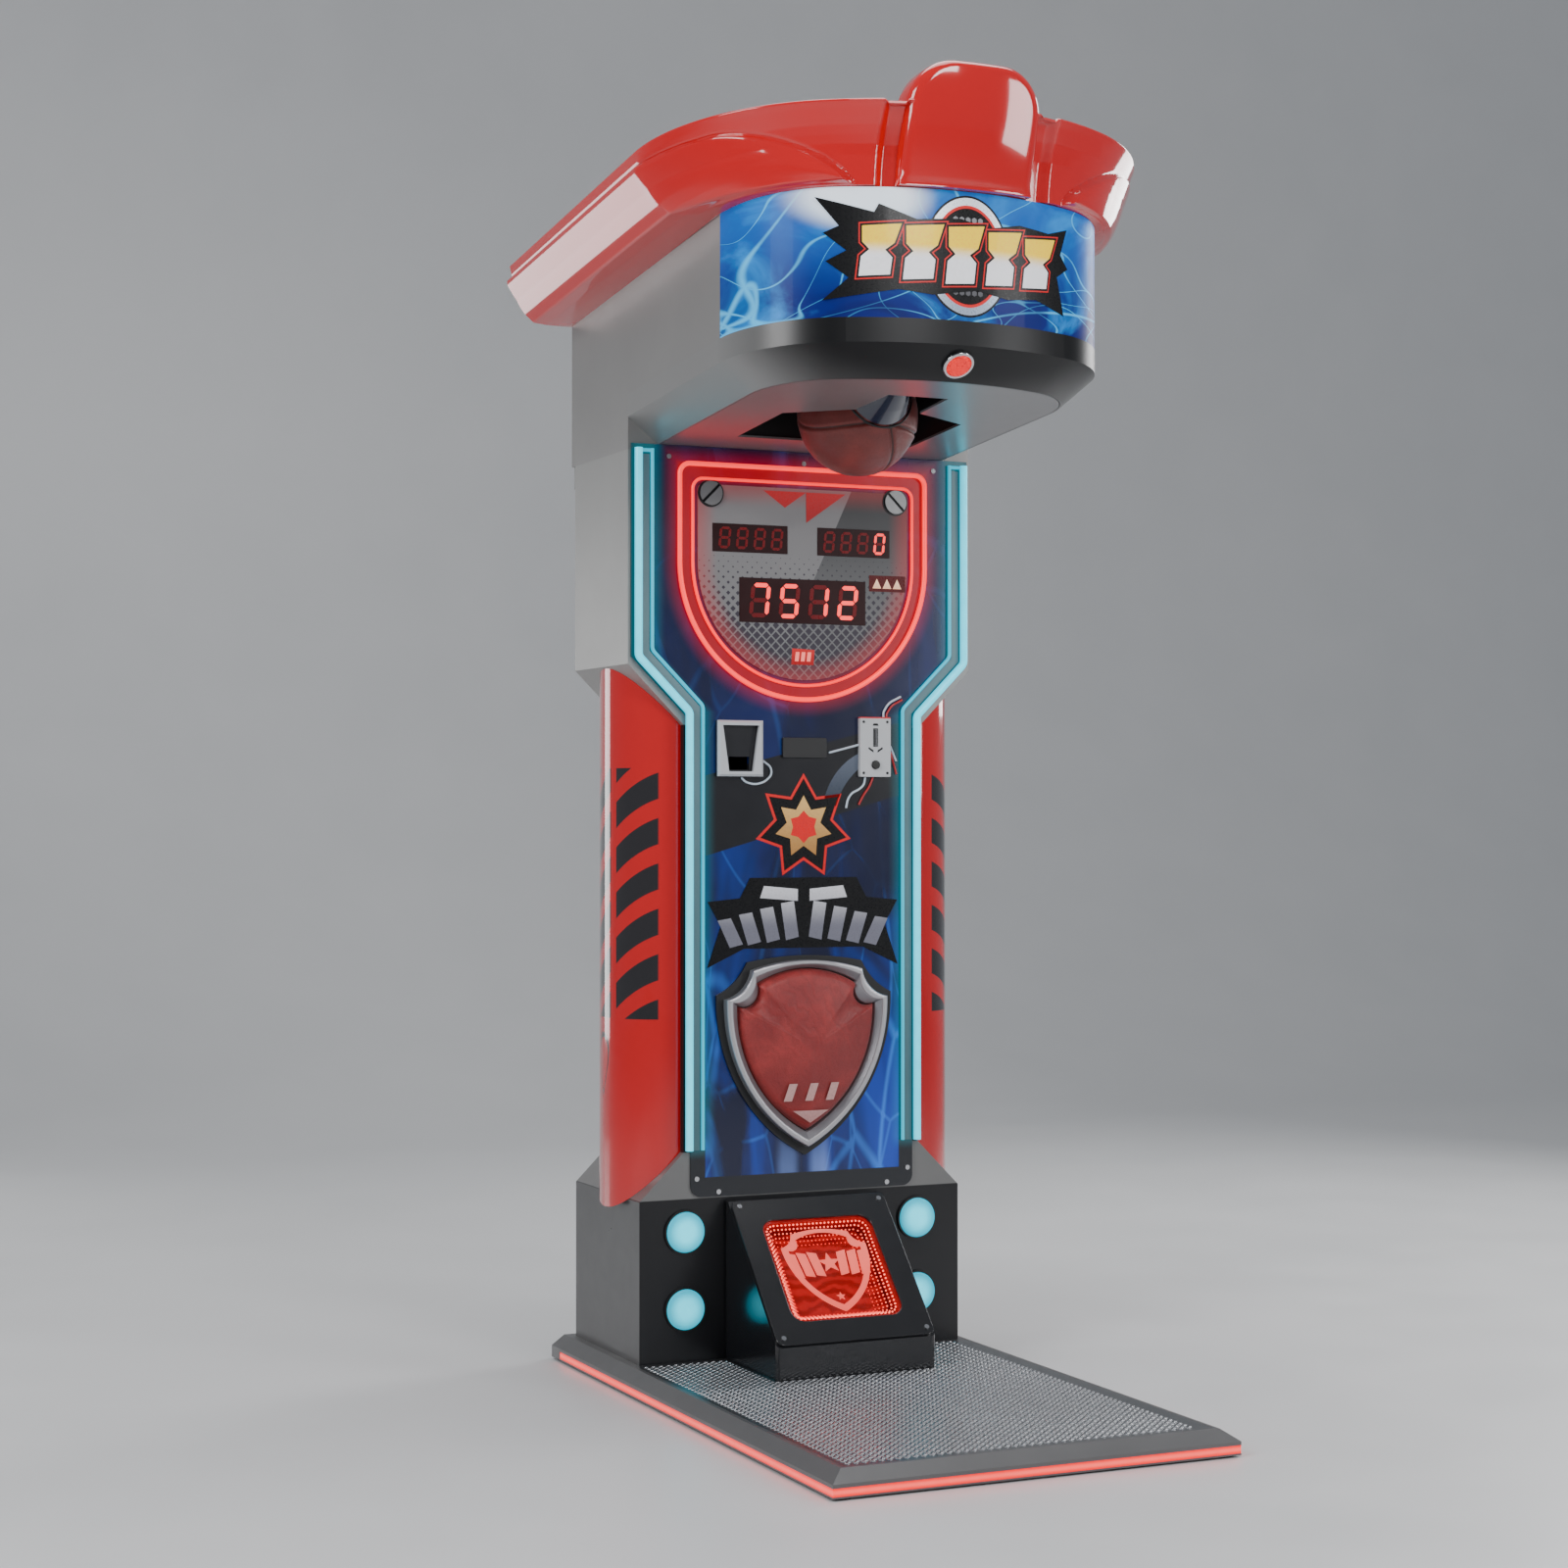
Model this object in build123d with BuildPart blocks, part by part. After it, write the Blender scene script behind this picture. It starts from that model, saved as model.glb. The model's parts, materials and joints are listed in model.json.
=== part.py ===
"""Boxing punch machine: a lit platform, a kick box, a narrow column and a wide overhanging head.

The player stands on the platform and punches the ball that hangs from a swing arm in the head.
The blow throws the ball up and back, where a magnet holds the arm until the next game.
A disc on the arm's shaft turns in an optical sensor, and the displays show the score.
Millimetres, +Z up, the front faces -Y, and the origin is on the floor under the platform's centre.
"""
import os
from math import asin, cos, pi, radians, sin, tan

from build123d import *

os.makedirs("parts", exist_ok=True)

# ---------------------------------------------------------------- driving dimensions
PLATFORM_WIDTH = 725
PLATFORM_DEPTH = 1244
PLATFORM_HEIGHT = 43
PLATFORM_BEVEL = 25
PLATFORM_BAND = 25           # height of the upright outer band
FOOT_HEIGHT = 3
FOOT_RADIUS = 18
DECK_SHEET = 3
DECK_RIM = 8                 # rim between the bevel and the deck plate
LIGHT_GROOVE_LOW = 6
LIGHT_GROOVE_HEIGHT = 13
LIGHT_GROOVE_DEPTH = 6

CABINET_SETBACK = 350        # from the platform's rear edge to the cabinets' front
LOWER_WIDTH = 644
LOWER_DEPTH = 328
LOWER_WALL_HEIGHT = 292
COLUMN_WIDTH = 474
COLUMN_HEIGHT = 773
CABINET_DEPTH = 273          # column and upper cabinet
UPPER_WIDTH = 690
UPPER_WALL_HEIGHT = 385
SHEET = 3                    # steel sheet of the cabinets and the head

HEAD_REACH = 640             # how far the head stands out in front of the cabinets
HEAD_SIDE_REACH = 421        # length of the flat sides in front of the cabinets
HEAD_BACK = 292
HEAD_HEIGHT = 297            # from the seam to the roof, above the cabinets' front
HEAD_FRONT_RADIUS = 660
HEAD_CORNER_RADIUS = 205
ROOF_SLOPE = 0.107
UNDER_SLOPE = 0.0841
UNDER_RISE = 12              # underside above the seam, at the cabinets' front
UNDER_SHEET = 4
BEVEL_INSET = 57
BEVEL_RISE = 47
TRIM_BAND = 40
SIGN_WALL = 3

CROWN_HALF = 465
CROWN_REACH = 694
CROWN_REAR = 322
CROWN_RADIUS = 600
CROWN_CORNER = 350
CROWN_HEIGHT = 116           # rim above the roof, over the cabinets' front
CROWN_SLOPE = 0.12
CROWN_LIP = 30
CROWN_WALL = 6
LOBE_HALF = 122
LOBE_HEIGHT = 269            # above the roof over the cabinets' front
LOBE_CORNER = 78

PIVOT_REACH = 407            # pivot in front of the cabinets' front
PIVOT_RISE = 61              # pivot above the underside
ARM_LENGTH = 183             # pivot to ball centre
LATCHED_ANGLE = 71.9         # arm's angle from straight down while the latch holds it
BALL_RADIUS = 108
SHAFT_RADIUS = 10
HUB_RADIUS = 28
HUB_HALF = 52
NECK_RADIUS = 50
CUP_RADIUS = 62
SPIGOT_RADIUS = 16
SLOT_HALF_WIDE = 174
SLOT_HALF_NARROW = 60
SLOT_MARGIN = 19             # behind the reach of the ball
RAIL_SIZE = 40
RAIL_X = 140
RAIL_RISE = 69               # underside of the rails above the pivot

PLATE_SHEET = 4
PLATE_DROP = 81              # the front plate reaches this far below the column's foot
PLATE_SIDE_MARGIN = 13
PLATE_CORNER = 20
OUTER_TUBE_RADIUS = 7.5
INNER_TUBE_RADIUS = 3.5
TUBE_PITCH = 28
TUBE_OVER_SEAM = 3
TUBE_OVER_FOOT = 4
OUTER_NEON_HALF = 248
OUTER_NEON_RADIUS = 4.5
INNER_NEON_HALF = 222
INNER_NEON_RADIUS = 3
DISPLAY_HALF = 212
DISPLAY_SHEET = 3
DISPLAY_DROP = 196           # centre of the round lower half below the seam
DISPLAY_FLAT = 176           # height of the straight upper half, at the outer neon
LOCK_RADIUS = 22
LOCK_STEM_RADIUS = 6
LOCK_X = 187
LOCK_DROP = 72

KICK_HALF = 156
KICK_REACH = 232
KICK_LIP = 57
KICK_HEIGHT = 286
KICK_TOP_DEPTH = 16
KICK_WINDOW = 218
KICK_FRAME_SHEET = 5
KICK_MIRROR_DEPTH = 40
LAMP_RADIUS = 40
LAMP_X = 234
LAMP_HEIGHTS = (95, 234)     # above the deck

PANEL_WALL = 4
PANEL_BULGE = 104            # how far a side panel stands out from the column
PANEL_BULGE_BACK = 100       # its widest place behind the cabinets' front
PANEL_START = 14
PANEL_BEND = (66, 34)
SHIELD_LIFT = 2              # shield's tip above the column's foot

DOOR_HALF = 185
DOOR_LIFT = 65               # above the column's foot
DOOR_DROP = 78               # below the upper cabinet's foot
DOOR_DEPTH = 18
DOOR_SHEET = 2
HINGE_PIN_RADIUS = 3
HINGE_KNUCKLE_RADIUS = 6
HINGE_OFFSET = 8
HINGE_INSET = 115            # hinges from the door's ends
DOOR_LOCK_X = 155
DOOR_LOCK_RADIUS = 9

RUNNING = 0.05               # radial clearance of pins and shafts
CLEAR = 0.3                  # clearance of loose and soft fits
GAP = 0.5                    # gap around covers

# ---------------------------------------------------------------- places worked out from them
DECK_TOP = PLATFORM_HEIGHT
FRONT = PLATFORM_DEPTH / 2 - CABINET_SETBACK
LOWER_REAR = FRONT + LOWER_DEPTH
REAR = FRONT + CABINET_DEPTH
LOWER_HALF = LOWER_WIDTH / 2
COLUMN_HALF = COLUMN_WIDTH / 2
UPPER_HALF = UPPER_WIDTH / 2
LOWER_WALL_TOP = DECK_TOP + LOWER_WALL_HEIGHT
COLUMN_FOOT = LOWER_WALL_TOP + LOWER_HALF - COLUMN_HALF
UPPER_FOOT = COLUMN_FOOT + COLUMN_HEIGHT
UPPER_WALL_BOTTOM = UPPER_FOOT + UPPER_HALF - COLUMN_HALF
SEAM = UPPER_WALL_BOTTOM + UPPER_WALL_HEIGHT
PLATE_FRONT = FRONT - PLATE_SHEET
UNDER_Z = SEAM + UNDER_RISE
TRIM_TOP = BEVEL_RISE + TRIM_BAND
ROOF_Z = SEAM + HEAD_HEIGHT
HEAD_REAR = FRONT + HEAD_BACK
PIVOT_Y = FRONT - PIVOT_REACH
PIVOT_Z = UNDER_Z + UNDER_SLOPE * PIVOT_REACH + PIVOT_RISE
RAIL_Z = PIVOT_Z + RAIL_RISE
SLOT_FRONT = PIVOT_Y - 62
SLOT_NOTCH = PIVOT_Y + 53
SLOT_SHOULDER = PIVOT_Y + 113
SLOT_REAR = PIVOT_Y + ARM_LENGTH + BALL_RADIUS + SLOT_MARGIN
MIDDLE_Z = UPPER_FOOT - 40   # centre line of the coin and note panel
PLATE_BOTTOM = COLUMN_FOOT - PLATE_DROP
TUBE_TOP = SEAM + TUBE_OVER_SEAM
TUBE_BOTTOM = COLUMN_FOOT + TUBE_OVER_FOOT
DISPLAY_CENTRE_Z = SEAM - DISPLAY_DROP
LOCK_Z = SEAM - LOCK_DROP
KICK_TOP = DECK_TOP + KICK_HEIGHT
LAMP_LEVELS = [DECK_TOP + height for height in LAMP_HEIGHTS]
SHIELD_TIP = COLUMN_FOOT + SHIELD_LIFT
DOOR_LOW = COLUMN_FOOT + DOOR_LIFT
DOOR_HIGH = UPPER_FOOT - DOOR_DROP
DOOR_LOCK_Z = (DOOR_LOW + DOOR_HIGH) / 2
HINGE_LEVELS = (DOOR_LOW + HINGE_INSET, DOOR_HIGH - HINGE_INSET)


def front_plane(y):
    """Upright plane that faces the player, so that an extrusion stands out to the front."""
    return Plane.XZ.offset(-y)


def head_plane(z, slope, rise=0):
    """Plane through the cabinets' front at a height, rising to the front with a slope."""
    return Plane(origin=(0, FRONT, z + rise), x_dir=(1, 0, 0), z_dir=(0, slope, 1))


def under_z(y):
    """Height of the head's flat underside."""
    return UNDER_Z + UNDER_SLOPE * (FRONT - y)


def block(x, y, z, mode=Mode.ADD):
    """Box between two corners, given as (low, high) along each axis."""
    with Locations(((x[0] + x[1]) / 2, (y[0] + y[1]) / 2, (z[0] + z[1]) / 2)):
        Box(x[1] - x[0], y[1] - y[0], z[1] - z[0], mode=mode)


def hood_outline(half, reach, front_radius, corner_radius, rear, inset=0):
    """Plan outline with straight sides and a bowed front, measured from the cabinets' front."""
    half, reach, front_radius = half - inset, reach - inset, front_radius - inset
    corner_radius = corner_radius - inset
    centre_y = front_radius - reach
    lean = asin((half - corner_radius) / (front_radius - corner_radius))
    corner_x = half - corner_radius
    corner_y = centre_y - (front_radius - corner_radius) * cos(lean)
    join = (front_radius * sin(lean), centre_y - front_radius * cos(lean))
    middle = (lean + pi / 2) / 2
    bend = (corner_x + corner_radius * sin(middle), corner_y - corner_radius * cos(middle))
    with BuildLine() as outline:
        ThreePointArc((-join[0], join[1]), (0, -reach), join)
        ThreePointArc(join, bend, (half, corner_y))
        Line((half, corner_y), (half, rear))
        Line((half, rear), (-half, rear))
        Line((-half, rear), (-half, corner_y))
        ThreePointArc((-half, corner_y), (-bend[0], bend[1]), (-join[0], join[1]))
    return outline.edges()


def along_slope(length, slope):
    """Length measured along a sloped plane for a level length."""
    return length * (1 + slope ** 2) ** 0.5


def head_outline(inset, rear, slope=0):
    """Plan outline of the head, drawn on a level plane or on one that rises to the front."""
    return hood_outline(UPPER_HALF, along_slope(HEAD_REACH, slope), HEAD_FRONT_RADIUS,
                        HEAD_CORNER_RADIUS, rear, inset)


def stadium_outline(half, top, centre_z, corner):
    """Front outline with a square top and a half-round bottom."""
    with BuildLine() as outline:
        Line((-half, centre_z), (-half, top - corner))
        RadiusArc((-half, top - corner), (-half + corner, top), corner)
        Line((-half + corner, top), (half - corner, top))
        RadiusArc((half - corner, top), (half, top - corner), corner)
        Line((half, top - corner), (half, centre_z))
        ThreePointArc((half, centre_z), (0, centre_z - half), (-half, centre_z))
    return outline.edges()


def shield_outline(grow):
    """Shield outline: bowed top, hollow shoulders, and sides that curve down to a point."""
    top = (110 + 0.4 * grow, SHIELD_TIP + 325 + grow)
    notch = (128 + 0.9 * grow, SHIELD_TIP + 290 + grow)
    shoulder = (162 + grow, SHIELD_TIP + 273 + grow / 2)
    side = (126 + grow, SHIELD_TIP + 123)
    tip = (0, SHIELD_TIP - 1.15 * grow)
    with BuildLine() as outline:
        ThreePointArc((-top[0], top[1]), (0, SHIELD_TIP + 342 + 0.6 * grow), top)
        ThreePointArc(top, notch, shoulder)
        ThreePointArc(shoulder, side, tip)
        ThreePointArc(tip, (-side[0], side[1]), (-shoulder[0], shoulder[1]))
        ThreePointArc((-shoulder[0], shoulder[1]), (-notch[0], notch[1]), (-top[0], top[1]))
    return outline.edges()


# ================================================================ platform
BEVEL_DROP = PLATFORM_HEIGHT - PLATFORM_BAND
RIM_X = PLATFORM_WIDTH / 2 - PLATFORM_BEVEL - DECK_RIM
RIM_Y = PLATFORM_DEPTH / 2 - PLATFORM_BEVEL - DECK_RIM
RING = 44                    # width of the closed ring under the platform's edge
FRAME_SKIN = 4

with BuildPart() as platform_frame:
    block((-PLATFORM_WIDTH / 2, PLATFORM_WIDTH / 2), (-PLATFORM_DEPTH / 2, PLATFORM_DEPTH / 2),
          (FOOT_HEIGHT, PLATFORM_HEIGHT))
    top_face = platform_frame.faces().sort_by(Axis.Z)[-1]
    bevel_edges = top_face.edges().filter_by(Axis.Y) + top_face.edges().sort_by(Axis.Y)[:1]
    chamfer(bevel_edges, length=PLATFORM_BEVEL, length2=BEVEL_DROP, reference=top_face)
    block((-PLATFORM_WIDTH / 2 + RING, PLATFORM_WIDTH / 2 - RING),
          (-PLATFORM_DEPTH / 2 + RING, PLATFORM_DEPTH / 2 - RING),
          (0, PLATFORM_HEIGHT - DECK_SHEET - FRAME_SKIN), mode=Mode.SUBTRACT)
    for rib_y in (-PLATFORM_DEPTH / 4, 0, FRONT + LOWER_DEPTH / 2):
        block((-PLATFORM_WIDTH / 2 + RING, PLATFORM_WIDTH / 2 - RING), (rib_y - 15, rib_y + 15),
              (FOOT_HEIGHT, PLATFORM_HEIGHT - DECK_SHEET - FRAME_SKIN))
    block((-RIM_X, RIM_X), (-RIM_Y, FRONT), (PLATFORM_HEIGHT - DECK_SHEET, PLATFORM_HEIGHT + 1),
          mode=Mode.SUBTRACT)
    groove_z = (LIGHT_GROOVE_LOW, LIGHT_GROOVE_LOW + LIGHT_GROOVE_HEIGHT)
    for side in (-1, 1):
        edge = side * PLATFORM_WIDTH / 2
        inner = edge - side * LIGHT_GROOVE_DEPTH
        block((min(edge, inner), max(edge, inner)), (-PLATFORM_DEPTH / 2, PLATFORM_DEPTH / 2 - RING),
              groove_z, mode=Mode.SUBTRACT)
    block((-PLATFORM_WIDTH / 2, PLATFORM_WIDTH / 2),
          (-PLATFORM_DEPTH / 2, -PLATFORM_DEPTH / 2 + LIGHT_GROOVE_DEPTH), groove_z, mode=Mode.SUBTRACT)
platform_frame.part.label = "platform_frame"
export_step(platform_frame.part, "parts/platform_frame.step")

with BuildPart() as deck_plate:
    block((-RIM_X + GAP, RIM_X - GAP), (-RIM_Y + GAP, FRONT - GAP),
          (PLATFORM_HEIGHT - DECK_SHEET, PLATFORM_HEIGHT))
deck_plate.part.label = "deck_plate"
export_step(deck_plate.part, "parts/deck_plate.step")

LIGHT_INSET = 0.5            # light strip behind the band's outer face
with BuildPart() as platform_light_strip:
    strip_x = PLATFORM_WIDTH / 2 - LIGHT_INSET
    strip_y = -PLATFORM_DEPTH / 2 + LIGHT_INSET
    strip_depth = LIGHT_GROOVE_DEPTH - LIGHT_INSET
    for side in (-1, 1):
        outer, inner = side * strip_x, side * (strip_x - strip_depth)
        block((min(outer, inner), max(outer, inner)), (strip_y, PLATFORM_DEPTH / 2 - RING), groove_z)
    block((-strip_x, strip_x), (strip_y, strip_y + strip_depth), groove_z)
platform_light_strip.part.label = "platform_light_strip"
export_step(platform_light_strip.part, "parts/platform_light_strip.step")

with BuildPart() as platform_feet:
    foot_x = PLATFORM_WIDTH / 2 - RING / 2
    foot_y = PLATFORM_DEPTH / 2 - RING / 2
    with BuildSketch(Plane.XY):
        with Locations([(x, y) for x in (-foot_x, foot_x) for y in (-foot_y, 0, foot_y)]):
            Circle(FOOT_RADIUS)
    extrude(amount=FOOT_HEIGHT)
platform_feet.part.label = "platform_feet"
export_step(platform_feet.part, "parts/platform_feet.step")

# ================================================================ lower cabinet
CABLE_HOLE = (-100, 100)
CABLE_HOLE_Y = (FRONT + 80, FRONT + 200)
INLET_X = (150, 198)
INLET_Z = (110, 138)
lower_outline = [(-LOWER_HALF, DECK_TOP), (LOWER_HALF, DECK_TOP), (LOWER_HALF, LOWER_WALL_TOP),
                 (COLUMN_HALF, COLUMN_FOOT), (-COLUMN_HALF, COLUMN_FOOT), (-LOWER_HALF, LOWER_WALL_TOP)]

with BuildPart() as lower_cabinet:
    with BuildSketch(front_plane(LOWER_REAR)):
        Polygon(*lower_outline, align=None)
    extrude(amount=LOWER_DEPTH)
    with BuildSketch(front_plane(LOWER_REAR - SHEET)):
        Polygon(*lower_outline, align=None)
        offset(amount=-SHEET, kind=Kind.INTERSECTION, mode=Mode.REPLACE)
    extrude(amount=LOWER_DEPTH - 2 * SHEET, mode=Mode.SUBTRACT)
    block(CABLE_HOLE, CABLE_HOLE_Y, (COLUMN_FOOT - 2 * SHEET, COLUMN_FOOT + 1), mode=Mode.SUBTRACT)
    block((INLET_X[0] - GAP, INLET_X[1] + GAP), (LOWER_REAR - 2 * SHEET, LOWER_REAR + 1),
          (INLET_Z[0] - GAP, INLET_Z[1] + GAP), mode=Mode.SUBTRACT)
lower_cabinet.part.label = "lower_cabinet"
export_step(lower_cabinet.part, "parts/lower_cabinet.step")

lamp_places = [(x, z) for x in (-LAMP_X, LAMP_X) for z in LAMP_LEVELS]
LAMP_BEZEL_DEPTH = 5
LAMP_RING = 3

with BuildPart() as lamp_bezels:
    with BuildSketch(front_plane(FRONT)):
        with Locations(lamp_places):
            Circle(LAMP_RADIUS)
            Circle(LAMP_RADIUS - LAMP_RING, mode=Mode.SUBTRACT)
    extrude(amount=LAMP_BEZEL_DEPTH)
lamp_bezels.part.label = "lamp_bezels"
export_step(lamp_bezels.part, "parts/lamp_bezels.step")

with BuildPart() as lamp_lenses:
    with BuildSketch(front_plane(FRONT)):
        with Locations(lamp_places):
            Circle(LAMP_RADIUS - LAMP_RING - CLEAR)
    extrude(amount=LAMP_BEZEL_DEPTH + 3)
    fillet(lamp_lenses.faces().sort_by(Axis.Y)[:4].edges(), radius=4)
lamp_lenses.part.label = "lamp_lenses"
export_step(lamp_lenses.part, "parts/lamp_lenses.step")

with BuildPart() as power_inlet:
    block(INLET_X, (LOWER_REAR - 30, LOWER_REAR), INLET_Z)
    block((INLET_X[0] - 5, INLET_X[1] + 5), (LOWER_REAR, LOWER_REAR + 4), (INLET_Z[0] - 5, INLET_Z[1] + 5))
    block((INLET_X[0] + 11, INLET_X[1] - 11), (LOWER_REAR - 16, LOWER_REAR + 5),
          (INLET_Z[0] + 6, INLET_Z[1] - 6), mode=Mode.SUBTRACT)
power_inlet.part.label = "power_inlet"
export_step(power_inlet.part, "parts/power_inlet.step")

with BuildPart() as cash_box:
    floor = DECK_TOP + SHEET
    block((-110, 110), (FRONT + 60, FRONT + 240), (floor, floor + 160))
    block((-106, 106), (FRONT + 64, FRONT + 236), (floor + 4, floor + 156), mode=Mode.SUBTRACT)
    block((-20, 20), (FRONT + 140, FRONT + 150), (floor + 150, floor + 170), mode=Mode.SUBTRACT)
cash_box.part.label = "cash_box"
export_step(cash_box.part, "parts/cash_box.step")

# ================================================================ kick box
KICK_FRONT = FRONT - KICK_REACH
kick_lip_top = DECK_TOP + KICK_LIP
kick_slope_low = (KICK_FRONT, kick_lip_top)
kick_slope_high = (FRONT - KICK_TOP_DEPTH, KICK_TOP)
slope_run = kick_slope_high[0] - kick_slope_low[0]
slope_rise = kick_slope_high[1] - kick_slope_low[1]
slope_length = (slope_run ** 2 + slope_rise ** 2) ** 0.5
slope_up = (slope_run / slope_length, slope_rise / slope_length)
kick_face = Plane(
    origin=(0, (kick_slope_low[0] + kick_slope_high[0]) / 2, (kick_slope_low[1] + kick_slope_high[1]) / 2),
    x_dir=(1, 0, 0), z_dir=(0, -slope_up[1], slope_up[0]))
kick_profile = [(FRONT, DECK_TOP), (KICK_FRONT, DECK_TOP), kick_slope_low, kick_slope_high, (FRONT, KICK_TOP)]
KICK_EDGE = 8
KICK_SCREW_INSET = 16
WINDOW_CORNER = 26

with BuildPart() as kick_housing:
    with BuildSketch(Plane.YZ):
        Polygon(*kick_profile, align=None)
    extrude(amount=KICK_HALF, both=True)
    fillet(kick_housing.edges().filter_by(Axis.Z), radius=KICK_EDGE)
    with BuildSketch(kick_face):
        RectangleRounded(KICK_WINDOW + 4, KICK_WINDOW + 4, WINDOW_CORNER)
    extrude(amount=-KICK_MIRROR_DEPTH - 8, mode=Mode.SUBTRACT)
kick_housing.part.label = "kick_housing"
export_step(kick_housing.part, "parts/kick_housing.step")

with BuildPart() as kick_frame:
    with BuildSketch(kick_face):
        RectangleRounded(2 * KICK_HALF - 4, slope_length - 4, 14)
        RectangleRounded(KICK_WINDOW, KICK_WINDOW, WINDOW_CORNER, mode=Mode.SUBTRACT)
    extrude(amount=KICK_FRAME_SHEET)
    fillet(kick_frame.faces().sort_by(SortBy.AREA)[-2:].sort_by(Axis.Z)[-1].edges(), radius=1.5)
kick_frame.part.label = "kick_frame"
export_step(kick_frame.part, "parts/kick_frame.step")

GLASS_SHEET = 4
with BuildPart() as kick_glass:
    with BuildSketch(kick_face.offset(KICK_FRAME_SHEET - 1)):
        RectangleRounded(KICK_WINDOW - GAP, KICK_WINDOW - GAP, WINDOW_CORNER)
    extrude(amount=-GLASS_SHEET)
kick_glass.part.label = "kick_glass"
export_step(kick_glass.part, "parts/kick_glass.step")

RING_WIDTH = 7
with BuildPart() as kick_light_ring:
    with BuildSketch(kick_face.offset(-GAP)):
        RectangleRounded(KICK_WINDOW + 4, KICK_WINDOW + 4, WINDOW_CORNER)
        RectangleRounded(KICK_WINDOW + 4 - 2 * RING_WIDTH, KICK_WINDOW + 4 - 2 * RING_WIDTH,
                         WINDOW_CORNER - RING_WIDTH, mode=Mode.SUBTRACT)
    extrude(amount=-(KICK_MIRROR_DEPTH - GAP))
kick_light_ring.part.label = "kick_light_ring"
export_step(kick_light_ring.part, "parts/kick_light_ring.step")

with BuildPart() as kick_mirror:
    with BuildSketch(kick_face.offset(-KICK_MIRROR_DEPTH)):
        RectangleRounded(KICK_WINDOW + 3, KICK_WINDOW + 3, WINDOW_CORNER - 0.5)
    extrude(amount=-4)
kick_mirror.part.label = "kick_mirror"
export_step(kick_mirror.part, "parts/kick_mirror.step")

# ================================================================ column and upper cabinet
upper_outline = [(-COLUMN_HALF, COLUMN_FOOT), (COLUMN_HALF, COLUMN_FOOT), (COLUMN_HALF, UPPER_FOOT),
                 (UPPER_HALF, UPPER_WALL_BOTTOM), (UPPER_HALF, SEAM), (-UPPER_HALF, SEAM),
                 (-UPPER_HALF, UPPER_WALL_BOTTOM), (-COLUMN_HALF, UPPER_FOOT)]
lock_places = [(-LOCK_X, LOCK_Z), (LOCK_X, LOCK_Z)]
COIN_X = (112, 175)
COIN_Z = (MIDDLE_Z - 52, MIDDLE_Z + 59)
COIN_SLOT = ((COIN_X[0] + COIN_X[1]) / 2 - 1.8, (COIN_X[0] + COIN_X[1]) / 2 + 1.8)
COIN_SLOT_Z = (COIN_Z[0] + 58, COIN_Z[0] + 88)
NOTE_X = (-176, -86)
NOTE_Z = (MIDDLE_Z - 53, MIDDLE_Z + 49)
NOTE_CENTRE = (NOTE_X[0] + NOTE_X[1]) / 2
CUP_HALF = 20
CUP_Z = (NOTE_Z[0] + 12, NOTE_Z[0] + 36)
DOOR_LAP = 15                # how far the door laps the opening's edge

with BuildPart() as upper_cabinet:
    with BuildSketch(front_plane(REAR)):
        Polygon(*upper_outline, align=None)
    extrude(amount=CABINET_DEPTH)
    with BuildSketch(front_plane(REAR - SHEET)):
        Polygon(*upper_outline, align=None)
        offset(amount=-SHEET, kind=Kind.INTERSECTION, mode=Mode.REPLACE)
    extrude(amount=CABINET_DEPTH - 2 * SHEET, mode=Mode.SUBTRACT)
    for level in (COLUMN_FOOT, SEAM):
        block(CABLE_HOLE, CABLE_HOLE_Y, (level - 2 * SHEET, level + 2 * SHEET), mode=Mode.SUBTRACT)
    block((-DOOR_HALF + DOOR_LAP, DOOR_HALF - DOOR_LAP), (REAR - 2 * SHEET, REAR + 1),
          (DOOR_LOW + DOOR_LAP, DOOR_HIGH - DOOR_LAP), mode=Mode.SUBTRACT)
    with BuildSketch(front_plane(FRONT + 2 * SHEET)):
        with Locations(lock_places):
            Circle(LOCK_STEM_RADIUS + RUNNING)
    extrude(amount=3 * SHEET, mode=Mode.SUBTRACT)
    block(COIN_SLOT, (FRONT - 1, FRONT + 2 * SHEET), COIN_SLOT_Z, mode=Mode.SUBTRACT)
    block((NOTE_CENTRE - CUP_HALF, NOTE_CENTRE + CUP_HALF), (FRONT - 1, FRONT + 2 * SHEET), CUP_Z,
          mode=Mode.SUBTRACT)
upper_cabinet.part.label = "upper_cabinet"
export_step(upper_cabinet.part, "parts/upper_cabinet.step")

panel_low = COLUMN_FOOT - PANEL_BULGE - SHEET
panel_length = COLUMN_HEIGHT + 2 * PANEL_BULGE + 2 * SHEET


def panel_outline():
    """Plan outline of the bowed right side panel, closed along the column's side."""
    widest = (COLUMN_HALF + PANEL_BULGE, FRONT + PANEL_BULGE_BACK)
    with BuildLine() as outline:
        front = ThreePointArc((COLUMN_HALF, FRONT + PANEL_START),
                              (COLUMN_HALF + PANEL_BEND[0], FRONT + PANEL_BEND[1]), widest)
        back = TangentArc(widest, (COLUMN_HALF, REAR - GAP), tangent=front % 1)
        Line(back @ 1, front @ 0)
    return outline.edges()


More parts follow.
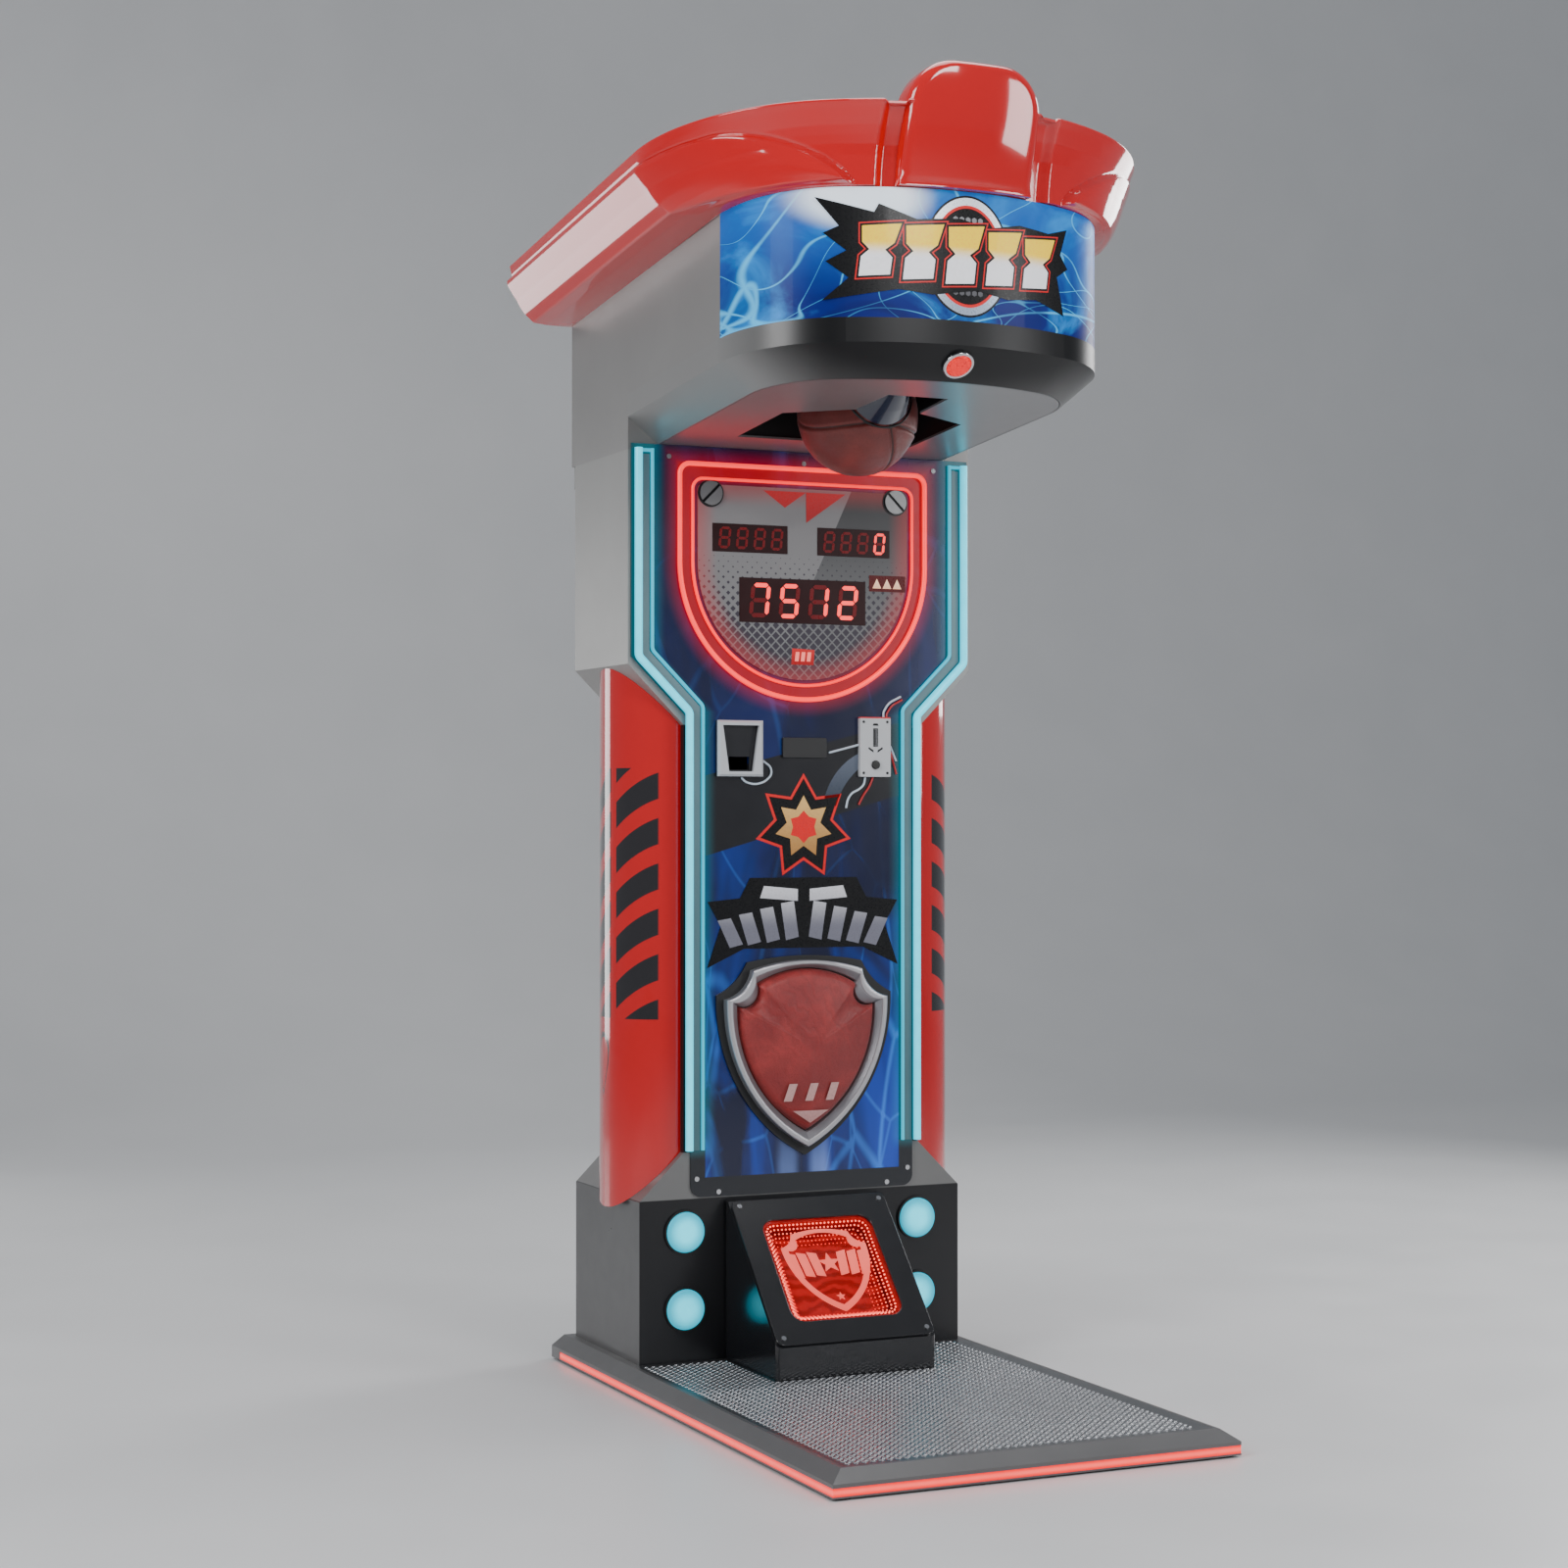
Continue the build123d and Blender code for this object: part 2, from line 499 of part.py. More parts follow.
with BuildPart() as side_panel_right:
    with BuildSketch(Plane((0, 0, panel_low))):
        make_face(panel_outline())
    extrude(amount=panel_length)
    with BuildSketch(Plane((0, 0, panel_low))):
        make_face(panel_outline())
        offset(amount=-PANEL_WALL, kind=Kind.INTERSECTION, mode=Mode.REPLACE)
    extrude(amount=panel_length, mode=Mode.SUBTRACT)
    split(bisect_by=Plane(origin=(COLUMN_HALF, 0, UPPER_FOOT - GAP), z_dir=(1, 0, -1)))
    split(bisect_by=Plane(origin=(COLUMN_HALF, 0, COLUMN_FOOT + GAP), z_dir=(1, 0, 1)))
side_panel_right.part.label = "side_panel_right"
export_step(side_panel_right.part, "parts/side_panel_right.step")

with BuildPart() as side_panel_left:
    mirror(side_panel_right.part, about=Plane.YZ)
side_panel_left.part.label = "side_panel_left"
export_step(side_panel_left.part, "parts/side_panel_left.step")

with BuildPart() as control_box:
    block((-120, 120), (FRONT + SHEET, FRONT + 80), (SEAM - 290, SEAM - 120))
    block((-90, 90), (FRONT + 40, FRONT + 81), (SEAM - 270, SEAM - 140), mode=Mode.SUBTRACT)
    block((-80, 80), (FRONT + 50, FRONT + 53), (SEAM - 271, SEAM - 139))
control_box.part.label = "control_box"
export_step(control_box.part, "parts/control_box.step")

with BuildPart() as coin_mechanism:
    block((COIN_X[0] + 6, COIN_X[1] - 6), (FRONT + SHEET, FRONT + 60), (COIN_Z[0], COIN_Z[1]))
    block(COIN_SLOT, (FRONT + SHEET - 1, FRONT + 50), COIN_SLOT_Z, mode=Mode.SUBTRACT)
    block(COIN_SLOT, (FRONT + 18, FRONT + 50), (COIN_Z[0] - 1, COIN_SLOT_Z[1]), mode=Mode.SUBTRACT)
coin_mechanism.part.label = "coin_mechanism"
export_step(coin_mechanism.part, "parts/coin_mechanism.step")

# ================================================================ front plate
plate_half = COLUMN_HALF - PLATE_SIDE_MARGIN
plate_wide = UPPER_HALF - 5
plate_knee = UPPER_FOOT + 5
plate_top = under_z(FRONT) - CLEAR
plate_outline = [(-plate_half, PLATE_BOTTOM), (plate_half, PLATE_BOTTOM), (plate_half, plate_knee),
                 (plate_wide, plate_knee + plate_wide - plate_half), (plate_wide, plate_top),
                 (-plate_wide, plate_top), (-plate_wide, plate_knee + plate_wide - plate_half),
                 (-plate_half, plate_knee)]

with BuildPart() as front_plate:
    with BuildSketch(front_plane(FRONT)) as plate_sketch:
        Polygon(*plate_outline, align=None)
        fillet(plate_sketch.vertices().sort_by(Axis.Y)[:2], radius=PLATE_CORNER)
        with Locations(lock_places):
            Circle(LOCK_STEM_RADIUS + RUNNING, mode=Mode.SUBTRACT)
    extrude(amount=PLATE_SHEET)
    block(COIN_SLOT, (FRONT - 2 * PLATE_SHEET, FRONT + 1), COIN_SLOT_Z, mode=Mode.SUBTRACT)
    block((NOTE_CENTRE - CUP_HALF, NOTE_CENTRE + CUP_HALF), (FRONT - 2 * PLATE_SHEET, FRONT + 1), CUP_Z,
          mode=Mode.SUBTRACT)
front_plate.part.label = "front_plate"
export_step(front_plate.part, "parts/front_plate.step")

SCREW_RADIUS = 4.5
SCREW_HEAD = 2.5
plate_screws = [(-268, TUBE_TOP - 12), (0, TUBE_TOP - 12), (268, TUBE_TOP - 12),
                (-213, PLATE_BOTTOM + 33), (213, PLATE_BOTTOM + 33),
                (-170, PLATE_BOTTOM + 8), (170, PLATE_BOTTOM + 8)]
kick_screw_x = KICK_HALF - KICK_SCREW_INSET
kick_screw_y = slope_length / 2 - KICK_SCREW_INSET

with BuildPart() as panel_screws:
    with BuildSketch(front_plane(PLATE_FRONT)):
        with Locations(plate_screws):
            Circle(SCREW_RADIUS)
    extrude(amount=SCREW_HEAD)
    with BuildSketch(kick_face.offset(KICK_FRAME_SHEET)):
        with GridLocations(2 * kick_screw_x, 2 * kick_screw_y, 2, 2):
            Circle(SCREW_RADIUS)
    extrude(amount=SCREW_HEAD)
panel_screws.part.label = "panel_screws"
export_step(panel_screws.part, "parts/panel_screws.step")

# ================================================================ cyan light tubes
tube_narrow = COLUMN_HALF - 7
tube_wide = UPPER_HALF - 16
tube_knee = UPPER_FOOT + 23
knee_step = TUBE_PITCH * tan(radians(22.5))
TUBE_BEND = 16


def jog_points(inward):
    """Centre line from top to bottom, moved inward from the outer tube's line."""
    low = tube_knee + inward / TUBE_PITCH * knee_step
    high = low + tube_wide - tube_narrow
    return [(tube_wide - inward, TUBE_TOP), (tube_wide - inward, high),
            (tube_narrow - inward, low), (tube_narrow - inward, TUBE_BOTTOM)]


with BuildPart() as outer_light_tubes:
    tube_y = PLATE_FRONT - CLEAR - OUTER_TUBE_RADIUS
    for side in (-1, 1):
        with BuildLine() as path:
            FilletPolyline(*[(side * x, tube_y, z) for x, z in jog_points(0)], radius=TUBE_BEND)
        with BuildSketch(Plane(origin=path.line @ 0, z_dir=path.line % 0)) as section:
            Circle(OUTER_TUBE_RADIUS)
        sweep(sections=section.sketch, path=path.line)
outer_light_tubes.part.label = "outer_light_tubes"
export_step(outer_light_tubes.part, "parts/outer_light_tubes.step")

with BuildPart() as inner_light_tubes:
    tube_y = PLATE_FRONT - CLEAR - INNER_TUBE_RADIUS
    for side in (-1, 1):
        with BuildLine() as path:
            FilletPolyline(*[(side * x, tube_y, z) for x, z in jog_points(TUBE_PITCH)], radius=TUBE_BEND)
        with BuildSketch(Plane(origin=path.line @ 0, z_dir=path.line % 0)) as section:
            Circle(INNER_TUBE_RADIUS)
        sweep(sections=section.sketch, path=path.line)
        with BuildSketch(Plane(origin=(side * (tube_wide - TUBE_PITCH), tube_y, TUBE_TOP - INNER_TUBE_RADIUS),
                               z_dir=(side, 0, 0))) as bridge:
            Circle(INNER_TUBE_RADIUS)
        extrude(bridge.sketch, amount=TUBE_PITCH - OUTER_TUBE_RADIUS - CLEAR)
inner_light_tubes.part.label = "inner_light_tubes"
export_step(inner_light_tubes.part, "parts/inner_light_tubes.step")

CHANNEL_SHEET = 2
channel_near = OUTER_TUBE_RADIUS + 1
channel_far = TUBE_PITCH - INNER_TUBE_RADIUS - 1
with BuildPart() as light_channels:
    for side in (-1, 1):
        near, far = jog_points(channel_near), jog_points(channel_far)
        with BuildSketch(front_plane(PLATE_FRONT)):
            Polygon(*[(side * x, z) for x, z in near + far[::-1]], align=None)
        extrude(amount=CHANNEL_SHEET)
    block((-tube_wide, tube_wide), (0, REAR), (TUBE_TOP - 3 * INNER_TUBE_RADIUS, TUBE_TOP + 5),
          mode=Mode.SUBTRACT)
light_channels.part.label = "light_channels"
export_step(light_channels.part, "parts/light_channels.step")

# ================================================================ red neon and display
outer_top = DISPLAY_CENTRE_Z + DISPLAY_FLAT
NEON_STEP = OUTER_NEON_HALF - INNER_NEON_HALF
NEON_CORNER = 20


def neon_line(half, top, y):
    """Right half of a tube's centre line, from the top's middle to the lowest point."""
    with BuildLine() as line:
        Line((0, y, top), (half - NEON_CORNER, y, top))
        ThreePointArc((half - NEON_CORNER, y, top),
                      (half - NEON_CORNER * (1 - sin(pi / 4)), y, top - NEON_CORNER * (1 - sin(pi / 4))),
                      (half, y, top - NEON_CORNER))
        Line((half, y, top - NEON_CORNER), (half, y, DISPLAY_CENTRE_Z))
        ThreePointArc((half, y, DISPLAY_CENTRE_Z),
                      (half * sin(pi / 4), y, DISPLAY_CENTRE_Z - half * sin(pi / 4)),
                      (0, y, DISPLAY_CENTRE_Z - half))
    return line.line


with BuildPart() as outer_neon:
    neon_path = neon_line(OUTER_NEON_HALF, outer_top, PLATE_FRONT - CLEAR - OUTER_NEON_RADIUS)
    with BuildSketch(Plane(origin=neon_path @ 0, z_dir=neon_path % 0)) as section:
        Circle(OUTER_NEON_RADIUS)
    sweep(sections=section.sketch, path=neon_path)
    mirror(about=Plane.YZ)
outer_neon.part.label = "outer_neon"
export_step(outer_neon.part, "parts/outer_neon.step")

with BuildPart() as inner_neon:
    neon_path = neon_line(INNER_NEON_HALF, outer_top - NEON_STEP, PLATE_FRONT - CLEAR - INNER_NEON_RADIUS)
    with BuildSketch(Plane(origin=neon_path @ 0, z_dir=neon_path % 0)) as section:
        Circle(INNER_NEON_RADIUS)
    sweep(sections=section.sketch, path=neon_path)
    mirror(about=Plane.YZ)
inner_neon.part.label = "inner_neon"
export_step(inner_neon.part, "parts/inner_neon.step")

display_top = outer_top - NEON_STEP - (INNER_NEON_HALF - DISPLAY_HALF)
small_z = (DISPLAY_CENTRE_Z + 19, DISPLAY_CENTRE_Z + 70)
main_z = (DISPLAY_CENTRE_Z - 108, DISPLAY_CENTRE_Z - 27)
windows = {"left": ((-183, -34), small_z), "right": ((27, 175), small_z), "main": ((-130, 125), main_z)}

with BuildPart() as display_plate:
    with BuildSketch(front_plane(PLATE_FRONT)):
        make_face(stadium_outline(DISPLAY_HALF, display_top, DISPLAY_CENTRE_Z, NEON_CORNER / 2))
        with Locations(lock_places):
            Circle(LOCK_STEM_RADIUS + RUNNING, mode=Mode.SUBTRACT)
    extrude(amount=DISPLAY_SHEET)
    for window_x, window_z in windows.values():
        block((window_x[0] - CLEAR, window_x[1] + CLEAR), (PLATE_FRONT - 2 * DISPLAY_SHEET, PLATE_FRONT + 1),
              (window_z[0] - CLEAR, window_z[1] + CLEAR), mode=Mode.SUBTRACT)
display_plate.part.label = "display_plate"
export_step(display_plate.part, "parts/display_plate.step")

DISPLAY_STEP = 1             # display windows stand this far out of the plate
display_y = (PLATE_FRONT - DISPLAY_SHEET - DISPLAY_STEP, PLATE_FRONT)

with BuildPart() as display_left:
    block(windows["left"][0], display_y, windows["left"][1])
display_left.part.label = "display_left"
export_step(display_left.part, "parts/display_left.step")

with BuildPart() as display_right:
    block(windows["right"][0], display_y, windows["right"][1])
display_right.part.label = "display_right"
export_step(display_right.part, "parts/display_right.step")

with BuildPart() as display_main:
    block(windows["main"][0], display_y, windows["main"][1])
display_main.part.label = "display_main"
export_step(display_main.part, "parts/display_main.step")

LOCK_HEAD = 4
LOCK_SLOT = 5
LOCK_CAM = 3
lock_back = FRONT + SHEET + GAP


def lock_solid(x, slot_turn):
    """Quarter-turn fastener: slotted head, stem through the plates and cam behind the wall."""
    with BuildPart() as lock:
        with BuildSketch(front_plane(PLATE_FRONT - DISPLAY_SHEET - CLEAR)):
            with Locations((x, LOCK_Z)):
                Circle(LOCK_RADIUS)
        extrude(amount=LOCK_HEAD)
        with BuildSketch(front_plane(PLATE_FRONT - DISPLAY_SHEET - CLEAR - LOCK_HEAD / 2)):
            with Locations(Location((x, LOCK_Z), slot_turn)):
                Rectangle(2 * LOCK_RADIUS + 2, LOCK_SLOT)
        extrude(amount=LOCK_HEAD, mode=Mode.SUBTRACT)
        with BuildSketch(front_plane(PLATE_FRONT - DISPLAY_SHEET - CLEAR)):
            with Locations((x, LOCK_Z)):
                Circle(LOCK_STEM_RADIUS)
        extrude(amount=-(lock_back + LOCK_CAM - (PLATE_FRONT - DISPLAY_SHEET - CLEAR)))
        with BuildSketch(front_plane(lock_back)):
            with Locations(Location((x, LOCK_Z), slot_turn)):
                SlotOverall(36, 2 * LOCK_STEM_RADIUS)
        extrude(amount=-LOCK_CAM)
    return lock.part


with BuildPart() as turn_lock_left:
    add(lock_solid(-LOCK_X, 45))
turn_lock_left.part.label = "turn_lock_left"
export_step(turn_lock_left.part, "parts/turn_lock_left.step")

with BuildPart() as turn_lock_right:
    add(lock_solid(LOCK_X, -45))
turn_lock_right.part.label = "turn_lock_right"
export_step(turn_lock_right.part, "parts/turn_lock_right.step")

# ================================================================ coin and note panel
COIN_BOX = 9
BUTTON_RADIUS = 8
BUTTON_TRAVEL = 4
button_place = ((COIN_X[0] + COIN_X[1]) / 2, COIN_Z[0] + 22)

with BuildPart() as coin_plate:
    block(COIN_X, (PLATE_FRONT - COIN_BOX, PLATE_FRONT), COIN_Z)
    fillet(coin_plate.edges().filter_by(Axis.Y), radius=2)
    block(COIN_SLOT, (PLATE_FRONT - COIN_BOX - 1, PLATE_FRONT + 1), COIN_SLOT_Z, mode=Mode.SUBTRACT)
    with BuildSketch(front_plane(PLATE_FRONT)):
        with Locations(button_place):
            Circle(BUTTON_RADIUS + CLEAR)
    extrude(amount=COIN_BOX, mode=Mode.SUBTRACT)
coin_plate.part.label = "coin_plate"
export_step(coin_plate.part, "parts/coin_plate.step")

with BuildPart() as coin_button:
    with BuildSketch(front_plane(PLATE_FRONT - BUTTON_TRAVEL - CLEAR)):
        with Locations(button_place):
            Circle(BUTTON_RADIUS)
    extrude(amount=COIN_BOX)
    fillet(coin_button.faces().sort_by(Axis.Y)[0].edges(), radius=1.5)
coin_button.part.label = "coin_button"
export_step(coin_button.part, "parts/coin_button.step")

NOTE_BOX = 15
NOTE_RIM = 9
with BuildPart() as note_bezel:
    block(NOTE_X, (PLATE_FRONT - NOTE_BOX, PLATE_FRONT), NOTE_Z)
    chamfer(note_bezel.faces().sort_by(Axis.Y)[0].edges(), length=4)
    with BuildSketch(front_plane(PLATE_FRONT - NOTE_BOX)):
        Polygon((NOTE_X[0] + NOTE_RIM, NOTE_Z[1] - NOTE_RIM), (NOTE_X[1] - NOTE_RIM, NOTE_Z[1] - NOTE_RIM),
                (NOTE_CENTRE + CUP_HALF + 4, NOTE_Z[0] + NOTE_RIM),
                (NOTE_CENTRE - CUP_HALF - 4, NOTE_Z[0] + NOTE_RIM), align=None)
    extrude(amount=-(NOTE_BOX - 4), mode=Mode.SUBTRACT)
    block((NOTE_CENTRE - CUP_HALF, NOTE_CENTRE + CUP_HALF), (PLATE_FRONT - NOTE_BOX, PLATE_FRONT + 1), CUP_Z,
          mode=Mode.SUBTRACT)
note_bezel.part.label = "note_bezel"
export_step(note_bezel.part, "parts/note_bezel.step")

with BuildPart() as reader_cover:
    block((-44, 45), (PLATE_FRONT - 6, PLATE_FRONT), (MIDDLE_Z - 18, MIDDLE_Z + 19))
    fillet(reader_cover.edges().filter_by(Axis.Y), radius=3)
    fillet(reader_cover.faces().sort_by(Axis.Y)[0].edges(), radius=1)
reader_cover.part.label = "reader_cover"
export_step(reader_cover.part, "parts/reader_cover.step")

LEAD_RADIUS = 2
lead_y = PLATE_FRONT - CLEAR - LEAD_RADIUS
# Points of each lead, measured from the middle of the coin and note panel.
white_routes = [
    [(-126, -54.6), (-118, -63), (-98, -68), (-78, -62), (-65, -49), (-67, -35), (-83, -24)],
    [(51, -8), (COIN_X[0] - 0.8, 7)],
    [(199, 98), (174, 86), (163, 69), (163, 59 + CLEAR)],
    [(COIN_X[1] + 2.2, 5), (189, -22)],
    [(125, -53.2), (123, -67), (112, -76), (98, -82), (89, -94), (86, -110)],
]
red_routes = [
    [(202, 92), (180, 81), (170, 66), (169, 59 + CLEAR)],
    [(COIN_X[1] + 2.2, -5), (190, -47)],
    [(141, -53.4), (135, -69), (121, -87), (112, -104)],
]


def bend_radii(points):
    """Bend radii as large as the two runs beside each corner allow."""
    radii = []
    for before, here, after in zip(points, points[1:], points[2:]):
        arrive = Vector(here[0] - before[0], here[1] - before[1])
        leave = Vector(after[0] - here[0], after[1] - here[1])
        turn = radians(arrive.get_angle(leave))
        radii.append(0.45 * min(arrive.length, leave.length) / tan(turn / 2))
    print("lead bend radii", [round(radius, 1) for radius in radii])
    return radii


def lead_line(points):
    """Centre line of a lead that lies on the front plate."""
    with BuildLine() as line:
        if len(points) == 2:
            Line(*[(x, lead_y, MIDDLE_Z + z) for x, z in points])
        else:
            FilletPolyline(*[(x, lead_y, MIDDLE_Z + z) for x, z in points], radius=bend_radii(points))
    return line.line


with BuildPart() as white_leads:
    for route in white_routes:
        lead_path = lead_line(route)
        with BuildSketch(Plane(origin=lead_path @ 0, z_dir=lead_path % 0)) as section:
            Circle(LEAD_RADIUS)
        sweep(sections=section.sketch, path=lead_path)
white_leads.part.label = "white_leads"
export_step(white_leads.part, "parts/white_leads.step")

with BuildPart() as red_leads:
    for route in red_routes:
        lead_path = lead_line(route)
        with BuildSketch(Plane(origin=lead_path @ 0, z_dir=lead_path % 0)) as section:
            Circle(LEAD_RADIUS)
        sweep(sections=section.sketch, path=lead_path)
red_leads.part.label = "red_leads"
export_step(red_leads.part, "parts/red_leads.step")

# ================================================================ shield
BORDER_GROW = 14
BORDER_DEPTH = 6
FRAME_DEPTH = 24
FRAME_WIDTH = 24
PAD_DEPTH = 44

with BuildPart() as shield_border:
    with BuildSketch(front_plane(PLATE_FRONT)):
        make_face(shield_outline(BORDER_GROW))
    extrude(amount=BORDER_DEPTH)
shield_border.part.label = "shield_border"
export_step(shield_border.part, "parts/shield_border.step")

with BuildPart() as shield_frame:
    with BuildSketch(front_plane(PLATE_FRONT - BORDER_DEPTH)):
        make_face(shield_outline(0))
        make_face(shield_outline(-FRAME_WIDTH), mode=Mode.SUBTRACT)
    extrude(amount=FRAME_DEPTH - BORDER_DEPTH)
shield_frame.part.label = "shield_frame"
export_step(shield_frame.part, "parts/shield_frame.step")

with BuildPart() as shield_pad:
    with BuildSketch(front_plane(PLATE_FRONT - BORDER_DEPTH)):
        make_face(shield_outline(-FRAME_WIDTH))
        offset(amount=-GAP, kind=Kind.INTERSECTION, mode=Mode.REPLACE)
    extrude(amount=PAD_DEPTH - BORDER_DEPTH)
shield_pad.part.label = "shield_pad"
export_step(shield_pad.part, "parts/shield_pad.step")

# ================================================================ head casing
sign_start = FRONT - HEAD_SIDE_REACH
flange_z = (SEAM - 42, SEAM)

with BuildPart() as head_shell:
    block((-UPPER_HALF, UPPER_HALF), (sign_start, HEAD_REAR), (SEAM, SEAM + 2 * HEAD_HEIGHT))
    block((-UPPER_HALF + SHEET, UPPER_HALF - SHEET), (sign_start - 1, HEAD_REAR - SHEET),
          (SEAM - 1, SEAM + 2 * HEAD_HEIGHT), mode=Mode.SUBTRACT)
    split(bisect_by=head_plane(ROOF_Z, ROOF_SLOPE), keep=Keep.BOTTOM)
    with BuildSketch(Plane.YZ):
        Polygon((sign_start - 1, SEAM - 1), (FRONT, SEAM - 1), (FRONT, UNDER_Z + TRIM_TOP),
                (sign_start - 1, under_z(sign_start - 1) + TRIM_TOP), align=None)
    extrude(amount=UPPER_HALF + 1, both=True, mode=Mode.SUBTRACT)
    block((-UPPER_HALF, UPPER_HALF), (FRONT, FRONT + SHEET), (SEAM, UNDER_Z + TRIM_TOP + 15))
    block((-UPPER_HALF + 5, UPPER_HALF - 5), (REAR, HEAD_REAR - 1), flange_z)
    block((-UPPER_HALF + 5, UPPER_HALF - 5), (REAR - 1, HEAD_REAR - 1), (SEAM, SEAM + SHEET))
head_shell.part.label = "head_shell"
export_step(head_shell.part, "parts/head_shell.step")

with BuildPart() as head_roof:
    with BuildSketch(Plane((0, FRONT, SEAM))):
        make_face(head_outline(SHEET, HEAD_BACK - SHEET))
    extrude(amount=2 * HEAD_HEIGHT)
    split(bisect_by=head_plane(ROOF_Z, ROOF_SLOPE), keep=Keep.BOTTOM)
    split(bisect_by=head_plane(ROOF_Z, ROOF_SLOPE, -SHEET), keep=Keep.TOP)
head_roof.part.label = "head_roof"
export_step(head_roof.part, "parts/head_roof.step")

with BuildPart() as head_sign:
    with BuildSketch(Plane((0, FRONT, SEAM))):
        make_face(head_outline(0, HEAD_BACK))
        make_face(head_outline(SIGN_WALL, HEAD_BACK + 1), mode=Mode.SUBTRACT)
    extrude(amount=2 * HEAD_HEIGHT)
    split(bisect_by=Plane(origin=(0, sign_start, 0), z_dir=(0, -1, 0)))
    split(bisect_by=head_plane(ROOF_Z, ROOF_SLOPE), keep=Keep.BOTTOM)
    split(bisect_by=head_plane(UNDER_Z, UNDER_SLOPE, TRIM_TOP), keep=Keep.TOP)
head_sign.part.label = "head_sign"
export_step(head_sign.part, "parts/head_sign.step")

with BuildPart() as head_trim:
    for wall, mode in ((0, Mode.ADD), (SHEET, Mode.SUBTRACT)):
        for rise, inset in ((0, BEVEL_INSET), (BEVEL_RISE, 0), (TRIM_TOP, 0)):
            with BuildSketch(head_plane(UNDER_Z, UNDER_SLOPE, rise)):
                make_face(head_outline(inset + wall, wall * 2, UNDER_SLOPE))
        loft(ruled=True, mode=mode)
    split(bisect_by=Plane(origin=(0, FRONT, 0), z_dir=(0, -1, 0)))
head_trim.part.label = "head_trim"
export_step(head_trim.part, "parts/head_trim.step")

with BuildPart() as head_underside:
    with BuildSketch(Plane((0, FRONT, SEAM))):
        make_face(head_outline(BEVEL_INSET + SHEET + 2 * GAP, 0))
    extrude(amount=HEAD_HEIGHT)
    split(bisect_by=head_plane(UNDER_Z, UNDER_SLOPE, UNDER_SHEET), keep=Keep.BOTTOM)
    split(bisect_by=head_plane(UNDER_Z, UNDER_SLOPE), keep=Keep.TOP)
    slot_half = [(SLOT_HALF_NARROW - 3, SLOT_FRONT), (SLOT_HALF_NARROW + 2, SLOT_NOTCH),
                 (SLOT_HALF_WIDE, SLOT_SHOULDER), (SLOT_HALF_WIDE, SLOT_REAR)]
    with BuildSketch(Plane((0, 0, SEAM))):
        Polygon(*slot_half, *[(-x, y) for x, y in slot_half[::-1]], align=None)
    extrude(amount=HEAD_HEIGHT, mode=Mode.SUBTRACT)
head_underside.part.label = "head_underside"
export_step(head_underside.part, "parts/head_underside.step")

SHROUD_MARGIN = 3
SHROUD_WALL = 2
with BuildPart() as ball_bay_shroud:
    shroud_x = SLOT_HALF_WIDE + SHROUD_MARGIN
    shroud_y = (SLOT_FRONT - SHROUD_MARGIN, SLOT_REAR + SHROUD_MARGIN)
    block((-shroud_x - SHROUD_WALL, shroud_x + SHROUD_WALL),
          (shroud_y[0] - SHROUD_WALL, shroud_y[1] + SHROUD_WALL), (SEAM, RAIL_Z - 10))
    block((-shroud_x, shroud_x), shroud_y, (SEAM - 1, RAIL_Z), mode=Mode.SUBTRACT)
    split(bisect_by=head_plane(UNDER_Z, UNDER_SLOPE, UNDER_SHEET), keep=Keep.TOP)
ball_bay_shroud.part.label = "ball_bay_shroud"
export_step(ball_bay_shroud.part, "parts/ball_bay_shroud.step")

# ================================================================ crown
# Side outline of the crown's front lobe, measured from the cabinets' front and the roof there.
lobe_profile = [(-650, 75), (-700, 167), (-702, 217), (-682, LOBE_HEIGHT), (-668, LOBE_HEIGHT),
                (-664, 207), (-624, 79)]

with BuildPart() as crown_lobe:
    with BuildSketch(Plane.YZ):
        Polygon(*[(FRONT + y, ROOF_Z + z) for y, z in lobe_profile], align=None)
    extrude(amount=LOBE_HALF, both=True)
    with BuildSketch(front_plane(FRONT)) as lobe_front:
        with Locations((0, ROOF_Z + LOBE_HEIGHT / 2)):
            Rectangle(2 * LOBE_HALF, LOBE_HEIGHT)
        fillet(lobe_front.vertices().sort_by(Axis.Y)[-2:], radius=LOBE_CORNER)
    extrude(amount=HEAD_REACH + 200, mode=Mode.INTERSECT)

with BuildPart() as crown:
    for wall, mode in ((0, Mode.ADD), (CROWN_WALL, Mode.SUBTRACT)):
        with BuildSketch(head_plane(ROOF_Z, ROOF_SLOPE, wall)):
            make_face(hood_outline(UPPER_HALF + CROWN_LIP, along_slope(HEAD_REACH + 6, ROOF_SLOPE),
                                   HEAD_FRONT_RADIUS, HEAD_CORNER_RADIUS + CROWN_LIP,
                                   HEAD_BACK + 4 - wall, wall))
        with BuildSketch(head_plane(ROOF_Z, CROWN_SLOPE, CROWN_HEIGHT)):
            make_face(hood_outline(CROWN_HALF, along_slope(CROWN_REACH, CROWN_SLOPE), CROWN_RADIUS,
                                   CROWN_CORNER, CROWN_REAR - wall, wall))
        loft(ruled=True, mode=mode)
    add(crown_lobe.part)
crown.part.label = "crown"
export_step(crown.part, "parts/crown.step")

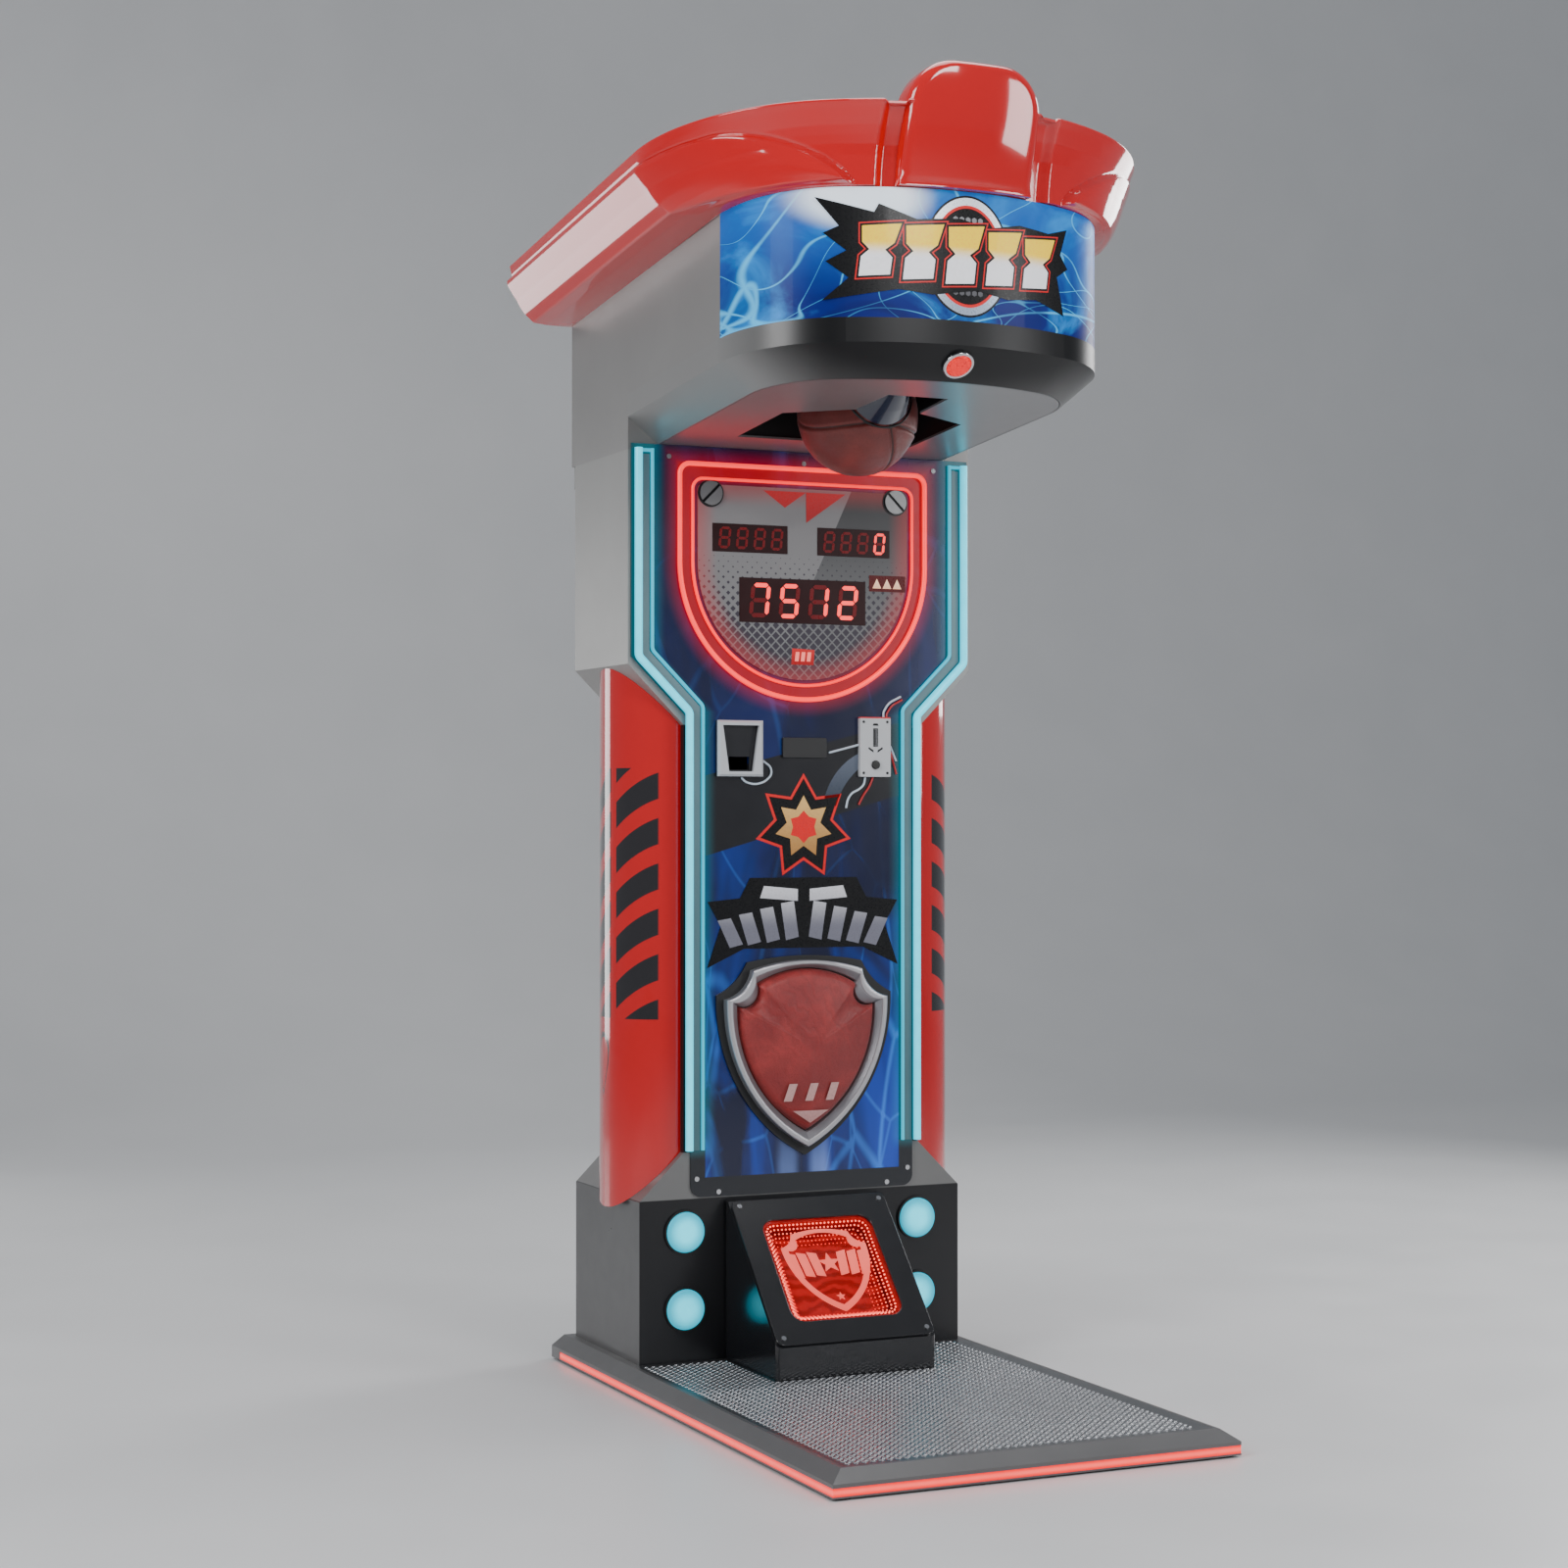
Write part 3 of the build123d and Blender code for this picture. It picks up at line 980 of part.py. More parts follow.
# ================================================================ beacon lamp on the front bevel
BEACON_RADIUS = 22
bevel_out = (FRONT - HEAD_REACH, under_z(FRONT - HEAD_REACH) + BEVEL_RISE)
bevel_in = (FRONT - HEAD_REACH + BEVEL_INSET, under_z(FRONT - HEAD_REACH + BEVEL_INSET))
bevel_length = ((bevel_in[0] - bevel_out[0]) ** 2 + (bevel_in[1] - bevel_out[1]) ** 2) ** 0.5
beacon_face = Plane(
    origin=(0, (bevel_out[0] + bevel_in[0]) / 2, (bevel_out[1] + bevel_in[1]) / 2), x_dir=(1, 0, 0),
    z_dir=(0, (bevel_in[1] - bevel_out[1]) / bevel_length,
           (bevel_out[0] - bevel_in[0]) / bevel_length)).offset(GAP)

with BuildPart() as beacon_bezel:
    with BuildSketch(beacon_face):
        Circle(BEACON_RADIUS + 5)
        Circle(BEACON_RADIUS + CLEAR, mode=Mode.SUBTRACT)
    extrude(amount=6)
    fillet(beacon_bezel.edges().sort_by(Axis.Z)[0:1], radius=2)
beacon_bezel.part.label = "beacon_bezel"
export_step(beacon_bezel.part, "parts/beacon_bezel.step")

with BuildPart() as beacon_lens:
    with BuildSketch(beacon_face):
        Circle(BEACON_RADIUS)
    extrude(amount=9)
    fillet(beacon_lens.edges().sort_by(Axis.Z)[0:1], radius=5)
beacon_lens.part.label = "beacon_lens"
export_step(beacon_lens.part, "parts/beacon_lens.step")

# ================================================================ swing arm and its frame
latched = radians(LATCHED_ANGLE)
along = (0, sin(latched), -cos(latched))
above = (0, cos(latched), sin(latched))
arm_plane = Plane(origin=(0, PIVOT_Y, PIVOT_Z), x_dir=along, z_dir=(1, 0, 0))
ball_centre = (0, PIVOT_Y + ARM_LENGTH * along[1], PIVOT_Z + ARM_LENGTH * along[2])
SPIGOT_END = 118
LATCH_ALONG = 45             # latch's place along the arm
LATCH_LEVEL = 56             # armature's face above the arm's centre line
LATCH_RADIUS = 22
MAGNET_HEIGHT = 35
SHAFT_HALF = 165


def on_arm(s, n):
    """Point at a distance along the latched arm and above its centre line."""
    return (0, PIVOT_Y + s * along[1] + n * above[1], PIVOT_Z + s * along[2] + n * above[2])


with BuildPart() as arm_frame:
    rail_inner = RAIL_X - RAIL_SIZE / 2
    for side in (-1, 1):
        rail_x = (side * RAIL_X - RAIL_SIZE / 2, side * RAIL_X + RAIL_SIZE / 2)
        block(rail_x, (PIVOT_Y - 45, HEAD_REAR - SHEET), (RAIL_Z, RAIL_Z + RAIL_SIZE))
        block((rail_x[0] + SHEET, rail_x[1] - SHEET), (PIVOT_Y - 46, HEAD_REAR),
              (RAIL_Z + SHEET, RAIL_Z + RAIL_SIZE - SHEET), mode=Mode.SUBTRACT)
    for bar_y in (PIVOT_Y + 12, FRONT - 52):
        block((-UPPER_HALF + SHEET, UPPER_HALF - SHEET), (bar_y - RAIL_SIZE / 2, bar_y + RAIL_SIZE / 2),
              (RAIL_Z + RAIL_SIZE, RAIL_Z + 2 * RAIL_SIZE))
    with BuildSketch(arm_plane):
        with Locations((LATCH_ALONG, LATCH_LEVEL + CLEAR + MAGNET_HEIGHT + 3)):
            Rectangle(2 * LATCH_RADIUS + 6, 6)
    extrude(amount=rail_inner, both=True)
arm_frame.part.label = "arm_frame"
export_step(arm_frame.part, "parts/arm_frame.step")

BEARING_HALF = 13
BEARING_X = RAIL_X - 5
with BuildPart() as bearing_blocks:
    for side in (-1, 1):
        block((side * BEARING_X - BEARING_HALF, side * BEARING_X + BEARING_HALF),
              (PIVOT_Y - 35, PIVOT_Y + 35), (PIVOT_Z - 30, RAIL_Z))
    with BuildSketch(Plane.YZ):
        with Locations((PIVOT_Y, PIVOT_Z)):
            Circle(SHAFT_RADIUS + RUNNING)
    extrude(amount=SHAFT_HALF, both=True, mode=Mode.SUBTRACT)
bearing_blocks.part.label = "bearing_blocks"
export_step(bearing_blocks.part, "parts/bearing_blocks.step")

DISC_RADIUS = 32
DISC_X = (BEARING_X + BEARING_HALF + 7, BEARING_X + BEARING_HALF + 9)
with BuildPart() as pivot_shaft:
    with BuildSketch(Plane.YZ):
        with Locations((PIVOT_Y, PIVOT_Z)):
            Circle(SHAFT_RADIUS)
    extrude(amount=SHAFT_HALF, both=True)
    with BuildSketch(Plane.YZ.offset(DISC_X[0])):
        with Locations((PIVOT_Y, PIVOT_Z)):
            Circle(DISC_RADIUS)
            with PolarLocations(DISC_RADIUS - 4, 24):
                Rectangle(4, 2, mode=Mode.SUBTRACT)
    extrude(amount=DISC_X[1] - DISC_X[0])
pivot_shaft.part.label = "pivot_shaft"
export_step(pivot_shaft.part, "parts/pivot_shaft.step")

with BuildPart() as optical_sensor:
    sensor_top = PIVOT_Z + DISC_RADIUS + 5
    block((DISC_X[0] - 4, DISC_X[1] + 3), (PIVOT_Y - 12, PIVOT_Y + 12), (PIVOT_Z + 19, RAIL_Z))
    block((DISC_X[0] - 1, DISC_X[1] + 1), (PIVOT_Y - 13, PIVOT_Y + 13), (PIVOT_Z + 18, sensor_top),
          mode=Mode.SUBTRACT)
optical_sensor.part.label = "optical_sensor"
export_step(optical_sensor.part, "parts/optical_sensor.step")

cup_along = ARM_LENGTH - (BALL_RADIUS ** 2 - CUP_RADIUS ** 2) ** 0.5
with BuildPart() as swing_arm:
    with BuildSketch(arm_plane):
        Polygon((12, 0), (12, 30), (PIVOT_RISE, NECK_RADIUS), (cup_along - 6, CUP_RADIUS - 3),
                (cup_along + 4, CUP_RADIUS), (cup_along + 4, 0), align=None)
    revolve(axis=Axis((0, PIVOT_Y, PIVOT_Z), along))
    with BuildSketch(Plane.YZ):
        with Locations((PIVOT_Y, PIVOT_Z)):
            Circle(HUB_RADIUS)
    extrude(amount=HUB_HALF, both=True)
    with Locations(ball_centre):
        Sphere(BALL_RADIUS + CLEAR, mode=Mode.SUBTRACT)
    with BuildSketch(Plane(origin=on_arm(PIVOT_RISE, 0), z_dir=along)):
        Circle(SPIGOT_RADIUS)
    extrude(amount=SPIGOT_END - PIVOT_RISE)
    with BuildSketch(arm_plane):
        with Locations((LATCH_ALONG, LATCH_LEVEL / 2 + HUB_RADIUS / 2)):
            Rectangle(2 * LATCH_RADIUS, LATCH_LEVEL - HUB_RADIUS)
    extrude(amount=LATCH_RADIUS, both=True)
    with BuildSketch(Plane.YZ):
        with Locations((PIVOT_Y, PIVOT_Z)):
            Circle(SHAFT_RADIUS + RUNNING)
    extrude(amount=SHAFT_HALF, both=True, mode=Mode.SUBTRACT)
swing_arm.part.label = "swing_arm"
export_step(swing_arm.part, "parts/swing_arm.step")

with BuildPart() as punch_ball:
    with Locations(ball_centre):
        Sphere(BALL_RADIUS)
    with BuildSketch(Plane(origin=on_arm(PIVOT_RISE, 0), z_dir=along)):
        Circle(SPIGOT_RADIUS + CLEAR)
    extrude(amount=SPIGOT_END + CLEAR - PIVOT_RISE, mode=Mode.SUBTRACT)
punch_ball.part.label = "punch_ball"
export_step(punch_ball.part, "parts/punch_ball.step")

with BuildPart() as latch_magnet:
    with BuildSketch(Plane(origin=on_arm(LATCH_ALONG, LATCH_LEVEL + CLEAR), z_dir=above)):
        Circle(LATCH_RADIUS)
    extrude(amount=MAGNET_HEIGHT)
latch_magnet.part.label = "latch_magnet"
export_step(latch_magnet.part, "parts/latch_magnet.step")

# ================================================================ rear door
door_y = (REAR + GAP, REAR + GAP + DOOR_DEPTH)
hinge_x = -DOOR_HALF - HINGE_OFFSET
hinge_y = REAR + GAP + HINGE_KNUCKLE_RADIUS + 4
KNUCKLE_HALF = 20
LEAF_HALF = 42
VENT_ROWS = 7

with BuildPart() as rear_door:
    block((-DOOR_HALF, DOOR_HALF), door_y, (DOOR_LOW, DOOR_HIGH))
    block((-DOOR_HALF + DOOR_SHEET, DOOR_HALF - DOOR_SHEET), (door_y[0] - 1, door_y[1] - DOOR_SHEET),
          (DOOR_LOW + DOOR_SHEET, DOOR_HIGH - DOOR_SHEET), mode=Mode.SUBTRACT)
    with BuildSketch(Plane.XZ.offset(-door_y[1] - 1)):
        with Locations((0, DOOR_HIGH - 120)):
            with GridLocations(0, 14, 1, VENT_ROWS):
                SlotOverall(120, 5)
        with Locations((DOOR_LOCK_X, DOOR_LOCK_Z)):
            Circle(DOOR_LOCK_RADIUS + RUNNING)
    extrude(amount=DOOR_SHEET + 2, mode=Mode.SUBTRACT)
    for level in HINGE_LEVELS:
        with BuildSketch(Plane((0, 0, level - KNUCKLE_HALF))):
            with Locations((hinge_x, hinge_y)):
                Circle(HINGE_KNUCKLE_RADIUS)
        extrude(amount=2 * KNUCKLE_HALF)
        block((hinge_x, -DOOR_HALF), (hinge_y - 1.5, hinge_y + 1.5),
              (level - KNUCKLE_HALF, level + KNUCKLE_HALF))
        with BuildSketch(Plane((0, 0, level - LEAF_HALF))):
            with Locations((hinge_x, hinge_y)):
                Circle(HINGE_PIN_RADIUS + RUNNING)
        extrude(amount=2 * LEAF_HALF, mode=Mode.SUBTRACT)
rear_door.part.label = "rear_door"
export_step(rear_door.part, "parts/rear_door.step")

with BuildPart() as door_hinges:
    for level in HINGE_LEVELS:
        for low, high in ((level - LEAF_HALF, level - KNUCKLE_HALF - GAP),
                          (level + KNUCKLE_HALF + GAP, level + LEAF_HALF)):
            with BuildSketch(Plane((0, 0, low))):
                with Locations((hinge_x, hinge_y)):
                    Circle(HINGE_KNUCKLE_RADIUS)
            extrude(amount=high - low)
            block((hinge_x - HINGE_KNUCKLE_RADIUS, hinge_x - HINGE_KNUCKLE_RADIUS + 3), (REAR, hinge_y),
                  (low, high))
        block((hinge_x - 26, hinge_x - HINGE_KNUCKLE_RADIUS + 3), (REAR, REAR + 3),
              (level - LEAF_HALF, level + LEAF_HALF))
        with BuildSketch(Plane((0, 0, level - LEAF_HALF))):
            with Locations((hinge_x, hinge_y)):
                Circle(HINGE_PIN_RADIUS)
        extrude(amount=2 * LEAF_HALF)
door_hinges.part.label = "door_hinges"
export_step(door_hinges.part, "parts/door_hinges.step")

CAM_LENGTH = 34
with BuildPart() as door_lock:
    lock_front = door_y[1] + 3
    cam_back = REAR - SHEET - GAP
    with BuildSketch(front_plane(lock_front)):
        with Locations((DOOR_LOCK_X, DOOR_LOCK_Z)):
            Circle(DOOR_LOCK_RADIUS)
    extrude(amount=lock_front - cam_back)
    with BuildSketch(front_plane(lock_front)):
        with Locations((DOOR_LOCK_X, DOOR_LOCK_Z)):
            Circle(DOOR_LOCK_RADIUS + 3)
    extrude(amount=2.5)
    with BuildSketch(front_plane(lock_front)):
        with Locations((DOOR_LOCK_X, DOOR_LOCK_Z)):
            Rectangle(1.6, 9)
    extrude(amount=4, mode=Mode.SUBTRACT)
    block((DOOR_LOCK_X - 7, DOOR_LOCK_X + 7), (cam_back - 3, cam_back),
          (DOOR_LOCK_Z - DOOR_LOCK_RADIUS, DOOR_LOCK_Z + CAM_LENGTH))
door_lock.part.label = "door_lock"
export_step(door_lock.part, "parts/door_lock.step")
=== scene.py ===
"""Boxing punch machine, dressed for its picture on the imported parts: platform first, crown last."""
import json
import math

import bmesh
import bpy
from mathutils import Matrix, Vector, noise


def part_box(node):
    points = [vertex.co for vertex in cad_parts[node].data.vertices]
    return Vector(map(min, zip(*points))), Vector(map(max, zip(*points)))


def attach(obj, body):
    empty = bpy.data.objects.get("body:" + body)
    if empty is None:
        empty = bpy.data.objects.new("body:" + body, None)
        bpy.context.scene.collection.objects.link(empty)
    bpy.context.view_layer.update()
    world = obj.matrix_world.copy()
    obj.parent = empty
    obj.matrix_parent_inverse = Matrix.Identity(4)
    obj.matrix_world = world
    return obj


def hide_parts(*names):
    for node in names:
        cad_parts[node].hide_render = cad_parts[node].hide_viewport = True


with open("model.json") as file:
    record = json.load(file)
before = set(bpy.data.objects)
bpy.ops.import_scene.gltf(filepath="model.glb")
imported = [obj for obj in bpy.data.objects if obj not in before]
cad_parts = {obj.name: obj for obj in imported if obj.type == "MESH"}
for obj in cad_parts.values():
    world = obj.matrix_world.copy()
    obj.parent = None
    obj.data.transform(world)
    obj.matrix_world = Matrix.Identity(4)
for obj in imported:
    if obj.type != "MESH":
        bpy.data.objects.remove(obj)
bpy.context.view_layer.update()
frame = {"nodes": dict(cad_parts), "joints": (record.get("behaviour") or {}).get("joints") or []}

# ---------------------------------------------------------------- platform
# Low steel tray that the player stands on: folded sheet with a bevelled edge, powder-coated satin
# grey. A salmon-red light strip is let into its edge, and rubber feet carry it. A sheet with small
# raised diamonds, pressed up from below, covers the top.


def node(tree, kind, inputs=None, **settings):
    """Adds a shader node; inputs maps a socket's name or number to a value or to another socket."""
    made = tree.nodes.new("ShaderNode" + kind)
    for name, value in settings.items():
        setattr(made, name, value)
    for key, value in (inputs or {}).items():
        if isinstance(value, bpy.types.NodeSocket):
            tree.links.new(value, made.inputs[key])
        else:
            made.inputs[key].default_value = value
    return made


def maths(tree, operation, *values, clamp=False):
    return node(tree, "Math", dict(enumerate(values)), operation=operation,
                use_clamp=clamp).outputs[0]


def plus(tree, first, second, clamp=False):
    return maths(tree, "ADD", first, second, clamp=clamp)


def minus(tree, first, second):
    return maths(tree, "SUBTRACT", first, second)


def times(tree, first, second):
    return maths(tree, "MULTIPLY", first, second)


def over(tree, first, second):
    return maths(tree, "DIVIDE", first, second)


def larger(tree, first, second):
    return maths(tree, "MAXIMUM", first, second)


def size_of(tree, value):
    return maths(tree, "ABSOLUTE", value)


def distance(tree, across, up):
    """Length of the line that goes so far across and so far up."""
    return maths(tree, "SQRT", plus(tree, times(tree, across, across), times(tree, up, up)))


def between(tree, value, low, high, to_low=0.0, to_high=1.0, smooth=True):
    """Turns a value from low to high into one from to_low to to_high, and holds it outside them."""
    inputs = {"Value": value, "From Min": low, "From Max": high, "To Min": to_low,
              "To Max": to_high}
    kind = "SMOOTHSTEP" if smooth else "LINEAR"
    return node(tree, "MapRange", inputs, interpolation_type=kind, clamp=True).outputs["Result"]


def blend(tree, factor, first, second, kind="MIX"):
    """Mixes two colours."""
    inputs = {0: factor, 6: first, 7: second}
    return node(tree, "Mix", inputs, data_type="RGBA", blend_type=kind).outputs[2]


def place_in_object(tree):
    """The place on the object, in metres: the whole vector and its three parts."""
    spot = node(tree, "TexCoord").outputs["Object"]
    parts = node(tree, "SeparateXYZ", {0: spot}).outputs
    return spot, parts["X"], parts["Y"], parts["Z"]


def noise_value(tree, spot, scale, detail, **more):
    """Soft random clouds; more may hold Roughness and Distortion."""
    inputs = {"Vector": spot, "Scale": scale, "Detail": detail, **more}
    return node(tree, "TexNoise", inputs).outputs["Fac"]


def sized(tree, vector, by):
    """A colour or place made larger or smaller."""
    return node(tree, "VectorMath", {0: vector, "Scale": by}, operation="SCALE").outputs[0]


def rgba(red, green, blue):
    return (red, green, blue, 1.0)


def build_coat_group():
    """Coat of paint or plastic: uneven colour, fine orange peel, smudges and pale scuffs."""
    tree = bpy.data.node_groups.new("worn_coat", "ShaderNodeTree")
    for name, kind, start in (("Colour", "NodeSocketColor", rgba(0.5, 0.5, 0.5)),
                              ("Roughness", "NodeSocketFloat", 0.4),
                              ("Grain Scale", "NodeSocketFloat", 400.0),
                              ("Mottle", "NodeSocketFloat", 0.12),
                              ("Smudge", "NodeSocketFloat", 0.12),
                              ("Scuff", "NodeSocketFloat", 0.3)):
        tree.interface.new_socket(name, in_out="INPUT", socket_type=kind).default_value = start
    for name, kind in (("Colour", "NodeSocketColor"), ("Roughness", "NodeSocketFloat"),
                       ("Height", "NodeSocketFloat")):
        tree.interface.new_socket(name, in_out="OUTPUT", socket_type=kind)
    source = tree.nodes.new("NodeGroupInput").outputs
    spot = node(tree, "TexCoord").outputs["Object"]
    clouds = noise_value(tree, spot, 5.0, 5.0)
    smears = noise_value(tree, spot, 23.0, 6.0, Distortion=0.6)
    grain = noise_value(tree, spot, source["Grain Scale"], 2.0)
    scratch = noise_value(tree, spot, 90.0, 8.0, Roughness=0.8)
    shade = times(tree, minus(tree, clouds, 0.5), source["Mottle"])
    bright = plus(tree, 1.0, times(tree, shade, 2.0))
    toned = sized(tree, source["Colour"], bright)
    worn = times(tree, between(tree, scratch, 0.66, 0.74), source["Scuff"])
    colour = blend(tree, worn, toned, sized(tree, toned, 1.6))
    rough = plus(tree, source["Roughness"],
                 times(tree, minus(tree, smears, 0.5), source["Smudge"]), clamp=True)
    height = plus(tree, grain, times(tree, worn, -0.15))
    inputs = {"Colour": colour, "Roughness": rough, "Height": height}
    end = tree.nodes.new("NodeGroupOutput")
    for name, socket in inputs.items():
        tree.links.new(socket, end.inputs[name])
    return tree


worn_coat = build_coat_group()


def start_material(name):
    material = bpy.data.materials.new(name)
    material.use_nodes = True
    material.node_tree.nodes.clear()
    return material, material.node_tree


def end_material(tree, inputs, height=None, depth=0.0004, strength=0.4):
    """Adds the shader, with a bump where a height is given."""
    if height is not None:
        bump = node(tree, "Bump", {"Height": height, "Strength": strength, "Distance": depth})
        inputs["Normal"] = bump.outputs["Normal"]
    shader = node(tree, "BsdfPrincipled", inputs)
    node(tree, "OutputMaterial", {"Surface": shader.outputs[0]})


def coated(name, colour, roughness, grain=400.0, mottle=0.12, smudge=0.12, scuff=0.3, strength=0.25,
           **plain):
    """Material of one coat; colour may be a function that makes a painted pattern's socket."""
    material, tree = start_material(name)
    coat = node(tree, "Group", node_tree=worn_coat)
    settings = {"Roughness": roughness, "Grain Scale": grain, "Mottle": mottle, "Smudge": smudge,
                "Scuff": scuff}
    for key, value in settings.items():
        coat.inputs[key].default_value = value
    if callable(colour):
        tree.links.new(colour(tree), coat.inputs["Colour"])
    else:
        coat.inputs["Colour"].default_value = rgba(*colour)
    inputs = {"Base Color": coat.outputs["Colour"], "Roughness": coat.outputs["Roughness"]}
    inputs.update({key.replace("_", " "): value for key, value in plain.items()})
    end_material(tree, inputs, coat.outputs["Height"], strength=strength)
    return material


def dress(material, *names):
    """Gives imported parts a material."""
    for name in names:
        part = frame["nodes"][name]
        if part.material_slots:
            for slot in part.material_slots:
                slot.material = material
        else:
            part.data.materials.append(material)


def glowing(name, edge, core, strength, mask):
    """Light behind a diffuser, also used for painted glow and painted reflection: mask makes the
    socket that leads from edge colour to core.
    """
    material, tree = start_material(name)
    spot = place_in_object(tree)[0]
    cloud = noise_value(tree, spot, 60.0, 3.0)
    light = blend(tree, mask(tree), rgba(*edge), rgba(*core))
    light = blend(tree, between(tree, cloud, 0.3, 0.8, 0.0, 0.18), light, rgba(*edge))
    end_material(tree, {"Base Color": light, "Emission Color": light, "Emission Strength": strength,
                        "Roughness": 0.25}, cloud, depth=0.0002)
    return material


deck_low, deck_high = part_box("deck_plate")
strip_low, strip_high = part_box("platform_light_strip")
edge_grey = coated("platform_powder_coat", (0.15, 0.148, 0.15), 0.36, mottle=0.12, scuff=0.08,
                   Metallic=0.45)
sheet_grey = coated("deck_sheet", (0.13, 0.135, 0.145), 0.3, grain=900, mottle=0.15, smudge=0.12,
                    scuff=0.1, Metallic=0.8)
tread_steel = coated("tread_steel", (0.52, 0.53, 0.55), 0.26, grain=900, mottle=0.2, smudge=0.1,
                     scuff=0.2, Metallic=0.85)


def across_strip(tree):
    height = place_in_object(tree)[3]
    middle = (strip_low.z + strip_high.z) / 2
    away = size_of(tree, minus(tree, height, middle))
    return between(tree, away, 0.0005, 0.0055, 1.0, 0.0)


strip_light = glowing("edge_strip_light", (0.80, 0.004, 0.004), (1.0, 0.085, 0.065), 1.45,
                      across_strip)
dress(edge_grey, "platform_frame")
dress(sheet_grey, "deck_plate")
dress(strip_light, "platform_light_strip")
dress(coated("foot_rubber", (0.025, 0.025, 0.026), 0.8, scuff=0.1), "platform_feet")

TREAD_PITCH = 0.0145
TREAD_LENGTH = 0.0050        # half length and half width of one raised diamond
TREAD_WIDTH = 0.0032
TREAD_RISE = 0.0015


def new_object(name, mesh, material, smooth=True):
    """Object of a finished bmesh, with its material."""
    data = bpy.data.meshes.new(name)
    mesh.to_mesh(data)
    mesh.free()
    data.materials.append(material)
    if smooth:
        data.shade_smooth()
    made = bpy.data.objects.new(name, data)
    bpy.context.collection.objects.link(made)
    return made


def new_piece(name, mesh, material, body="casing", smooth=True):
    """Such an object that rides on a body."""
    piece = new_object(name, mesh, material, smooth)
    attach(piece, body)
    return piece


def skin(mesh, rings, closed=False):
    """Joins rings of as many points each with bands of faces."""
    for ring, after in zip(rings, rings[1:] + rings[:1] if closed else rings[1:]):
        for corner in range(len(ring)):
            mesh.faces.new((ring[corner - 1], ring[corner], after[corner], after[corner - 1]))


def raised_diamond(mesh, x, y, z, turned):
    """Low rounded diamond, pressed up from the sheet."""
    long, short = (TREAD_LENGTH, TREAD_WIDTH) if turned else (TREAD_WIDTH, TREAD_LENGTH)
    rings = []
    for share, rise in ((1.0, 0.0), (0.72, 0.75), (0.38, 1.0)):
        corners = ((long, 0), (0, short), (-long, 0), (0, -short))
        rings.append([mesh.verts.new((x + share * dx, y + share * dy, z + rise * TREAD_RISE))
                      for dx, dy in corners])
    for outer, inner in zip(rings, rings[1:]):
        for side in range(4):
            mesh.faces.new((outer[side], outer[side - 3], inner[side - 3], inner[side]))
    mesh.faces.new(rings[-1])


cabinet_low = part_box("lower_cabinet")[0]
kick_low, kick_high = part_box("kick_housing")
TREAD_MARGIN = 0.013         # from the sheet's edge to the first diamond
TREAD_GAP = 0.006            # clear strip left round the cabinet and the kick box
treads = bmesh.new()
columns = int((deck_high.x - deck_low.x - 0.02) / TREAD_PITCH)
rows = int((deck_high.y - deck_low.y - 0.02) / TREAD_PITCH * 2)
for row in range(rows):
    for column in range(columns):
        x = deck_low.x + TREAD_MARGIN + TREAD_PITCH * (column + 0.5 * (row % 2))
        y = deck_low.y + TREAD_MARGIN + TREAD_PITCH / 2 * row
        under_box = abs(x) < kick_high.x + TREAD_GAP and y > kick_low.y - TREAD_GAP
        if not under_box and y < cabinet_low.y - TREAD_GAP:
            raised_diamond(treads, x, y, deck_high.z, row % 2 == 0)
new_piece("deck_treads", treads, tread_steel, smooth=False)

# ---------------------------------------------------------------- lower cabinet and lamps
# Black steel box that carries the column, with sloped grey shoulders that shine under the lights.
# Four round lamps with frosted lenses are pressed into its front.
SHOULDER_RISE = 0.292        # from the cabinet's foot to where its shoulders start
shoulder_z = cabinet_low.z + SHOULDER_RISE


def shoulder_colour(tree):
    height = place_in_object(tree)[3]
    return blend(tree, between(tree, height, shoulder_z + 0.0005, shoulder_z + 0.002),
                 rgba(0.010, 0.010, 0.012), rgba(0.20, 0.198, 0.195))


dress(coated("cabinet_black", shoulder_colour, 0.3, mottle=0.12, scuff=0.06, Metallic=0.2,
             Coat_Weight=0.2, Coat_Roughness=0.2), "lower_cabinet")
box_black = coated("kick_box_black", (0.010, 0.010, 0.012), 0.2, mottle=0.3, scuff=0.15,
                   Coat_Weight=0.5, Coat_Roughness=0.08)
trim_black = coated("black_moulding", (0.012, 0.012, 0.013), 0.42, grain=1500, scuff=0.2)
dress(box_black, "kick_housing", "kick_frame")
dress(trim_black, "lamp_bezels", "reader_cover", "power_inlet", "optical_sensor", "shield_border")

lamp_low, lamp_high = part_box("lamp_lenses")
LAMP_FACE = 0.0367           # radius of a lens
lamp_centres = [(x, z) for x in (lamp_low.x + LAMP_FACE, lamp_high.x - LAMP_FACE)
                for z in (lamp_low.z + LAMP_FACE, lamp_high.z - LAMP_FACE)]


def lamp_middle(tree):
    """Brightest at the middle of each of the four lamps."""
    across, height = place_in_object(tree)[1::2]
    side = minus(tree, size_of(tree, across), lamp_centres[-1][0])
    half_way = (lamp_centres[0][1] + lamp_centres[1][1]) / 2
    step = (lamp_centres[1][1] - lamp_centres[0][1]) / 2
    level = size_of(tree, minus(tree, height, half_way))
    level = minus(tree, level, step)
    return between(tree, distance(tree, side, level), 0.012, LAMP_FACE, 1.0, 0.0)


dress(glowing("lamp_light", (0.0, 0.30, 0.42), (0.06, 0.72, 0.90), 1.4, lamp_middle), "lamp_lenses")
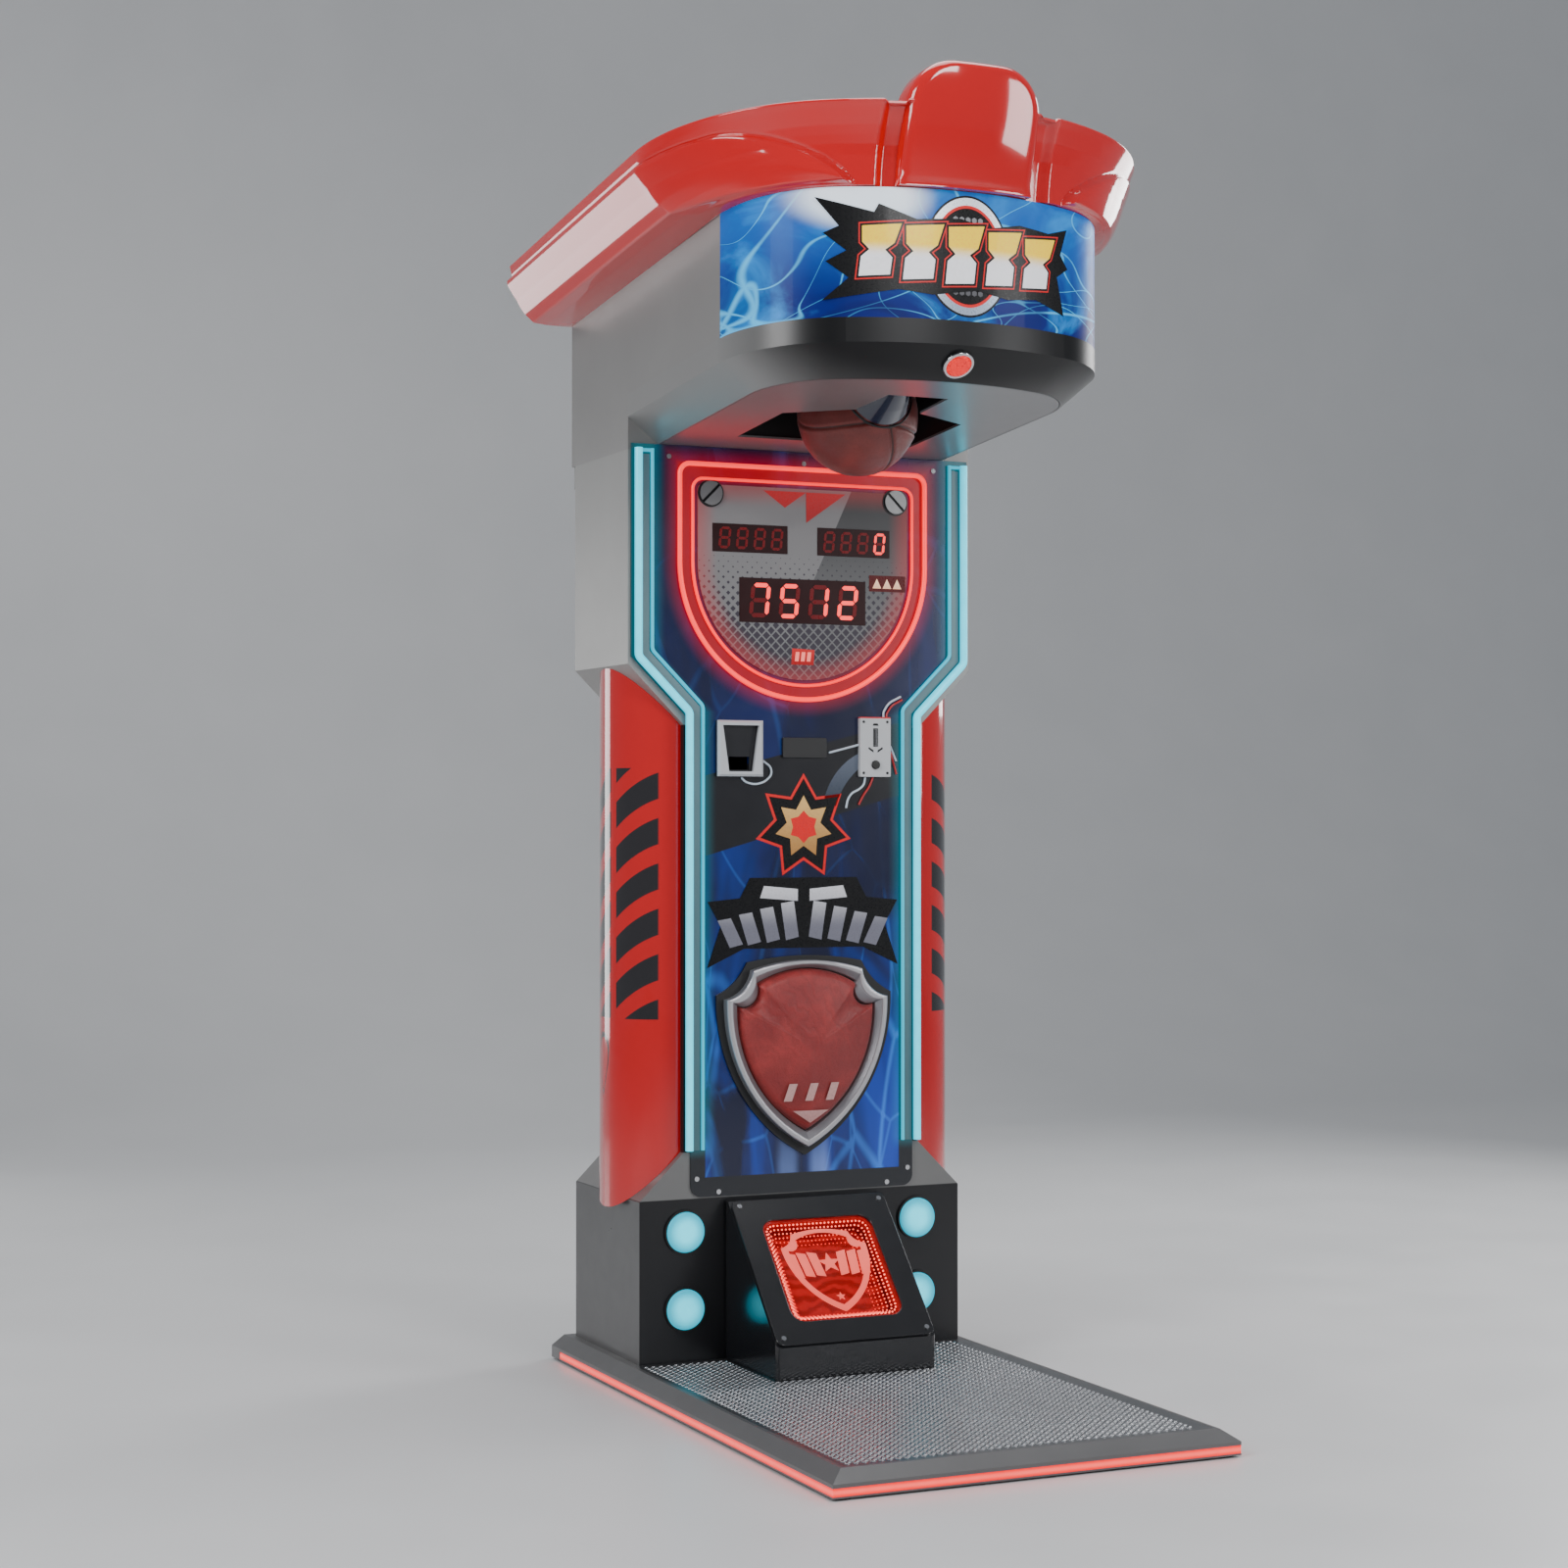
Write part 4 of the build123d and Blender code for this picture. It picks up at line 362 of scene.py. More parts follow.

# ---------------------------------------------------------------- kick box window
# Half-silvered glass over a mirror, with a row of small lights round the edge; the rows that seem to
# go on inward behind it are lit dots that stand in for its reflections in the mirrors, a painted
# reflection. A pale emblem, a shield with a star and bars, is printed on the back of the glass.
FACE_FOOT = 0.057            # height at which the box's face starts to slope back
FACE_LEDGE = 0.016           # level ledge left behind the slope's top
kick_lip = Vector((0, kick_low.y, kick_low.z + FACE_FOOT))
kick_brow = Vector((0, kick_high.y - FACE_LEDGE, kick_high.z))
slope_up = (kick_brow - kick_lip).normalized()
slope_out = Vector((0, -slope_up.z, slope_up.y))
window_centre = (kick_lip + kick_brow) / 2
WINDOW_HALF = 0.109
WINDOW_CORNER = 0.026


def on_slope(across, up, out):
    """Point of the sloped face: across, up the slope and out of it, from the window's middle."""
    return window_centre + Vector((across, 0, 0)) + slope_up * up + slope_out * out


def rounded_square(half, corner, pitch):
    """Points round a square with round corners, about a pitch apart."""
    points = []
    straight = 2 * (half - corner)
    for quarter in range(4):
        turn = quarter * math.pi / 2
        steps = max(1, round(straight / pitch))
        bends = max(1, round(corner * math.pi / 2 / pitch))
        run = [(half, -straight / 2 + straight * step / steps) for step in range(steps)]
        run += [(half - corner + corner * math.cos(step / bends * math.pi / 2),
                 half - corner + corner * math.sin(step / bends * math.pi / 2))
                for step in range(bends)]
        points += [(x * math.cos(turn) - y * math.sin(turn),
                    x * math.sin(turn) + y * math.cos(turn))
                   for x, y in run]
    return points


# Only the first row is the real lights: each row behind it is a painted reflection of it, smaller,
# further in and deeper.
LIGHT_ROWS = 6
LIGHT_PITCH = 0.0078
LIGHT_SIZE = 0.0018          # radius in the front row; it shrinks from row to row
LIGHT_SHRINK = 0.00014
ROW_DEPTH = 0.0062
ROW_INSET = 0.0050
FIRST_INSET = 0.0085
FIRST_DEPTH = 0.003
lights = bmesh.new()
for row in range(LIGHT_ROWS):
    half = WINDOW_HALF - FIRST_INSET - ROW_INSET * row
    corner = max(0.004, WINDOW_CORNER - 0.008 - ROW_INSET * row * 0.6)
    size = LIGHT_SIZE - LIGHT_SHRINK * row
    for across, up in rounded_square(half, corner, LIGHT_PITCH):
        dot = bmesh.ops.create_icosphere(lights, subdivisions=1, radius=size)
        place = on_slope(across, up, -FIRST_DEPTH - ROW_DEPTH * row)
        bmesh.ops.translate(lights, vec=place, verts=dot["verts"])


def along_line(tree, place, line):
    """How far a place lies along a direction."""
    inputs = {0: place, 1: line}
    return node(tree, "VectorMath", inputs, operation="DOT_PRODUCT").outputs["Value"]


def depth_in_box(tree):
    """Distance behind the glass, in metres."""
    out = along_line(tree, place_in_object(tree)[0], slope_out)
    return minus(tree, window_centre.dot(slope_out), out)


def near_glass(tree):
    return between(tree, depth_in_box(tree), 0.002, 0.036, 1.0, 0.0)


# Brighter near the glass, so the deeper rows of painted reflections grow dimmer.
row_light_and_reflections = glowing("small_red_lights_and_reflections", (0.62, 0.006, 0.006), (1.0, 0.16, 0.11), 3.6, near_glass)
new_piece("kick_lights_and_reflections", lights, row_light_and_reflections)
dress(glowing("light_ring", (0.10, 0.001, 0.002), (0.30, 0.006, 0.006), 0.5, near_glass),
      "kick_light_ring")


def painted_mirror_reflection(tree):
    """Painted reflection of the red lights: dim red arcs that fade across the mirror."""
    spot = place_in_object(tree)[0]
    waves = node(tree, "TexWave", {"Vector": spot, "Scale": 14.0, "Distortion": 9.0, "Detail": 3.0,
                                   "Detail Scale": 1.2}, wave_type="RINGS").outputs["Fac"]
    return between(tree, waves, 0.10, 0.95, 0.45, 1.0)


# The mirror gives off dim red light of its own: a painted reflection.
dress(glowing("red_mirror_painted_reflection", (0.07, 0.001, 0.002), (0.36, 0.008, 0.008), 0.55, painted_mirror_reflection),
      "kick_mirror")

glass, tree = start_material("half_silvered_glass")
spot = place_in_object(tree)[0]
film = noise_value(tree, spot, 35.0, 3.0)
end_material(tree, {"Base Color": rgba(1.0, 0.82, 0.80), "Transmission Weight": 1.0, "IOR": 1.08,
                    "Roughness": between(tree, film, 0.2, 0.8, 0.0, 0.03), "Coat Weight": 0.08,
                    "Coat Roughness": 0.02}, film, depth=0.00005, strength=0.1)
dress(glass, "kick_glass")


def flat_shape(mesh, points, put, out_from, out_to):
    """Closed plate with a given outline; put turns (across, up, out) into a place."""
    back = [mesh.verts.new(put(x, y, out_from)) for x, y in points]
    front = [mesh.verts.new(put(x, y, out_to)) for x, y in points]
    for near, far, near_next, far_next in zip(front, back, front[1:] + front[:1],
                                              back[1:] + back[:1]):
        mesh.faces.new((near, far, far_next, near_next))
    for ring in (front, back[::-1]):
        face = mesh.faces.new(ring)
        face.normal_update()
        bmesh.ops.triangulate(mesh, faces=[face], ngon_method="EAR_CLIP")


def flat_ring(mesh, outer, inner, put, out_from, out_to):
    """Closed plate between two outlines with as many points each."""
    rings = [[mesh.verts.new(put(x, y, out)) for x, y in points]
             for points, out in ((outer, out_from), (outer, out_to), (inner, out_to),
                                 (inner, out_from))]
    skin(mesh, rings, closed=True)


def arc_points(start, middle, end, steps):
    """Points of the circle through three points, without the last one."""
    (ax, ay), (bx, by), (cx, cy) = start, middle, end
    spread = 2 * (ax * (by - cy) + bx * (cy - ay) + cx * (ay - by))
    aa, bb, cc = ax * ax + ay * ay, bx * bx + by * by, cx * cx + cy * cy
    x = (aa * (by - cy) + bb * (cy - ay) + cc * (ay - by)) / spread
    y = (aa * (cx - bx) + bb * (ax - cx) + cc * (bx - ax)) / spread
    first, mid, last = (math.atan2(py - y, px - x) for px, py in (start, middle, end))
    turn = (last - first) % (2 * math.pi)
    if (mid - first) % (2 * math.pi) > turn:
        turn -= 2 * math.pi
    radius = math.hypot(ax - x, ay - y)
    return [(x + radius * math.cos(first + turn * step / steps),
             y + radius * math.sin(first + turn * step / steps))
            for step in range(steps)]


def shield_points(grow, steps=14):
    """Shield outline, up from its tip: bowed top, hollow shoulders, sides that run to a point."""
    top = (0.110 + 0.4 * grow, 0.325 + grow)
    notch = (0.128 + 0.9 * grow, 0.290 + grow)
    shoulder = (0.162 + grow, 0.273 + grow / 2)
    side = (0.126 + grow, 0.123)
    tip = (0.0, -1.15 * grow)
    points = arc_points((-top[0], top[1]), (0, 0.342 + 0.6 * grow), top, steps)
    points += arc_points(top, notch, shoulder, steps)
    points += arc_points(shoulder, side, tip, 2 * steps)
    points += arc_points(tip, (-side[0], side[1]), (-shoulder[0], shoulder[1]), 2 * steps)
    return points + arc_points((-shoulder[0], shoulder[1]), (-notch[0], notch[1]),
                               (-top[0], top[1]), steps)


def scaled(points, size, rise=0.0):
    return [(x * size, y * size + rise) for x, y in points]


def star_points(radius, inner=0.42, count=5, turn=math.pi / 2):
    """Star outline about the origin."""
    return [(radius * (1 if tip % 2 == 0 else inner) * math.cos(turn + tip * math.pi / count),
             radius * (1 if tip % 2 == 0 else inner) * math.sin(turn + tip * math.pi / count))
            for tip in range(2 * count)]


def ellipse(middle, half, tall, count=72, turn=0.0):
    return [(middle[0] + half * math.cos(turn + math.tau * step / count),
             middle[1] + tall * math.sin(turn + math.tau * step / count)) for step in range(count)]


emblem = bmesh.new()
EMBLEM_SIZE = 0.52           # against the big shield
EMBLEM_TIP = -0.092
EMBLEM_LINE = 0.024          # width of the outline, before it is scaled
outer, inner = [scaled(shield_points(grow), EMBLEM_SIZE, EMBLEM_TIP)
                for grow in (0, -EMBLEM_LINE)]
flat_ring(emblem, outer, inner, on_slope, -0.0009, -0.0004)
for side in (-1, 1):
    for step in range(3):
        reach = 0.028 + 0.021 * step
        bar = [(side * (reach - 0.008), 0.034), (side * (reach + 0.010), 0.038),
               (side * (reach + 0.004), -0.012), (side * (reach - 0.013), -0.016)]
        flat_shape(emblem, bar[::-side], on_slope, -0.0010, -0.0003)
flat_shape(emblem, scaled(star_points(0.022), 1.0, 0.012), on_slope, -0.0010, -0.0003)
flat_shape(emblem, scaled(star_points(0.009), 1.0, -0.060), on_slope, -0.0010, -0.0003)


def even_mask(tree):
    return between(tree, place_in_object(tree)[3], 0.1, 0.3)


# The emblem gives off its own pale pink light, a painted glow; the display's small badge marks use
# the same ink.
pink_print_painted_glow = glowing("pale_print_painted_glow", (0.95, 0.13, 0.10), (1.0, 0.20, 0.16), 0.85, even_mask)
new_piece("window_emblem", emblem, pink_print_painted_glow, smooth=False)

# ---------------------------------------------------------------- column and side panels
# Folded steel cabinet, satin grey above and black behind the light tubes.
# The bowed side panels are thick red gloss plastic, with a black graphic of slanted bars and a
# drop shape.
upper_low, upper_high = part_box("upper_cabinet")
KNEE_RISE = 0.773            # from the column's foot to where it widens under the head
knee_z = upper_low.z + KNEE_RISE


def cabinet_colour(tree):
    height = place_in_object(tree)[3]
    return blend(tree, between(tree, height, knee_z - 0.001, knee_z + 0.001),
                 rgba(0.012, 0.012, 0.014), rgba(0.30, 0.297, 0.29))


dress(coated("cabinet_grey", cabinet_colour, 0.38, grain=900, mottle=0.08, smudge=0.06, scuff=0.03,
             strength=0.12, Metallic=0.35), "upper_cabinet")
shell_grey = coated("head_grey", (0.26, 0.255, 0.25), 0.36, grain=900, mottle=0.08, smudge=0.06,
                    scuff=0.03, strength=0.12, Metallic=0.4)
dress(shell_grey, "head_shell", "head_roof", "rear_door")


def inside_band(tree, value, low, high, soft=0.0006):
    """One between two values, zero outside them."""
    return times(tree, between(tree, value, low - soft, low + soft),
                 between(tree, value, high - soft, high + soft, 1.0, 0.0))


BAR_PITCH = 0.082
BAR_SLANT = 0.9              # rise over run
GRAPHIC_LOW, GRAPHIC_HIGH = 0.66, 1.115
GRAPHIC_FRONT, GRAPHIC_REAR = 0.292, 0.452
SPLIT_FRONT, SPLIT_REAR = 0.352, 0.368
DROP_Y, DROP_Z = 0.40, 0.575


def panel_colour(tree):
    """Red, with black slanted bars down the panel and a hollow drop near its foot."""
    _, _, along, height = place_in_object(tree)
    slant = plus(tree, height, times(tree, along, BAR_SLANT))
    step = maths(tree, "FRACT", over(tree, slant, BAR_PITCH))
    bars = inside_band(tree, step, 0.12, 0.70, 0.01)
    split = inside_band(tree, along, SPLIT_FRONT, SPLIT_REAR)
    bars = times(tree, bars, minus(tree, 1.0, split))
    bars = times(tree, bars, inside_band(tree, height, GRAPHIC_LOW, GRAPHIC_HIGH))
    bars = times(tree, bars, inside_band(tree, along, GRAPHIC_FRONT, GRAPHIC_REAR))
    drop_y = minus(tree, along, DROP_Y)
    drop_z = minus(tree, height, DROP_Z)
    narrow = plus(tree, 0.5, times(tree, drop_z, 6.5))
    wide = over(tree, drop_y, larger(tree, narrow, 0.08))
    away = maths(tree, "SQRT", plus(tree, times(tree, wide, wide),
                                    times(tree, drop_z, times(tree, drop_z, 0.55))))
    ring = inside_band(tree, away, 0.036, 0.043)
    return blend(tree, larger(tree, bars, ring), rgba(0.62, 0.004, 0.006),
                 rgba(0.016, 0.014, 0.016))


red_gloss = coated("red_gloss_panel", panel_colour, 0.10, grain=60, mottle=0.1, smudge=0.06,
                   scuff=0.12, strength=0.05, Coat_Weight=1.0, Coat_Roughness=0.03)
dress(red_gloss, "side_panel_left", "side_panel_right")

# ---------------------------------------------------------------- front plate
# Sheet of clear-coated print over steel: navy with blue streaks of light, a black slanted band, two
# pale beams at the foot, and a black border, with a painted glow of the tubes' red and cyan light on
# it. Round-head screws hold it.
plate_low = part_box("front_plate")[0]
neon_low, neon_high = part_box("outer_neon")
tube_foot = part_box("inner_light_tubes")[0].z
NEON_HALF = neon_high.x - 0.0045
DISPLAY_Z = neon_low.z + 0.0045 + NEON_HALF
NEON_FLAT = 0.072            # half width of the neon less the height of its straight sides
TUBE_LOW, TUBE_HIGH = knee_z + 0.023, knee_z + 0.122     # where the outer tube leans outward
TUBE_NARROW, TUBE_WIDE = 0.230, 0.329
BEAM_ACROSS = 0.032          # from the middle to each pale beam
BAND_TOP, BAND_TOP_SLOPE = 1.152, 0.257                  # height at the middle, rise over run
BAND_FOOT, BAND_FOOT_SLOPE = 1.011, 0.285
foot_z = upper_low.z


def neon_reach(tree):
    """How far out a place is from the display's middle, counted in the neon's own shape."""
    _, across, _, height = place_in_object(tree)
    above = minus(tree, height, DISPLAY_Z)
    side = size_of(tree, across)
    square = larger(tree, side, plus(tree, above, NEON_FLAT))
    round_part = distance(tree, across, above)
    is_high = maths(tree, "GREATER_THAN", above, 0.0)
    return plus(tree, times(tree, square, is_high),
                times(tree, round_part, minus(tree, 1.0, is_high)))


def tube_offset(tree):
    """Distance across from the outer cyan tube's line, which steps in at the knee."""
    _, across, _, height = place_in_object(tree)
    line = between(tree, height, TUBE_LOW, TUBE_HIGH, TUBE_NARROW, TUBE_WIDE, smooth=False)
    return minus(tree, size_of(tree, across), line)


def stretched(tree, spot, scale, turn=0.0, shift=(0.0, 0.0, 0.0)):
    """The place turned about the front-to-back axis and scaled along each axis."""
    inputs = {"Vector": spot, "Rotation": (0.0, turn, 0.0), "Scale": scale, "Location": shift}
    return node(tree, "Mapping", inputs).outputs[0]


def light_lines(tree, spot, scale, thin, turn):
    """Thin crossing streaks: the edges between stretched cells, bent a little."""
    moved = stretched(tree, spot, (1.0, 0.0, 0.42), turn)
    bend = node(tree, "TexNoise", {"Vector": moved, "Scale": 4.0, "Detail": 1.0}).outputs["Color"]
    bend = sized(tree, bend, 0.16)
    bent = node(tree, "VectorMath", {0: moved, 1: bend}, operation="ADD").outputs[0]
    cells = node(tree, "TexVoronoi", {"Vector": bent, "Scale": scale}, feature="DISTANCE_TO_EDGE")
    return between(tree, cells.outputs["Distance"], 0.0, thin, 1.0, 0.0)


def front_colour(tree):
    spot, across, _, height = place_in_object(tree)
    wide = stretched(tree, spot, (1.0, 0.0, 0.35), 0.7)
    cloud = noise_value(tree, wide, 7.0, 3.0, Distortion=0.8)
    low_glow = between(tree, height, foot_z - 0.05, knee_z + 0.12, 1.0, 0.12)
    blue = blend(tree, times(tree, between(tree, cloud, 0.38, 0.72), low_glow),
                 rgba(0.002, 0.004, 0.024), rgba(0.006, 0.045, 0.36))
    lines = plus(tree, light_lines(tree, spot, 5.0, 0.035, 0.6),
                 times(tree, light_lines(tree, spot, 8.0, 0.02, -0.9), 0.6), clamp=True)
    lines = times(tree, lines, times(tree, low_glow, between(tree, cloud, 0.35, 0.65)))
    blue = blend(tree, times(tree, lines, 0.6), blue, rgba(0.03, 0.22, 0.80))
    middle = size_of(tree, minus(tree, size_of(tree, across), BEAM_ACROSS))
    beam = times(tree, between(tree, middle, 0.008, 0.028, 1.0, 0.0),
                 between(tree, height, foot_z - 0.045, foot_z + 0.06, 1.0, 0.0))
    beam = times(tree, beam, between(tree, cloud, 0.3, 0.6, 0.35, 1.0))
    blue = blend(tree, times(tree, beam, 0.7), blue, rgba(0.16, 0.26, 0.62))
    high_line = plus(tree, BAND_TOP, times(tree, across, BAND_TOP_SLOPE))
    low_line = plus(tree, BAND_FOOT, times(tree, across, BAND_FOOT_SLOPE))
    band = times(tree, between(tree, minus(tree, high_line, height), -0.0008, 0.0008),
                 between(tree, minus(tree, height, low_line), -0.0008, 0.0008))
    art = blend(tree, band, blue, rgba(0.008, 0.008, 0.010))
    border = larger(tree, between(tree, height, plate_low.z + 0.034, plate_low.z + 0.036, 1.0, 0.0),
                    between(tree, tube_offset(tree), -0.036, -0.033))
    art = blend(tree, border, art, rgba(0.006, 0.007, 0.010))
    # Painted glow: a band of dark red from the neon's light, under and just inside the tube.
    red = between(tree, size_of(tree, minus(tree, neon_reach(tree), NEON_HALF - 0.013)),
                  0.010, 0.022, 1.0, 0.0)
    return blend(tree, times(tree, red, 0.8), art, rgba(0.16, 0.004, 0.006))


def front_material():
    """Printed sheet under a clear coat, with a painted glow: the spill of light from the tubes, and
    the print's own colour, given off as light.
    """
    material, tree = start_material("printed_front")
    art = front_colour(tree)
    coat = node(tree, "Group", {"Colour": art, "Roughness": 0.22, "Grain Scale": 500.0,
                                "Mottle": 0.08, "Smudge": 0.1, "Scuff": 0.04},
                node_tree=worn_coat)
    # Painted glow of the red neon and the cyan tubes on the plate.
    red = between(tree, size_of(tree, minus(tree, neon_reach(tree), NEON_HALF - 0.010)),
                  0.004, 0.046, 1.0, 0.0)
    cyan = between(tree, size_of(tree, plus(tree, tube_offset(tree), 0.014)),
                   0.010, 0.044, 1.0, 0.0)
    cyan = times(tree, cyan,
                 between(tree, place_in_object(tree)[3], tube_foot - 0.02, tube_foot + 0.01))
    painted_tube_glow = blend(tree, 1.0, blend(tree, red, rgba(0.0, 0.0, 0.0), rgba(0.55, 0.0, 0.006)),
                  blend(tree, cyan, rgba(0.0, 0.0, 0.0), rgba(0.0, 0.22, 0.28)), kind="ADD")
    # The whole print also gives off its own colour as light: a painted glow.
    light = blend(tree, 1.0, painted_tube_glow, sized(tree, art, 0.9), kind="ADD")
    end_material(tree, {"Base Color": coat.outputs["Colour"],
                        "Roughness": coat.outputs["Roughness"],
                        "Emission Color": light, "Emission Strength": 0.5, "Coat Weight": 0.35,
                        "Coat Roughness": 0.06}, coat.outputs["Height"], strength=0.05)
    return material


dress(front_material(), "front_plate")
chrome = coated("bright_chrome", (0.62, 0.62, 0.64), 0.12, grain=300, mottle=0.05, smudge=0.1,
                scuff=0.3, strength=0.08, Metallic=1.0)
dress(chrome, "panel_screws", "beacon_bezel")
machined = coated("machined_steel", (0.45, 0.45, 0.46), 0.3, grain=1200, mottle=0.12, scuff=0.4,
                  Metallic=1.0)
dress(machined, "pivot_shaft", "bearing_blocks", "latch_magnet", "door_hinges", "door_lock",
      "arm_frame")
dress(coated("zinc_plate", (0.48, 0.47, 0.43), 0.4, grain=300, mottle=0.4, scuff=0.3, Metallic=0.9),
      "cash_box", "control_box", "coin_mechanism")
dress(coated("bay_black", (0.010, 0.010, 0.010), 0.5, grain=800), "ball_bay_shroud")



def on_front(y):
    """Placer for shapes drawn as seen from the front, at a depth y; out is towards the player."""
    return lambda across, height, out: Vector((across, y - out, height))


on_plate = on_front(plate_low.y)


def printed(name, colour, top=None, low=0.0, high=1.0, glow=0.25, roughness=0.3, metallic=0.0):
    """Printed or cut shape of one ink, shaded upward from colour to top."""
    material, tree = start_material(name)
    spot, _, _, height = place_in_object(tree)
    speck = noise_value(tree, spot, 260.0, 2.0)
    ink = blend(tree, between(tree, height, low, high), rgba(*colour), rgba(*(top or colour)))
    ink = blend(tree, between(tree, speck, 0.35, 0.75, 0.0, 0.12), ink, rgba(0.0, 0.0, 0.0))
    rough = between(tree, speck, 0.2, 0.8, roughness - 0.06, roughness + 0.06)
    # glow sets how strongly the ink gives off its own colour: the backlight on the sign, a painted
    # glow on the front plate, display and pad.
    inputs = {"Base Color": ink, "Emission Color": ink, "Emission Strength": glow,
              "Roughness": rough, "Metallic": metallic, "Coat Weight": 0.08,
              "Specular IOR Level": 0.25}
    end_material(tree, inputs, speck, depth=0.0001, strength=0.2)
    return material


ink_black = printed("ink_black", (0.006, 0.006, 0.007), glow=0.0)
ink_red = printed("ink_red", (0.55, 0.008, 0.010), (0.75, 0.02, 0.02), 0.7, 1.1)
ink_tan = printed("ink_gold", (0.42, 0.20, 0.06), (0.75, 0.46, 0.16), 0.95, 1.07)
ink_steel = printed("ink_steel", (0.16, 0.16, 0.20), (0.62, 0.62, 0.66), 0.82, 0.90)
ink_slate = printed("ink_slate", (0.03, 0.04, 0.06), (0.10, 0.12, 0.16), 1.03, 1.15)


def printed_piece(name, shapes, put, material, level):
    """Thin printed shapes, stacked in levels a fifth of a millimetre thick."""
    mesh = bmesh.new()
    for points in shapes:
        flat_shape(mesh, points, put, 0.0002 * level - 0.0001, 0.0002 * level + 0.0002)
    bmesh.ops.recalc_face_normals(mesh, faces=mesh.faces)
    piece = new_piece(name, mesh, material, smooth=False)
    return piece


def grown(points, reach):
    """Outline moved outward by a distance, corner by corner."""
    moved = []
    before, after = points[-1:] + points[:-1], points[1:] + points[:1]
    for (ax, ay), (bx, by), (cx, cy) in zip(before, points, after):
        first = Vector((bx - ax, by - ay)).normalized()
        second = Vector((cx - bx, cy - by)).normalized()
        lean = Vector((first.y + second.y, -first.x - second.x))
        size = max(0.35, lean.length_squared / 2)
        moved.append((bx + lean.x * reach / size, by + lean.y * reach / size))
    return moved


def mirrored(points):
    """Right half of an outline, from top to bottom, with its mirror image."""
    return [(-x, y) for x, y in points[::-1]] + points


STAR_Z = 1.008
badge_half = [(0.108, 0.915), (0.128, 0.878), (0.192, 0.872), (0.166, 0.828), (0.193, 0.752),
              (0.120, 0.786)]
badge = mirrored(badge_half)[::-1]
BLADE_WIDTH = 0.026
BLADE_FOOT = 0.806
star = [(x, y + STAR_Z) for x, y in star_points(0.070, 0.62, 7)][::-1]
printed_piece("star_red_edge", [grown(star, -0.015)], on_plate, ink_red, 1)
printed_piece("star_black", [grown(star, -0.010)], on_plate, ink_black, 2)
small_star = [(x, y + STAR_Z) for x, y in star_points(0.058, 0.60, 7)]
printed_piece("star_gold", [small_star], on_plate, ink_tan, 3)
hub = [(x, y + STAR_Z) for x, y in star_points(0.030, 0.72, 6)]
printed_piece("star_heart", [hub], on_plate, ink_red, 4)
printed_piece("badge_red_edge", [grown(badge, -0.006)], on_plate, ink_red, 4)
printed_piece("badge_black", [badge], on_plate, ink_black, 5)
blades = []
for side in (-1, 1):
    for step, (foot, head, tall) in enumerate(((0.010, 0.020, 0.062), (0.048, 0.062, 0.056),
                                               (0.086, 0.104, 0.050), (0.122, 0.146, 0.044))):
        base = BLADE_FOOT - 0.004 * step
        blade = [(side * foot, base), (side * (foot + BLADE_WIDTH), base - 0.006),
                 (side * (head + BLADE_WIDTH), base + tall),
                 (side * head, base + tall + 0.004)]
        blades.append(blade[::side])
printed_piece("badge_blades", blades, on_plate, ink_steel, 6)
chevrons = [[(side * 0.012, 0.872), (side * 0.088, 0.878), (side * 0.080, 0.900),
             (side * 0.012, 0.894)][::side]
            for side in (-1, 1)]
printed_piece("badge_chevrons", chevrons, on_plate, ink_steel, 6)
swoosh = arc_points((0.128, 1.150), (0.070, 1.112), (0.040, 1.050), 12)
swoosh += arc_points((0.066, 1.046), (0.088, 1.090), (0.122, 1.122), 12)
printed_piece("grey_swoosh", [swoosh], on_plate, ink_slate, 1)

# ---------------------------------------------------------------- cyan light tubes
# Bent acrylic tubes lit from their ends: a thick one outside and a thin one inside it, with a strip
# of grey sheet on the column between the two, given a painted cyan glow of the tubes' light.
TUBE_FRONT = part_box("outer_light_tubes")[0].y


def tube_core(tree):
    along = place_in_object(tree)[2]
    return between(tree, along, TUBE_FRONT + 0.001, TUBE_FRONT + 0.011, 1.0, 0.0)


cyan_light = glowing("cyan_light", (0.0, 0.26, 0.37), (0.045, 0.64, 0.82), 1.4, tube_core)
dress(cyan_light, "outer_light_tubes", "inner_light_tubes")


# Grey sheet painted cyan, a painted glow of the tubes' light, and lighter towards the top.
def channel_cyan_glow_colour(tree):
    height = place_in_object(tree)[3]
    return blend(tree, between(tree, height, upper_low.z, upper_high.z), rgba(0.10, 0.20, 0.22),
                 rgba(0.17, 0.26, 0.28))


dress(coated("channel_grey", channel_cyan_glow_colour, 0.45, grain=900, mottle=0.3, scuff=0.4),
      "light_channels")

# ---------------------------------------------------------------- red neon and display
# Two bent neon tubes in the shape of a tall D on its back frame the score display. Its plate is a
# grey print with a darker slanted part, two red triangles and a lattice of small diamonds, with a
# painted red glow of the neon near its edge, and three smoked windows show lit digits.


def neon_core(tree):
    along = place_in_object(tree)[2]
    return between(tree, along, neon_low.y + 0.0005, neon_low.y + 0.0065, 1.0, 0.0)


red_light = glowing("red_neon", (0.85, 0.0, 0.004), (1.0, 0.030, 0.028), 1.7, neon_core)
dress(red_light, "outer_neon", "inner_neon")

LATTICE_PITCH = 0.0190
SLANT_Z, SLANT = 1.44, 0.46  # where the dark part's edge crosses the middle; its run over rise


